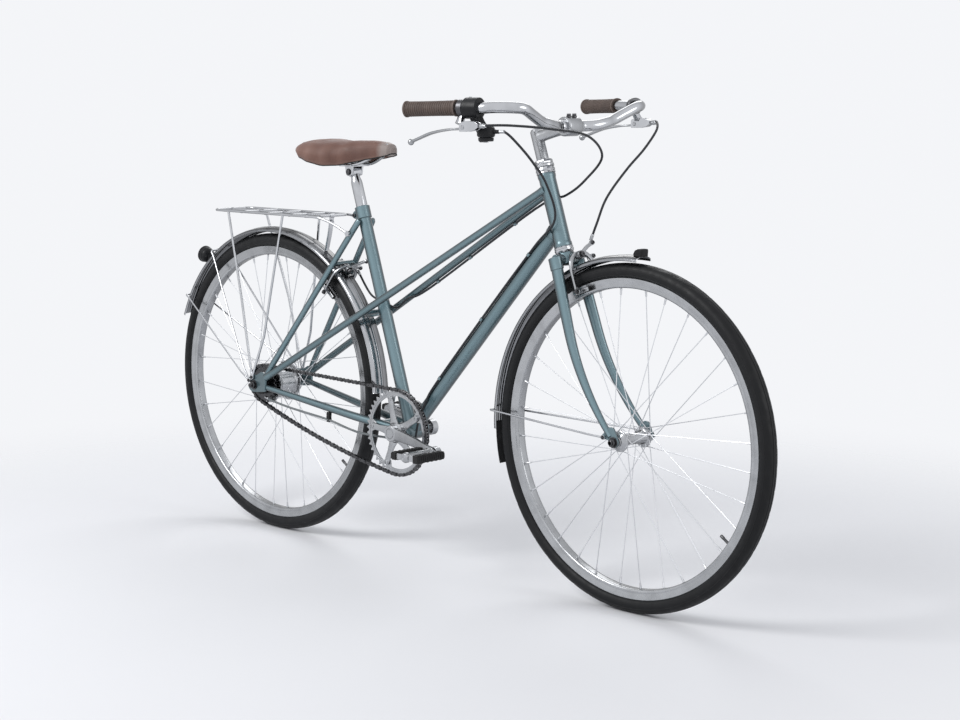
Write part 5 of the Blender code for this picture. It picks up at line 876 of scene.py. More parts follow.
def make_eyes(form, foot, body, name, radius=0.0048):
    """A flattened eye at each side with the small bolt that holds it."""
    bolts = Form()
    for side in SIDES:
        at = mirrored(foot, side)
        out = Y * side
        form.pin(at, out, 0.0022, radius, 20)
        bolts.bolt(at + out * 0.0022, out, 0.0032, 0.0026)
    bolts.made(name, body, "steel")


def make_stays(prefix, axle, foot, body, angles):
    """A fender's wire stays, at angles round its axle in degrees, with their eyes."""
    stays = Form()
    for degrees in angles:
        wire_stay(stays, axle, radians(degrees), axle + foot)
    make_eyes(stays, axle + foot, body, prefix + "_stay_bolts")
    stays.fine(prefix + "_fender_stays", name=prefix + "_fine_stays")


make_fender("rear", REAR_AXLE, REAR_FENDER_ARC)
make_fender("front", FRONT_AXLE, FRONT_FENDER_ARC)
rear_foot = Vector((-0.0135, -(DROPOUT_FACE + 0.0030), 0.0095))
make_stays("rear", REAR_AXLE, rear_foot, "frame", (126, 150))
front_foot = Vector((-0.0235, -(FORK_TIP_FACE + 0.0030), 0.0080))
make_stays("front", FRONT_AXLE, front_foot, "steering", (177,))


def make_mudflap():
    """A rubber flap under the front fender's rear end, thicker along its lower hem."""
    inner = FENDER_RADIUS - FENDER_SHEET - 0.0018
    rings = []
    for step in range(15):
        share = step / 14
        thick = 0.0032 if step >= 13 else 0.0020
        angle = FRONT_FENDER_ARC[1] - radians(2) + radians(14) * share
        wide = FENDER_HALF_WIDTH * 0.80 * (1.0 + 0.06 * sin(pi * share * 0.5))
        row = [(inner - 0.0006 - 0.0046 * abs(k / 4) ** 1.8, k / 4 * wide) for k in range(-4, 5)]
        under = [(radius - thick, across) for radius, across in reversed(row)]
        rings.append([round_wheel(FRONT_AXLE, radius, angle, across) for radius, across in row + under])
    Form().loft(rings).fine("front_mudflap", 0.0003, "fine_mudflap")


make_mudflap()


def stay_point(share, side=1):
    """A point of a seat stay's centre line, from its dropout up."""
    low = mirrored(REAR_AXLE + spot(29, 68, 14), side)
    return low.lerp(mirrored(seat_point(SEAT_STAY_TOP) + Y * 0.0212, side), share)


def rack_point(x, across=0.0, drop=0.0):
    return Vector((x, across, RACK_HEIGHT - drop))


def make_rack():
    """A welded wire rack with rounded corners, cross wires, legs and two curved front stays."""
    wire, half, corner = RACK_WIRE_RADIUS, RACK_HALF_WIDTH, RACK_CORNER
    loop = []
    front, rear = RACK_FRONT - corner, RACK_REAR + corner
    line = half - corner
    for x, y, first in ((front, line, 0), (rear, line, 90), (rear, -line, 180), (front, -line, 270)):
        for turn in range(first, first + 91, 10):
            a = radians(turn)
            loop.append(rack_point(x + corner * cos(a), y + corner * sin(a)))
    form = Form().tube(loop, wire, 14, closed=True, start=Z)
    form.rod(rack_point(RACK_FRONT), rack_point(RACK_REAR), wire, 14)
    for x in (-0.430, -0.515, -0.600):
        form.pin(rack_point(x, 0, 0.0008), Y, half, wire, 14)
    foot = REAR_AXLE + Vector((-0.003, DROPOUT_FACE + wire + 0.0006, 0.018))
    for side in SIDES:
        out = Y * side
        low = mirrored(foot, side)
        stay_end = stay_point(0.93, side) + out * (SEAT_STAY_RADIUS + wire + 0.0012)
        top = rack_point(RACK_REAR + 0.058, half * side)
        form.tube([top, spot(-583, 70 * side, 537), low], wire, 14)
        top = rack_point(-0.450, half * side)
        form.tube([top, spot(-505, 70 * side, 460), low + spot(1, 0, 1)], wire, 14)
        curved = [rack_point(RACK_FRONT + ahead, (half - inward) * side, drop)
                  for ahead, inward, drop in mm(-30, 0, 0.4, 14, 3.5, 1.6, 50, 14, 14, width=3)]
        form.tube(smooth(curved + [stay_end], 6), wire, 14)
        form.pin(stay_end, out, 0.0030, 0.0065, 18)
    make_eyes(form, foot, "frame", "rack_bolts", 0.0060)
    form.fine("rear_rack", name="fine_rack")
    top = rack_point(RACK_FRONT + 0.0005, 0, 0.002)
    low = round_wheel(REAR_AXLE, FENDER_RADIUS + 0.0012, atan2(0.32, 0.178))
    bracket = Form().strip(smooth([top, top.lerp(low, 0.5) + X * 0.002, low], 5), Y, 0.0065, 0.0010)
    bracket.pin(top + Z * 0.002, Y, 0.0065, 0.0044, 16)
    bracket.bolt(top + spot(1.6, 0, -12), X, 0.0036, 0.0028)
    bracket.made("rack_bracket", "frame", "chrome")


def make_tail_light():
    """A round lamp with a ribbed rear shell, a foot on the fender and a domed lens."""
    aim = Vector((-cos(LIGHT_TILT), 0, sin(LIGHT_TILT)))
    out = round_wheel(Vector(), 1.0, LIGHT_ANGLE)
    centre = REAR_AXLE + out * (FENDER_RADIUS + 0.0215)
    start = centre - aim * 0.011
    profile = mm(8.5, 0.2, 10, 1, 14.5, 3, 17.2, 6.2, 18, 9.2, 17.6, 10, 18.6, 11, 19, 18, 19.9, 18.6,
                 19.9, 21.6, 19.4, 22, 17.6, 22, 17.4, 18)
    shell = Form().lathe(profile, start, aim)
    low = REAR_AXLE + out * (FENDER_RADIUS + 0.0010)
    shell.strip([low, low.lerp(centre, 0.5), centre], Y, [0.0085, 0.0058, 0.0060], 0.0045)
    shell.bolt(low + out * 0.0012 + Y * 0.0125, out, 0.0026, 0.0022)
    shell.fine("tail_light_housing", 0.0002, "fine_light")
    lens = mm(17.1, 18.3, 17.1, 22.6, 16, 25.2, 13.2, 27.2, 9, 28.3, 4, 28.7, 0.4, 28.8)
    Form().lathe(lens, start, aim).fine("tail_light_lens", name="fine_lens")


make_rack()
make_tail_light()

# Frame and fork

def flared_tube(form, start, end, radius, flare_start, flare_end, count=48):
    """A tube that thickens a little at its ends, as at a brazed joint."""
    length = (end - start).length
    far = length - flare_end
    places = [0.0, flare_start, flare_start + 0.004, flare_start + 0.010]
    places += [length * k / 12 for k in range(1, 12)] + [far - 0.010, far - 0.004, far, length]
    swell = [1.10, 1.10, 1.03] + [1.0] * 13 + [1.03, 1.10, 1.10]
    heading = (end - start).normalized()
    form.tube([start + heading * place for place in places], [radius * grow for grow in swell], count)


def head_ring(node, profile, name=None, bevel=0.0):
    Form().lathe(profile, HEAD_BASE, HEAD_UP, 48, True).fine(node, bevel, name)


def make_head():
    """The head tube, both bearing cups and the locknut over the upper one."""
    top = HEAD_TUBE_LENGTH
    radius = HEAD_TUBE_RADIUS
    flare = radius + 0.0012
    half = [(0.0158, 0.0002), (flare - 0.0004, 0.0), (flare, 0.0006), (flare, 0.0070),
            (radius + 0.0003, 0.0090), (radius, 0.0115)]
    head_ring("head_tube", half + moved(reversed(half), top, -1))
    low = moved(mm(15.2, 0, 17.6, 0, 18.6, 1, 19.9, 5, 20, 6.2, 19.2, 7), -LOWER_CUP_HEIGHT)
    head_ring("headset_lower_cup", low + mm(19.2, -2, 19.8, -1.4, 19, -0.3, 15.2, -0.3), "fine_lower_cup")
    high = top + UPPER_CUP_HEIGHT
    low = moved(mm(15.2, 0.3, 19, 0.3, 19.8, 1.4, 19.2, 2.2), top)
    rim = moved(mm(19.2, 7.2, 20, 6.2, 19.9, 5, 18.2, 0.2, 15.2, 0), high, -1)
    head_ring("headset_upper_cup", low + rim, "fine_upper_cup")
    foot = head_point(high + 0.0006)
    nut = Form().lathe(mm(14.6, 0, 19.8, 0, 20, 0.6, 20, 4.8, 19, 5.6, 14.6, 5.8), foot, HEAD_UP, 48, True)
    nut.lathe(mm(14.6, 6.2, 18.6, 6.2, 19, 7, 19, 12.8, 17, 15.4, 14.6, 15.4), foot, HEAD_UP, 8, True)
    nut.fine("headset_locknut", 0.0003, "fine_locknut")


def make_main_tubes():
    """The down tube, the seat tube with its clamp ears and bolt, and the bottom bracket."""
    top = head_point(DOWN_TUBE_HEAD_HEIGHT)
    heading = (top - BRACKET).normalized()
    down = Form()
    flared_tube(down, BRACKET + heading * 0.017, top - heading * 0.012, DOWN_TUBE_RADIUS, 0.006, 0.008)
    down.fine("down_tube")

    length = SEAT_TUBE_LENGTH
    foot = length - COLLAR_HEIGHT
    seat = Form().lathe([
        (SEAT_TUBE_BORE, 0.030), (0.0155, 0.017), (0.0156, 0.022), (0.0148, 0.028), (SEAT_TUBE_RADIUS, 0.034),
        (SEAT_TUBE_RADIUS, foot - 0.0004), (COLLAR_RADIUS - 0.0008, foot), (COLLAR_RADIUS, foot + 0.0008),
        (COLLAR_RADIUS, length), (COLLAR_RADIUS - 0.0008, length + 0.0009), (SEAT_TUBE_BORE, length + 0.0010),
    ], BRACKET, SEAT_UP, 48, True)
    ears_at = seat_point(length - COLLAR_HEIGHT / 2)
    ear = [(0.0125 + 0.0155 * cos(radians(a)), 0.0098 * sin(radians(a))) for a in range(-90, 91, 15)]
    for side in SIDES:
        seat.slab(ear, ears_at, SEAT_BACK, SEAT_UP, Y, *limits(0.0016, 0.0085, side))
    seat.fine("seat_tube", 0.0004)
    bolt_at = ears_at + SEAT_BACK * 0.0215
    reach = Y * 0.0085
    bolt = Form().socket_bolt(bolt_at - reach, -Y, 0.0046, 0.0032)
    bolt.rod(bolt_at - reach, bolt_at + reach, 0.0027)
    bolt.lathe(mm(5.2, 0, 5.2, 3, 4.5, 3.4), bolt_at + reach, Y, 6)
    bolt.made("seat_bolt", "frame", "steel")

    half = SHELL_HALF_WIDTH
    end = [(0.0175, -half), (SHELL_RADIUS - 0.0006, -half), (SHELL_RADIUS, -half + 0.0006)]
    shell = Form().lathe(end + reflected(end), BRACKET, Y, 48, True)
    shell.fine("bottom_bracket_shell", name="fine_shell")
    cups = Form()
    for side in SIDES:
        out = Y * side
        rim = mm(9, 2.8, 13, 3.4, 15, 2.4, 17.8, 3.4, 18.8, 2.8, 19, 0.4, 17, 0.3)
        cups.lathe([(0.0090, 0.0), *moved(rim, half), (0.0170, 0.0)], BRACKET, out, 36)
        for k in range(12):
            at = round_wheel(BRACKET, 0.0186, radians(30 * k)) + out * (half + 0.0016)
            cups.rod(at - out * 0.0012, at + out * 0.0014, 0.0016, 8)
    cups.fine("bottom_bracket_cartridge", name="fine_cartridge")


def lateral_point(share, side=1):
    rear = mirrored(REAR_AXLE + spot(27.5, 68, 14.2), side)
    return rear.lerp(mirrored(head_point(LATERAL_HEAD_HEIGHT) + spot(4, 12.2, 0), side), share)


def lateral_at(x):
    """The point of the left lateral tube at a given x."""
    rear, front = lateral_point(0).x, lateral_point(1).x
    return lateral_point((x - rear) / (front - rear))


def bridge(form, place, radius, share):
    """A round bridge from side to side that thickens where it is brazed on."""
    right, left = mirrored(place, -1), mirrored(place, 1)
    route = [right, right.lerp(left, share), right.lerp(left, 1 - share), left]
    form.tube(route, [radius, STAY_BRIDGE_RADIUS, STAY_BRIDGE_RADIUS, radius], 20)


DROPOUT_OUTLINE = mm(
    -19, -5.4, -19, -9.5, -14, -14, -8, -16.8, 4, -16.6, 18, -15, 38, -12.5, 39.5, 12, 38, 29, 32, 32.2,
    26, 32.5, 18, 28.2, 10, 24, 0, 23.6, -10, 23.6, -15, 19, -19, 12.5, -19, 5.4, 0, 5.4, 3.8, 3.8,
    5.4, 0, 3.8, -3.8, 0, -5.4)


def make_rear_triangle():
    """The twin lateral tubes, the seat stays and the chain stays, each pair with its bridge."""
    laterals = Form()
    for side in SIDES:
        rear, front = lateral_point(0.012, side), lateral_point(1, side)
        front -= (front - rear).normalized() * 0.005
        flared_tube(laterals, rear, front, LATERAL_RADIUS - 0.0001, 0.012, 0.010, 40)
    behind = SEAT_TUBE_RADIUS / sin(SEAT_ANGLE) + STAY_BRIDGE_RADIUS + 0.0016
    across = lateral_at(seat_point(LATERAL_SEAT_HEIGHT).x - behind)
    bridge(laterals, across, 0.0068, 0.06)
    heading = lateral_point(1) - lateral_point(0)
    heading = (heading - Y * heading.y).normalized()
    turns = [pi * k / 16 for k in range(32)]
    outline = [(max(min(0.0120 * sin(t) - 0.014, -0.002), -0.026), 0.0475 * cos(t)) for t in turns]
    hole = [(0.0065 * sin(t) - 0.015, 0.017 * cos(t)) for t in turns]
    laterals.pierced(outline, hole, mirrored(across, 0), heading, Y, 0.0019)
    laterals.fine("lateral_tubes", 0.0003, "fine_laterals")

    stays = Form()
    for side in SIDES:
        low, top = stay_point(0.016, side), stay_point(1, side)
        run = [low.lerp(top, share) for share in (0, 0.03, 0.10, 0.95, 1)] + [top.lerp(low, -0.012)]
        stays.tube(run, [0.0050, 0.0064, SEAT_STAY_RADIUS, SEAT_STAY_RADIUS, 0.0068, 0.0040], 24)
    bridge(stays, stay_at(BRAKE_BRIDGE_RADIUS), 0.0070, 0.08)
    stays.fine("seat_stays")

    chain_stays = Form()
    for side in SIDES:
        front = BRACKET + spot(4, 20 * side, 1)
        bend = BRACKET.lerp(REAR_AXLE, 0.31) + spot(0, 37.5 * side, -1)
        back = REAR_AXLE + spot(24, 65.5 * side, -2)
        route = smooth([front, front.lerp(bend, 0.5), bend, bend.lerp(back, 0.5), back], 5)
        chain_stays.tube(route, eased(5, 9.4, 9.3, 9.2, 7.8, 6.2), 24)
        low = DROPOUT_OFFSET * side - DROPOUT_THICKNESS / 2
        chain_stays.plate(DROPOUT_OUTLINE, REAR_AXLE, low, low + DROPOUT_THICKNESS)
    left = front.lerp(bend, 0.55)
    chain_stays.rod(mirrored(left, -1), left, STAY_BRIDGE_RADIUS, 20)
    chain_stays.fine("chain_stays", 0.0004)


def stay_at(radius):
    """The point of a seat stay at a radius round the rear axle."""
    near, far = 0.0, 1.0
    for _ in range(30):
        share = (near + far) / 2
        place = stay_point(share)
        inside = hypot(place.x - REAR_AXLE.x, place.z - REAR_AXLE.z) < radius
        near, far = (share, far) if inside else (near, share)
    return stay_point(near)


def blade_point(height, side):
    """Blade centre line: straight below the crown, then curved forwards to the axle."""
    foot = -HEAD_BASE_TO_AXLE
    share = clamped((BLADE_STRAIGHT_END - height) / (BLADE_STRAIGHT_END - foot))
    top = -LOWER_CUP_HEIGHT - CROWN_HEIGHT
    spread = clamped((top - height) / (top - foot)) ** 0.8
    across = BLADE_TOP_SPREAD + (BLADE_LOW_SPREAD - BLADE_TOP_SPREAD) * spread
    return head_point(height, FORK_OFFSET * share ** 1.9, across * side)


FORK_TIP_OUTLINE = mm(
    -12.5, -3.5, -9, -8.2, -5.2, -10.6, 0, -11.5, 5, -10.4, 8.5, -8, 11.2, -3, 11.4, 2, 9, 8, 1, 26,
    -3, 28.6, -7.5, 29.6, -11.5, 28.6, -14.5, 26, -28.5, 12.5, -29, 8, -28.2, 4.2, -14, 3.5)


def make_fork():
    """The steerer, a lugged crown, two raked blades and their slotted tips."""
    foot = CROWN_BASE
    middle = foot + CROWN_HEIGHT / 2
    crown = moved(mm(12.8, 12, 18, 4.5, 19, 6, 19.1, 24.5, 17.8, 26.8, 14.3, 27), foot)
    steerer = [(0.0143, STEERER_TOP), (0.0128, STEERER_TOP)]
    fork = Form().lathe(crown + steerer, HEAD_BASE, HEAD_UP, 40, True)
    reach = BLADE_TOP_SPREAD + 0.0011
    fork.loft([
        ring(head_point(middle + 0.0004, 0.0003, reach * share), Y, 0.0122 * deep, 28, HEAD_UP)
        for share, deep in zip((-1, -0.94, -0.6, 0, 0.6, 0.94, 1), (0.86, 0.97, 1, 1.04, 1, 0.97, 0.86))
    ])
    top = foot + CROWN_HEIGHT * 0.62
    low = -HEAD_BASE_TO_AXLE + 0.012
    for side in SIDES:
        rings = []
        for step in range(33):
            share = step / 32
            height = top + (low - top) * share
            depth = BLADE_DEPTH + (BLADE_TIP_RADIUS - BLADE_DEPTH) * share ** 1.4
            width = BLADE_WIDTH + (BLADE_TIP_RADIUS - BLADE_WIDTH) * share ** 1.4
            axis = blade_point(height - 0.002, side) - blade_point(height + 0.002, side)
            rings.append(ring(blade_point(height, side), axis, depth, 28, HEAD_FORWARD, width / depth))
        fork.loft(rings)
        socket = []
        for share, grow in ((0.74, 0.0002), (0.70, 0.0013), (0.0, 0.0015), (-0.16, 0.0015), (-0.20, 0.0004)):
            centre = blade_point(foot + CROWN_HEIGHT * share, side)
            deep = BLADE_DEPTH + grow
            socket.append(ring(centre, -HEAD_UP, deep, 28, HEAD_FORWARD, (BLADE_WIDTH + grow) / deep))
        fork.loft(socket)
        fork.plate(FORK_TIP_OUTLINE, FRONT_AXLE,
                   *limits(BLADE_LOW_SPREAD - FORK_TIP_THICKNESS / 2, FORK_TIP_FACE, side))
    fork.fine("fork", 0.0004)


make_head()
make_main_tubes()
make_rear_triangle()
make_fork()

# Drive

def pitch_radius(teeth):
    return CHAIN_PITCH / (2 * sin(pi / teeth))


RING_RADIUS = pitch_radius(CHAINRING_TEETH)
SPROCKET_RADIUS = pitch_radius(SPROCKET_TEETH)
RING_STEP = 2 * pi / CHAINRING_TEETH
SPROCKET_STEP = 2 * pi / SPROCKET_TEETH


def flat_point(centre, radius, angle):
    return Vector((centre.x + radius * cos(angle), centre.z + radius * sin(angle)))


def along_curve(curve, distance):
    for a, b in zip(curve, curve[1:]):
        step = (b - a).length
        if distance <= step:
            return a.lerp(b, distance / step)
        distance -= step
    return curve[-1]


def chain_layout(droop):
    """The four stretches of the chain for a droop angle of the lower run, in links."""
    span = (REAR_AXLE - BRACKET).length
    line = atan2(REAR_AXLE.z - BRACKET.z, REAR_AXLE.x - BRACKET.x)
    lean = acos((RING_RADIUS - SPROCKET_RADIUS) / span)
    top = line - lean
    leave = line + lean - 2 * pi + droop
    arrive = line + lean - 2 * pi - droop
    start = flat_point(BRACKET, RING_RADIUS, leave)
    end = flat_point(REAR_AXLE, SPROCKET_RADIUS, arrive)
    handle = (end - start).length / 3
    first = start + Vector((sin(leave), -cos(leave))) * handle
    second = end - Vector((sin(arrive), -cos(arrive))) * handle
    lower = []
    for step in range(241):
        t = step / 240
        u = 1 - t
        lower.append(start * u ** 3 + first * (3 * u * u * t) + second * (3 * u * t * t) + end * t ** 3)
    run = sum((b - a).length for a, b in zip(lower, lower[1:])) / CHAIN_PITCH
    upper = sqrt(span ** 2 - (RING_RADIUS - SPROCKET_RADIUS) ** 2) / CHAIN_PITCH
    stretches = (top - leave) / RING_STEP, run, (arrive + 2 * pi - top) / SPROCKET_STEP, upper
    return top, arrive, lower, stretches


def chain_pins():
    """Pin places (x, z) all the way round, and what the toothed wheels are set by."""
    links = 2 * ceil(sum(chain_layout(0.0)[-1]) / 2)
    low, high = 0.0, LARGEST_DROOP
    while high - low > 1e-7:
        droop = (low + high) / 2
        low, high = (droop, high) if sum(chain_layout(droop)[-1]) < links else (low, droop)
    top, arrive, lower, (on_ring, run, on_sprocket, upper) = chain_layout(low)
    pins = []
    for link in range(links):
        if link < on_ring:
            pins.append(flat_point(BRACKET, RING_RADIUS, top - link * RING_STEP))
        elif link < on_ring + run:
            pins.append(along_curve(lower, (link - on_ring) * CHAIN_PITCH))
        elif link < on_ring + run + on_sprocket:
            angle = arrive - (link - on_ring - run) * SPROCKET_STEP
            pins.append(flat_point(REAR_AXLE, SPROCKET_RADIUS, angle))
        else:
            start = flat_point(REAR_AXLE, SPROCKET_RADIUS, top)
            share = (link - on_ring - run - on_sprocket) / upper
            pins.append(start.lerp(flat_point(BRACKET, RING_RADIUS, top), share))
    return pins, top, arrive - (ceil(on_ring + run) - on_ring - run) * SPROCKET_STEP


def make_chain(pins):
    """Waisted link plates, inner and outer in turn, on riveted pins with rollers."""
    form = Form()
    inner = ROLLER_LENGTH / 2
    reach = inner + 2 * LINK_PLATE + LINK_GAP
    roller = [(ROLLER_RADIUS - 0.0003, -inner), (ROLLER_RADIUS - 0.0003, inner)]
    rivet = [(0.0014, -reach), (0.0017, -reach + 0.0003)]
    for index, pin in enumerate(pins):
        after = pins[(index + 1) % len(pins)]
        heading = (after - pin).normalized()
        normal = Vector((-heading.y, heading.x))
        outline = []
        for end, at in ((-1, pin), (1, after)):
            for turn in (-100, -50, 0, 50, 100):
                swing = radians(turn)
                outline.append(at + heading * end * ROLLER_RADIUS * cos(swing) * 0.98
                               + normal * end * ROLLER_RADIUS * sin(swing))
            outline.append((pin + after) / 2 + normal * end * ROLLER_RADIUS * 0.66)
        near = inner + (LINK_PLATE + LINK_GAP if index % 2 else 0.0)
        for side in SIDES:
            low, high = limits(near, near + LINK_PLATE, side)
            form.plate([(c.x, c.y) for c in outline], Vector(), low - CHAIN_LINE, high - CHAIN_LINE)
        centre = Vector((pin.x, -CHAIN_LINE, pin.y))
        form.lathe(roller, centre, Y, 12).lathe(rivet + reflected(rivet), centre, Y, 10)
    form.fine("chain")


TOOTH_SHAPE = ((-0.5, -0.0041), (-0.36, -0.0037), (-0.24, -0.0014), (-0.13, 0.0014), (-0.06, 0.0026),
               (0.06, 0.0026), (0.13, 0.0014), (0.24, -0.0014), (0.36, -0.0037))


def toothed(teeth, radius, first_gap):
    """A toothed outline with rounded gaps, whose first gap sits at an angle."""
    outline = []
    for tooth in range(teeth):
        middle = first_gap + (tooth + 0.5) * 2 * pi / teeth
        for share, height in TOOTH_SHAPE:
            angle = middle + share * 2 * pi / teeth
            outline.append(((radius + height) * cos(angle), (radius + height) * sin(angle)))
    return outline


SPIDER_ANGLES = [CRANK_ANGLE + pi / SPIDER_ARMS + 2 * pi * arm / SPIDER_ARMS for arm in range(SPIDER_ARMS)]


def make_chainring(first_gap):
    """A toothed ring with bolt tabs that reach in to the spider."""
    outline = toothed(CHAINRING_TEETH, RING_RADIUS, first_gap)
    window = []
    for a, b in outline:
        angle = atan2(b, a)
        near = min(abs((angle - arm + pi) % (2 * pi) - pi) for arm in SPIDER_ANGLES)
        tab = clamped((radians(10) - near) / radians(4.5))
        radius = 0.0800 - 0.0130 * tab * tab * (3 - 2 * tab)
        window.append((radius * cos(angle), radius * sin(angle)))
    half = TOOTH_PLATE / 2
    origin = BRACKET - Y * CHAIN_LINE
    form = Form().pierced(outline, window, origin, X, Z, half)
    step = [(0.0846, -half), (0.0846, -half - 0.0006), (0.0874, -half - 0.0006), (0.0874, -half)]
    form.lathe(step, origin, Y, 96, True)
    form.fine("chainring", 0.0003)


def crank_tip(side):
    return round_wheel(BRACKET, CRANK_LENGTH, CRANK_ANGLE if side < 0 else CRANK_ANGLE + pi)


def crank_arm(side):
    """A smooth tapering arm that flares outwards from its spindle boss to its pedal boss."""
    tip = crank_tip(side)
    heading = (tip - BRACKET).normalized()
    upright = heading.cross(Y)
    middle = 1000 * (CRANK_INNER_FACE + CRANK_OUTER_FACE) / 2
    outer = 1000 * (PEDAL_FACE - PEDAL_BOSS / 2)
    faces = eased(6, middle, middle + 2, middle + 15, outer - 2, outer)
    distances = eased(6, 0, 30, 90, 145, 1000 * CRANK_LENGTH)
    sizes = zip(distances, faces, eased(6, 15, 13, 10.5, 9.2, 9), eased(6, 7, 6.5, 5.5, 5, 5))
    rings = []
    for distance, face, half, depth in sizes:
        centre = BRACKET + heading * distance + Y * face * side
        rings.append([centre + upright * a + Y * b for a, b in rounded_bar(half, depth, depth * 0.85)])
    form = Form().loft(rings)
    out = Y * side
    boss = moved(mm(8.5, 0, 16.5, 0, 17.4, 1), CRANK_INNER_FACE)
    boss += moved(mm(17.4, -1.5, 16, 0, 11.8, 0, 11.2, -1, 10.4, -1, 9.8, -0.2), CRANK_OUTER_FACE)
    form.lathe(boss, BRACKET, out, 40)
    face = PEDAL_FACE
    boss = moved(mm(11, 0, 12.4, 1.2), face - PEDAL_BOSS) + moved(mm(12.4, -1.2, 11.2, 0), face)
    form.lathe(boss, tip, out, 32)
    form.rod(tip + out * (face - 0.004), tip + out * (face + PEDAL_LENGTH - 0.006), 0.0054, 16)
    return form.lathe(mm(7, 0, 7.2, 0.5, 7.2, 3), tip + out * face, out, 6)


def make_cranks():
    """The right arm with its spider and ring bolts, and the left arm with the spindle."""
    right = crank_arm(-1)
    back = CHAIN_LINE + TOOTH_PLATE / 2 + 0.0003
    for angle in SPIDER_ANGLES:
        heading = Vector((cos(angle), 0, sin(angle)))
        start = BRACKET - Y * (back + 0.0020)
        route = [start + heading * radius for radius in (0.018, 0.030, 0.050, 0.066, 0.0775)]
        halves = [0.0125, 0.0090, 0.0068, 0.0072, 0.0060]
        right.strip(route, heading.cross(Y), halves, 0.0020, 0.0012)
        at = BRACKET + heading * BOLT_CIRCLE - Y * (back + 0.0038)
        right.socket_bolt(at, -Y, 0.0048, 0.0016)
        right.rod(at, at + Y * 0.0062, 0.0040, 16)
        right.lathe(mm(5.2, 0, 5.2, 1.2, 3, 1.4), at + Y * 0.0058, Y, 16)
    right.lathe(mm(16, 44.5, 22.2, 45, 22.4, 50, 19, 54.5), BRACKET, -Y, 40)
    right.fine("crank_right")
    left = crank_arm(1)
    left.rod(BRACKET + Y * 0.054, BRACKET - Y * 0.0595, 0.0085, 24)
    left.fine("crank_left")


def make_pedal(node, side):
    """A pedal with ribbed rubber treads in a metal cage round its barrel."""
    axis = crank_tip(side)
    origin = Vector((axis.x, 0, axis.z))
    inner = PEDAL_FACE + 0.004
    outer = inner + PEDAL_LENGTH
    barrel = moved(mm(6.2, 0, 10, 0, 11.8, 3, 11.8, 10, 9.8, 16), inner)
    barrel += moved(mm(9.8, 14, 11.2, 10, 11.2, 4, 9, 0, 1, 0), outer, -1)
    cage = Form().lathe(barrel, axis, Y * side, 28)
    half = PEDAL_DEPTH / 2
    corners = ((1, 0.6), (0.9, 1), (-0.9, 1), (-1, 0.6))
    shape = [(-a * (half - 0.005), -b * PEDAL_HEIGHT * 0.36) for a, b in corners]
    shape += [(-a, -b) for a, b in shape]
    for across in (inner + 0.002, outer - 0.006):
        cage.plate(shape, origin, *limits(across, across + 0.0030, side))
    cage.fine(node, 0.0004, node + "_cage", "alloy")
    tread = Form()
    for end in SIDES:
        for k in range(13):
            at = inner + 0.0035 + (PEDAL_LENGTH - 0.007) * k / 12
            wide = 0.0026 if k not in (0, 12) else 0.0030
            tall = PEDAL_HEIGHT / 2 - (0.0 if k % 2 else 0.0008)
            corners = ((0.0140, -1), (0.003, -1), (0.0003, -0.5), (0.0003, 0.5), (0.003, 1), (0.0140, 1))
            rib = [(end * (half - inset), tall * b) for inset, b in corners]
            tread.plate(rib, origin, *limits(at - wide, at + wide, side))
        corners = ((0.0135, -1), (0.0025, -1), (0.0025, 1), (0.0135, 1))
        block = [(end * (half - inset), 0.0068 * b) for inset, b in corners]
        tread.plate(block, origin, *limits(inner + 0.0012, outer - 0.0012, side))
    tread.made(node + "_treads", BODY_OF[node], "black_rubber", (), 0.0004)


def make_rear_drive(first_gap):
    """The sprocket on its ratchet body, and the grooved shift pulley beside it."""
    outline = toothed(SPROCKET_TEETH, SPROCKET_RADIUS, first_gap)
    window = [(0.0170 * cos(atan2(b, a)), 0.0170 * sin(atan2(b, a))) for a, b in outline]
    form = Form().pierced(outline, window, REAR_AXLE - Y * CHAIN_LINE, X, Z, TOOTH_PLATE / 2)
    body = mm(5.6, 35, 17.8, 35.2, 18, 41, 19.6, 42.5, 19.6, 45.2, 18, 45.8, 17.2, 48.8, 5.6, 49)
    form.lathe(body, REAR_AXLE, -Y, 40, True)
    form.fine("rear_sprocket", 0.0003, "fine_sprocket")
    profile = mm(5.6, 49.5, 23.6, 49.5, 24, 49.9, 24, 51, 22.6, 51.8, 21, 53, 22.6, 54.2, 24, 55, 24, 56.6,
                 23.2, 57, 15, 56.8, 13, 56, 9, 56, 5.6, 56.6)
    Form().lathe(profile, REAR_AXLE, -Y, 48, True).fine("shift_pulley", name="fine_pulley")


pins, ring_gap, sprocket_gap = chain_pins()
make_chain(pins)
make_chainring(ring_gap)
make_cranks()
make_rear_drive(sprocket_gap)
make_pedal("pedal_right", -1)
make_pedal("pedal_left", 1)

# Stem, bar and grips

BAR_CENTRE = spot(373, 0, 952)
BAR_HALF = spots(
    373.2, 12, 952, 373.2, 24, 952, 373.5, 34, 952, 388, 60, 953.5, 393, 83, 958, 393, 105, 963.2,
    398.5, 134, 975.5, 404, 164, 988, 397, 184, 990.5, 383, 199, 991, 366, 213.5, 991, 346, 223.5, 989.5,
    294, 234.5, 989.5, 240, 248.2, 988, 184, 262.5, 986.5)
GRIP_ENDS = spots(294, 234.5, 989.5, 180, 263.5, 986.4)
GRIP_RINGS = 22


def bar_place(x, side):
    """A point of the bar's rear stretch at a given x, and the bar's heading there."""
    for a, b in zip(BAR_HALF[8:], BAR_HALF[9:]):
        if b.x <= x <= a.x:
            heading = (mirrored(b, side) - mirrored(a, side)).normalized()
            return mirrored(a.lerp(b, (a.x - x) / (a.x - b.x)), side), heading


def clamp_ring(centre, heading, radius, half):
    """A band round the bar with eased edges."""
    ease = 0.0012
    end = [(BAR_RADIUS, -half), (radius - ease, -half), (radius, ease - half)]
    return Form().lathe(end + reflected(end), centre, heading, 40, True)


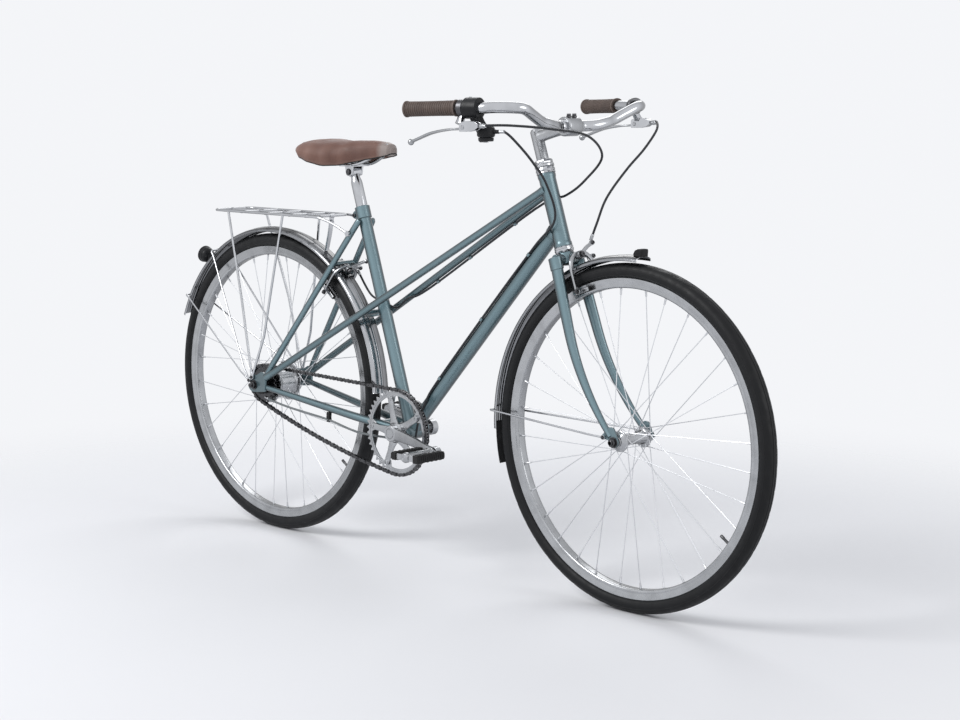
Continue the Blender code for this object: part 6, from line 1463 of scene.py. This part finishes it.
def make_stem():
    """The quill, the forward neck, the bar clamp and its two bolts."""
    profile = mm(11.2, 0, 10.2, 2.2, 6.2, 4, 5.2, 4, 4.8, 1, 0.1, 1)
    quill = [(STEM_QUILL_RADIUS, 0.105), (STEM_QUILL_RADIUS, STEM_TOP - 0.0015)]
    form = Form().lathe(quill + moved(profile, STEM_TOP), HEAD_BASE, HEAD_UP, 40)
    start = head_point(STEM_TOP - 0.014)
    end = BAR_CENTRE - spot(6, 0, 2)
    heading = (end - start).normalized()
    sizes = zip(eased(6, 12.5, 11.3, 11.3, 13.2), eased(6, 11.4, 9.4, 9.4, 12.6))
    form.loft([
        ring(start.lerp(end, k / 18), heading, deep, 28, heading.cross(Y), wide / deep)
        for k, (deep, wide) in enumerate(sizes)
    ])
    half = STEM_CLAMP_HALF_WIDTH
    edge = [(BAR_CENTRE_RADIUS, -half), (0.0168, -half), (0.0192, 0.0022 - half), (0.0195, 0.0040 - half)]
    form.lathe(edge + reflected(edge), BAR_CENTRE, Y, 48, True)
    form.fine("quill_stem", 0.0003, "fine_stem")
    bolts = Form()
    for offset in (-8, 8):
        place = BAR_CENTRE + spot(4, offset, 16.5)
        bolts.rod(place, place + Z * 0.0048, 0.0052, 20)
        bolts.socket_bolt(place + Z * 0.0046, Z, 0.0042, 0.0042)
    bolts.made("stem_bolts", "steering", "steel")


def make_handlebar():
    left = smooth(BAR_HALF, 6)
    route = [mirrored(place, -1) for place in reversed(left)] + left
    swell = BAR_CENTRE_RADIUS - BAR_RADIUS
    radii = [BAR_RADIUS + swell * clamped((0.036 - abs(place.y)) / 0.008) for place in route]
    Form().tube(route, radii, 32, start=Z).fine("handlebar")


def make_grip(node, side):
    """A grip with fine rings along it, a collar at its inner end and a rounded cap."""
    start, end = [mirrored(place, side) for place in GRIP_ENDS]
    length = (end - start).length
    profile = [(BAR_RADIUS, 0.0006)] + mm(15.6, 0.6, 16.2, 1.2, 16.2, 3.8, 15.4, 4.6)
    first, last = 0.0062, length - 0.0078
    for k in range(GRIP_RINGS):
        share = k / (GRIP_RINGS - 1)
        at = first + (last - first) * share
        swell = 0.0150 - 0.0004 * sin(pi * share)
        profile += [(swell - 0.0007, at - 0.0016), (swell, at - 0.0009), (swell, at + 0.0009),
                    (swell - 0.0007, at + 0.0016)]
    profile += moved(mm(15.4, 5.6, 16, 4.8, 16, 2, 14, 0.4, 6, 0, 2, 0.6, 0.5, 0.6), length, -1)
    Form().lathe(profile, start, end - start, 40).fine(node)


# Levers and shifter

LEVER_PIVOTS = {-1: spot(320, -240, 953), 1: spot(345, 235, 953)}
CLAMP_PLACES = {-1: 0.3055, 1: 0.3520}
SHIFTER_PIN = spot(349, -212, 934)
SHIFTER_CLAMP_PLACE = 0.3295
SHIFT_LEVER_ANGLE = radians(35)


def make_lever(side):
    """A hinged bracket under the bar with its barrel adjuster, and a long curved blade."""
    name = NAMES[side]
    pivot = LEVER_PIVOTS[side]
    clamp_at, heading = bar_place(CLAMP_PLACES[side], side)
    cheek = mm(-9, -8, 10, -8, 30, -5.5, 38.5, -0.8, 40, 1.5, 40, 6.5, 38.5, 8.5, 32, 11, 18, 12.4, 5, 12,
               -7, 9.5, -9.4, 6, -9.8, -4)
    web = mm(-8, 6, 24, 6, 24, -5.8, 30, -5, 39.2, 1, 39.2, 7, 32, 10.4, 18, 11.8, 5, 11.4, -7, 9)
    bracket = Form()
    for outline, low, high in ((cheek, -0.0070, -0.0046), (cheek, 0.0046, 0.0070), (web, -0.0052, 0.0052)):
        bracket.slab(outline, pivot, X, Z, Y, low, high)
    foot = Vector((clamp_at.x, pivot.y, pivot.z + 0.006))
    top = clamp_at - Z * 0.011
    bracket.strip([foot, foot.lerp(top, 0.4), top], X, [0.0085, 0.0064, 0.0062], 0.0058, 0.0022)
    bracket.fine("lever_bracket_" + name, 0.0006)
    clamp_ring(clamp_at, heading, 0.0166, 0.0064).made("lever_clamp_" + name, "steering", "steel")
    barrel = mm(4, -1, 4.4, 0.6, 4.4, 4, 5.2, 4.6, 5.2, 10.8, 4, 11.6, 3.6, 16, 2.6, 16.4)
    small = Form().lathe(barrel, pivot + spot(39.2, 0, 3.5), X, 14)
    for end in SIDES:
        small.lathe(mm(3.8, 0, 4, 0.8, 3, 1.7), pivot + Y * 0.0070 * end, Y * end, 16)
    small.socket_bolt(clamp_at + heading.cross(Z) * 0.0155, heading.cross(Z), 0.0036, 0.0032)
    small.made("lever_adjuster_" + name, "steering", "alloy")

    route = spots(14, 0, -3, 4, 0, -1.2, -20, 0, -3.5, -45, 0, -5, -90, 0, -12, -127.5, 0, -23.5,
                  -150, 0, -31)
    route = smooth([pivot + place for place in route], 6)
    blade = Form().strip(route, Y, eased(6, 3.4, 3.6, 4.2, 6.2, 6.2, 5.4, 4.6), 0.0023, 0.0018)
    blade.pin(pivot, Y, 0.0040, 0.0060, 28)
    ball = [(0.0064 * sin(pi * k / 10) + 0.00005, -0.0062 * cos(pi * k / 10)) for k in range(11)]
    blade.lathe(ball, pivot + spot(-150, 0, -31), Y, 24)
    blade.fine("brake_lever_" + name)


def make_shifter():
    """A clamp on the bar with a round pod below it, and a thumb lever under the pod."""
    pin = SHIFTER_PIN
    clamp_at, heading = bar_place(SHIFTER_CLAMP_PLACE, -1)
    pod = mm(12, 0, 15, 0.4, 17.2, 2.8, 17.5, 5, 17.5, 15, 16.6, 18.4, 13.8, 20.8, 12, 21.5, 0.2, 21.7)
    form = clamp_ring(clamp_at, heading, 0.0205, 0.0158).lathe(pod, pin, Z, 44)
    neck = [clamp_at - Z * 0.006, clamp_at.lerp(pin, 0.45) - Z * 0.004, pin + spot(-4, -4, 12.5)]
    form.strip(neck, X, [0.0118, 0.0110, 0.0116], 0.0080, 0.0034)
    stop = mm(4.6, 0, 4.4, 9, 3.6, 9.6, 4, 10.4, 4, 15, 3.2, 16.5)
    form.lathe(stop, pin + spot(11, 4.4, 11), spot(16, 6, 0), 16)
    form.rod(pin + Z * 0.002, pin - Z * 0.0085, 0.0033, 20)
    form.fine("shifter_housing", 0.0004, "fine_shifter")
    trim = Form().lathe(mm(9, 0, 9.2, 0.6, 8.6, 1.2, 0.2, 1.4), pin + Z * 0.0212, Z, 36)
    trim.lathe(mm(5.2, 0, 5.2, 0.8, 4, 1.4), pin - Z * 0.0085, -Z, 20)
    trim.socket_bolt(clamp_at + Z * 0.0195 + heading * 0.006, Z, 0.0032, 0.0022)
    trim.made("shifter_trim", "steering", "alloy")
    hub = mm(3.6, -0.3, 14.2, -0.4, 15, -1.2, 15, -5, 14, -7.4, 3.6, -7.8)
    lever = Form().lathe(hub, pin, Z, 40, True)
    heading = Vector((-cos(SHIFT_LEVER_ANGLE), sin(SHIFT_LEVER_ANGLE), 0))
    steps = mm(8, 4.3, 22, 4.5, 34, 6.3, 41.5, 8.6)
    route = smooth([pin + heading * reach - Z * drop for reach, drop in steps], 5)
    lever.strip(route, heading.cross(Z), eased(5, 6, 5.6, 7.6, 5.8), 0.0022, 0.0018)
    lever.fine("shift_lever")


# Brakes

class Caliper:
    """A side-pull brake: its bolt, its directions up and out, its arms' start and its pads' drop."""

    def __init__(self, prefix, bolt, up, outward, near, drop):
        self.prefix, self.bolt, self.up, self.outward = prefix, bolt, up, outward
        self.near, self.drop = near, drop

    def place(self, across, lift, out):
        return self.bolt + Y * across + self.up * lift + self.outward * out


def make_calipers():
    """Both brakes; the pads meet the rim at one radius, so each drop follows from it."""
    height = CROWN_BASE + CROWN_HEIGHT / 2
    reach = FRONT_ARM_START + ARM_THICKNESS + ARM_GAP / 2
    drop = HEAD_BASE_TO_AXLE + height - sqrt(PAD_RADIUS_ON_RIM ** 2 - (FORK_OFFSET - reach) ** 2)
    front = Caliper("front", head_point(height), HEAD_UP, HEAD_FORWARD, FRONT_ARM_START, drop)
    bolt = mirrored(stay_at(BRAKE_BRIDGE_RADIUS), 0)
    up = (bolt - REAR_AXLE).normalized()
    outward = up.cross(Y)
    outward = outward if outward.x > 0 else -outward
    reach = REAR_ARM_START + ARM_THICKNESS + ARM_GAP / 2
    drop = BRAKE_BRIDGE_RADIUS - sqrt(PAD_RADIUS_ON_RIM ** 2 - reach ** 2)
    return front, Caliper("rear", bolt, up, outward, REAR_ARM_START, drop)


def box(low, high, half):
    return [(low, -half), (high, -half), (high, half), (low, half)]


def make_brake(caliper, horns):
    """Two curved arms on one bolt, a pad in a metal shoe on each, and the return spring."""
    place, outward, near, drop = caliper.place, caliper.outward, caliper.near, caliper.drop
    bow = 0.0262 + ARM_HALF_WIDTH
    inside = PAD_FACE + PAD_THICKNESS + ARM_HALF_WIDTH + 0.0030
    shape = ((inside, -drop - 0.0060), (inside, -drop), (bow, -0.045), (bow, -0.026), (bow * 0.92, -0.013),
             (bow * 0.60, -0.001), (0.006, 0.004))
    middle = near + ARM_THICKNESS + ARM_GAP / 2
    for side in SIDES:
        level = near + ARM_THICKNESS / 2 + (0 if side < 0 else ARM_THICKNESS + ARM_GAP)
        route = smooth([place(a * side, lift, level) for a, lift in shape], 4)
        halves = eased(4, 2.3, 2.3, 2.3, 2.5, 2.5, 2.5, 2.3)
        arm = Form().strip(route, outward, halves, ARM_HALF_WIDTH, 0.0014)
        arm.pin(place(0, 0, level), outward, 0.0025, 0.0085, 32)
        horn = smooth([place(a, lift, level) for a, lift in ((0, 0),) + horns[side]], 4)
        arm.strip(horn, outward, 0.0021, 0.0038, 0.0012)
        grip = place(*horns[side][-1], level)
        arm.rod(grip - outward * 0.0026, grip + outward * 0.0024, 0.0052, 24)
        centre = place(0, -drop, middle)
        shoe = centre + Y * (PAD_FACE + PAD_THICKNESS - 0.0010) * side
        arm.strip([shoe - outward * 0.0205, shoe, shoe + outward * 0.0205], caliper.up, 0.0040, 0.0012)
        arm.fine(caliper.prefix + "_brake_arm_" + NAMES[side])
        pad = Form()
        blocks = [(box(*ends, 0.0042), 0.0, 0.0016) for ends in mm(-21, -11, -9.6, 1.4, 2.8, 10, 11.4, 21)]
        for outline, inset, short in blocks + [(box(-0.0205, 0.0205, 0.0038), 0.0026, 0.0014)]:
            low, high = limits(PAD_FACE + inset, PAD_FACE + PAD_THICKNESS - short, side)
            pad.slab(outline, centre, outward, caliper.up, Y, low, high)
        node = caliper.prefix + "_brake_pad_" + NAMES[side]
        pad.fine(node, 0.0004)
        out = centre + Y * (inside + ARM_HALF_WIDTH - 0.0004) * side
        nuts = Form().bolt(out, Y * side, 0.0044, 0.0042)
        nuts.rod(out, out + Y * 0.0060 * side, 0.0024, 14)
        nuts.socket_bolt(grip + outward * 0.0023, outward, 0.0040, 0.0028)
        spring = [(0.010, 0.0086), (0.019, 0.0070), (bow * 0.86, -0.006), (bow * 0.97, -0.020),
                  (bow * 0.99, -0.036)]
        nuts.tube(smooth([place(a * side, lift, near - 0.0012) for a, lift in spring], 4), 0.0009, 8)
        nuts.made(node + "_fittings", BODY_OF[node], "steel")


def brake_bolt(caliper, start, body):
    """The bolt that both arms turn on, with its nut and a spacer behind the arms."""
    place, near = caliper.place, caliper.near
    end = near + 2 * ARM_THICKNESS + ARM_GAP + 0.0005
    form = Form().rod(place(0, 0, start), place(0, 0, end + 0.0045), 0.0030, 20)
    form.bolt(place(0, 0, end), caliper.outward, 0.0058, 0.0045)
    form.rod(place(0, 0, near - 0.0050), place(0, 0, near - 0.0004), 0.0062, 20)
    form.made(caliper.prefix + "_brake_bolt", body, "steel")


FRONT_HORNS = {-1: ((0.020, -0.002), (0.040, -0.004)), 1: ((0.020, 0.013), (0.040, 0.022))}
REAR_HORNS = {-1: ((0.020, -0.001), (0.040, -0.004)), 1: ((0.018, 0.012), (0.040, 0.021))}


# Seatpost and saddle, with stations of (share, half width, crown height, skirt height)

SADDLE_STATIONS = (
    (0.00, 0.50, 0.0560, 0.0440), (0.04, 0.80, 0.0645, 0.0370), (0.12, 0.96, 0.0700, 0.0310),
    (0.24, 1.00, 0.0715, 0.0225), (0.36, 0.84, 0.0695, 0.0150), (0.48, 0.58, 0.0680, 0.0160),
    (0.62, 0.37, 0.0695, 0.0235), (0.78, 0.28, 0.0700, 0.0310), (0.92, 0.235, 0.0675, 0.0365),
    (0.975, 0.200, 0.0640, 0.0395), (1.00, 0.105, 0.0560, 0.0430),
)
SADDLE_STEPS = 48
SADDLE_PIN = seat_point(SEATPOST_HEAD)
SADDLE_BACK = SADDLE_PIN - X * SADDLE_REAR


def saddle_station(share):
    """The middle line's point, half width, crown height and skirt height at a share of its length."""
    for (a, *first), (b, *second) in zip(SADDLE_STATIONS, SADDLE_STATIONS[1:]):
        if share <= b:
            t = (share - a) / (b - a)
            t = t * t * (3 - 2 * t) * 0.5 + t * 0.5
            width, crown, skirt = [p + (q - p) * t for p, q in zip(first, second)]
            return SADDLE_BACK + X * SADDLE_LENGTH * share, width * SADDLE_HALF_WIDTH, crown, skirt


def saddle_share(step):
    return 0.5 - 0.5 * cos(pi * step / SADDLE_STEPS)


COVER_SIDE = (
    (0.0, 1.0), (0.22, 0.99), (0.42, 0.955), (0.60, 0.90), (0.76, 0.82), (0.88, 0.70), (0.95, 0.57),
    (0.99, 0.44), (1.0, 0.32), (0.975, 0.15), (0.935, 0.03), (0.885, -0.02), (0.83, 0.0), (0.79, 0.10),
    (0.77, 0.30), (0.68, 0.42),
)


def cover_ring(share):
    """One ring of the cover: crown, rounded shoulder, drawn-in skirt, rolled edge and underside."""
    along, half, crown, skirt = saddle_station(share)
    hollow = clamped((0.92 - share) / 0.12)
    side = COVER_SIDE[:-3] + tuple((a, b * hollow) for a, b in COVER_SIDE[-3:])
    left = [along + Y * a * half + Z * (skirt + b * (crown - skirt)) for a, b in side]
    right = [mirrored(place, -1) for place in reversed(left[1:])]
    return left + [along + Z * (skirt + 0.42 * hollow * (crown - skirt))] + right


def make_saddle():
    """The padded cover with its edge and rivets, the base, rails and clamp, and the seatpost."""
    shares = [saddle_share(step) for step in range(SADDLE_STEPS + 1)]
    hide = Form().loft([cover_ring(share) for share in shares]).fine("saddle_cover", sharp=60)
    edge = []
    for share in shares:
        along, half, crown, skirt = saddle_station(share)
        edge.append(along - Y * 0.90 * half + Z * (skirt - 0.0006))
    edge += [mirrored(place, 1) for place in reversed(edge)]
    Form().tube(edge, 0.0013, 10, True).made("saddle_edge", "saddle", "black_rubber")
    rivets = Form()
    for share, across in ((0.055, 0.62), (0.055, 0.0), (0.955, 0.45)):
        along, half, crown, skirt = saddle_station(share)
        for side in (SIDES if across else (1,)):
            lift = skirt + (crown - skirt) * (0.90 if across else 0.985) - 0.0010
            at = along + Y * half * across * side + Z * lift
            rivets.lathe(mm(3.4, 0, 3.4, 1.2, 2.2, 2.2, 0.2, 2.5), at, Z, 20)
    rivets.made("saddle_rivets", "saddle", "alloy")

    base = []
    for step in range(4, 37, 2):
        along, half, crown, skirt = saddle_station(saddle_share(step))
        under = skirt + (crown - skirt) * 0.42 - 0.0022
        section = ((-1, 0.0040), (1, 0.0040), (1, 0.0010), (0.5, 0), (-0.5, 0), (-1, 0.0010))
        base.append([along + Y * a * half * 0.66 + Z * (under - d) for a, d in section])
    Form().loft(base).made("saddle_base", "saddle", "black_plastic", (), 0.0004)
    form = Form()
    for side in SIDES:
        rail = spots(46, 52, 42.5, 58, 42, 30, 85, 24, 17.5, 125, 22, 17.5, 165, 22, 18.5, 205, 16, 33,
                     228, 10, 44.5)
        form.tube(smooth([SADDLE_BACK + mirrored(place, side) for place in rail], 6), RAIL_RADIUS, 16)
        ear = mm(-8.5, -6, -4.5, -8.5, 4.5, -8.5, 8.5, -6, 12.5, 15, -12.5, 15)
        form.plate(ear, SADDLE_PIN, *limits(0.0124, 0.0168, side))
        clamp = [SADDLE_PIN + spot(x, 22.2 * side, 20.5) for x in (-19.5, 19.5)]
        form.strip(clamp, Y, 0.0058, 0.0026, 0.0016)
    form.strip([SADDLE_PIN + spot(x, 0, 15) for x in (-20, 20)], Y, 0.0275, 0.0026, 0.0014)
    form.pin(SADDLE_PIN, Y, 0.0175, 0.0038, 20)
    form.fine("saddle_frame", 0.0004)
    nuts = Form()
    for side in SIDES:
        nuts.bolt(SADDLE_PIN + Y * 0.0168 * side, Y * side, 0.0062, 0.0040)
    nuts.made("saddle_nuts", "saddle", "steel")
    post = [(0.0117, SEATPOST_FOOT), (SEATPOST_RADIUS, SEATPOST_FOOT + 0.002)]
    post += moved(mm(12.7, 28, 12.2, 22, 10.4, 15, 9.7, 8, 9.5, 0), SEATPOST_HEAD, -1)
    head = mm(4, -12, 10.4, -12, 11.2, -11)
    form = Form().lathe(post, BRACKET, SEAT_UP, 40).lathe(head + reflected(head), SADDLE_PIN, Y, 36, True)
    form.fine("seatpost")


# Cables

FERRULE = mm(2.6, -2, 3.4, -1.6, 3.4, 9, 3, 11, 2.6, 11.4)
SLEEVE = mm(2.6, -6, 3.3, -5.2, 3.3, 5.2, 2.6, 6)
GUIDE = mm(2.6, -4, 3.6, -3.4, 3.6, 3.4, 2.6, 4)


def cable(name, route, ends, blended=True, grey_from=None):
    """A cable in its jacket with a metal ferrule at each end; grey behind a sleeve from one route point."""
    jacket = curve = smooth(route, 8)
    if grey_from:
        jacket, tail = curve[:8 * grey_from + 1], curve[8 * grey_from:]
        Form().tube(tail, CABLE_RADIUS, 14).made(name + "_rear", "frame", "grey_jacket")
        joint = Form().lathe(SLEEVE, tail[0], tail[1] - tail[0], 16, True)
        joint.made(name + "_sleeve", "frame", "alloy")
    body = None if blended else BODY_OF[name]
    item = Form().tube(jacket, CABLE_RADIUS, 14).made("fine_" + name, body, "cable_jacket", [name])
    if blended:
        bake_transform(item)
    for (end_body, toward), at, inner in zip(ends, (curve[0], curve[-1]), (curve[3], curve[-4])):
        Form().lathe(FERRULE, at, inner - at, 16).made(name + "_ferrule_" + toward, end_body, "alloy")


def make_cables(front, rear):
    """Both brake cables and the shift cable, from lever to brake or hub, and the frame's guides."""
    along = (lateral_point(1) - lateral_point(0)).normalized()
    under = (along * along.z - Z).normalized() * (LATERAL_RADIUS + CABLE_RADIUS + 0.0012)
    barrel = spot(40.8, 0, 3.5)
    start = LEVER_PIVOTS[-1] + barrel
    cable("rear_brake_cable", [
        start, start + spot(18, 3, 1),
        *spots(406, -198, 957, 432, -110, 949, 430, -10, 934, 407, 58, 892, 372, 48, 845, 336, 32, 814),
        lateral_at(0.26) + under, lateral_at(-0.07) + under, lateral_at(-0.125) + spot(0, -15, -7),
        *spots(-163, 29, 547, -203, 28.5, 556.5, -256, 36, 569),
        rear.place(0.040, -0.0145, rear.near + ARM_THICKNESS / 2),
    ], (("steering", "lever"), ("frame", "brake")))
    start = LEVER_PIVOTS[1] + barrel
    cable("front_brake_cable", [
        start, start + spot(16, -3, 1),
        *spots(422, 207, 941, 430, 160, 905, 424, 112, 864, 413, 66, 810, 406, 45, 760),
        front.place(0.040, 0.0285, front.near + ARM_THICKNESS * 1.5 + ARM_GAP),
    ], (("steering", "lever"), ("steering", "brake")), False)
    top = head_point(DOWN_TUBE_HEAD_HEIGHT)
    heading = (top - BRACKET).normalized()
    up = Y.cross(heading)
    up = up if up.z > 0 else -up
    ride = DOWN_TUBE_RADIUS + CABLE_RADIUS + 0.0006
    length = (top - BRACKET).length

    def on_tube(distance, degrees, out=ride):
        turn = radians(degrees)
        return BRACKET + heading * distance + (up * cos(turn) - Y * sin(turn)) * out

    low = (SHELL_RADIUS + CABLE_RADIUS + 0.0006) * 1000
    start = SHIFTER_PIN + spot(26.5, 10.2, 11)
    cable("shift_cable", [
        start, start + spot(12, 5, -2),
        *spots(398, -180, 925, 402, -140, 888, 390, -85, 840, 366, -35, 770),
        on_tube(length * 0.90, 62), on_tube(length * 0.65, 52), on_tube(length * 0.24, 62),
        on_tube(0.095, 88), on_tube(0.050, 118),
        BRACKET + spot(22, -13.5, 3 - low), BRACKET + spot(-4, -15, -low - 0.6),
        BRACKET + spot(-40, -20, -21.5),
        *spots(-227, -33, 269, -307, -49, 289, -420, -58, 302.5, -490, -56.5, 311, -521.5, -53.2, 316.5),
    ], (("steering", "shifter"), ("frame", "hub")), grey_from=13)

    clips = Form()
    for share, turn in ((0.86, 60), (0.55, 54), (0.26, 61)):
        clips.lathe(GUIDE, on_tube(length * share, turn, ride + 0.0002), heading, 16, True)
    for x in (0.20, 0.06, -0.045):
        clips.lathe(GUIDE, lateral_at(x) + under, along, 16, True)
    clips.made("cable_guides", "frame", "frame_paint")


def make_small_parts():
    """The rubber block on the front fender's tip and the clip of the shift cable under the chain stay."""
    block = []
    for turn, high, half in ((-0.5, 0.0105, 0.0095), (-0.3, 0.0135, 0.0108), (1.2, 0.0130, 0.0110),
                             (2.3, 0.0100, 0.0104), (2.9, 0.0050, 0.0090)):
        angle = FRONT_FENDER_ARC[0] + radians(turn)
        section = [(-half, -0.0015), (-half, high - 0.002), (-half + 0.002, high)]
        section += [(-across, radius) for across, radius in reversed(section)]
        block.append([round_wheel(FRONT_AXLE, FENDER_RADIUS + r, angle, across) for across, r in section])
    Form().loft(block).made("front_fender_block", "steering", "black_rubber", (), 0.0005)
    route = spots(-307, -46.5, 284.5, -307, -47.5, 295, -307, -46.5, 306)
    Form().strip(route, X, 0.0050, 0.0042, 0.0016).made("stay_clip", "frame", "black_rubber", (), 0.0003)


make_stem()
make_handlebar()
make_grip("grip_right", -1)
make_grip("grip_left", 1)
make_lever(-1)
make_lever(1)
make_shifter()
front_brake, rear_brake = make_calipers()
make_brake(front_brake, FRONT_HORNS)
make_brake(rear_brake, REAR_HORNS)
brake_bolt(front_brake, 0.0080, "steering")
brake_bolt(rear_brake, -0.0120, "frame")
make_saddle()
make_cables(front_brake, rear_brake)
make_small_parts()

# Remaining solids, whose shape is kept

for node in sorted(set(SLOT_OF) - DONE):
    refined(node, SLOT_OF[node])
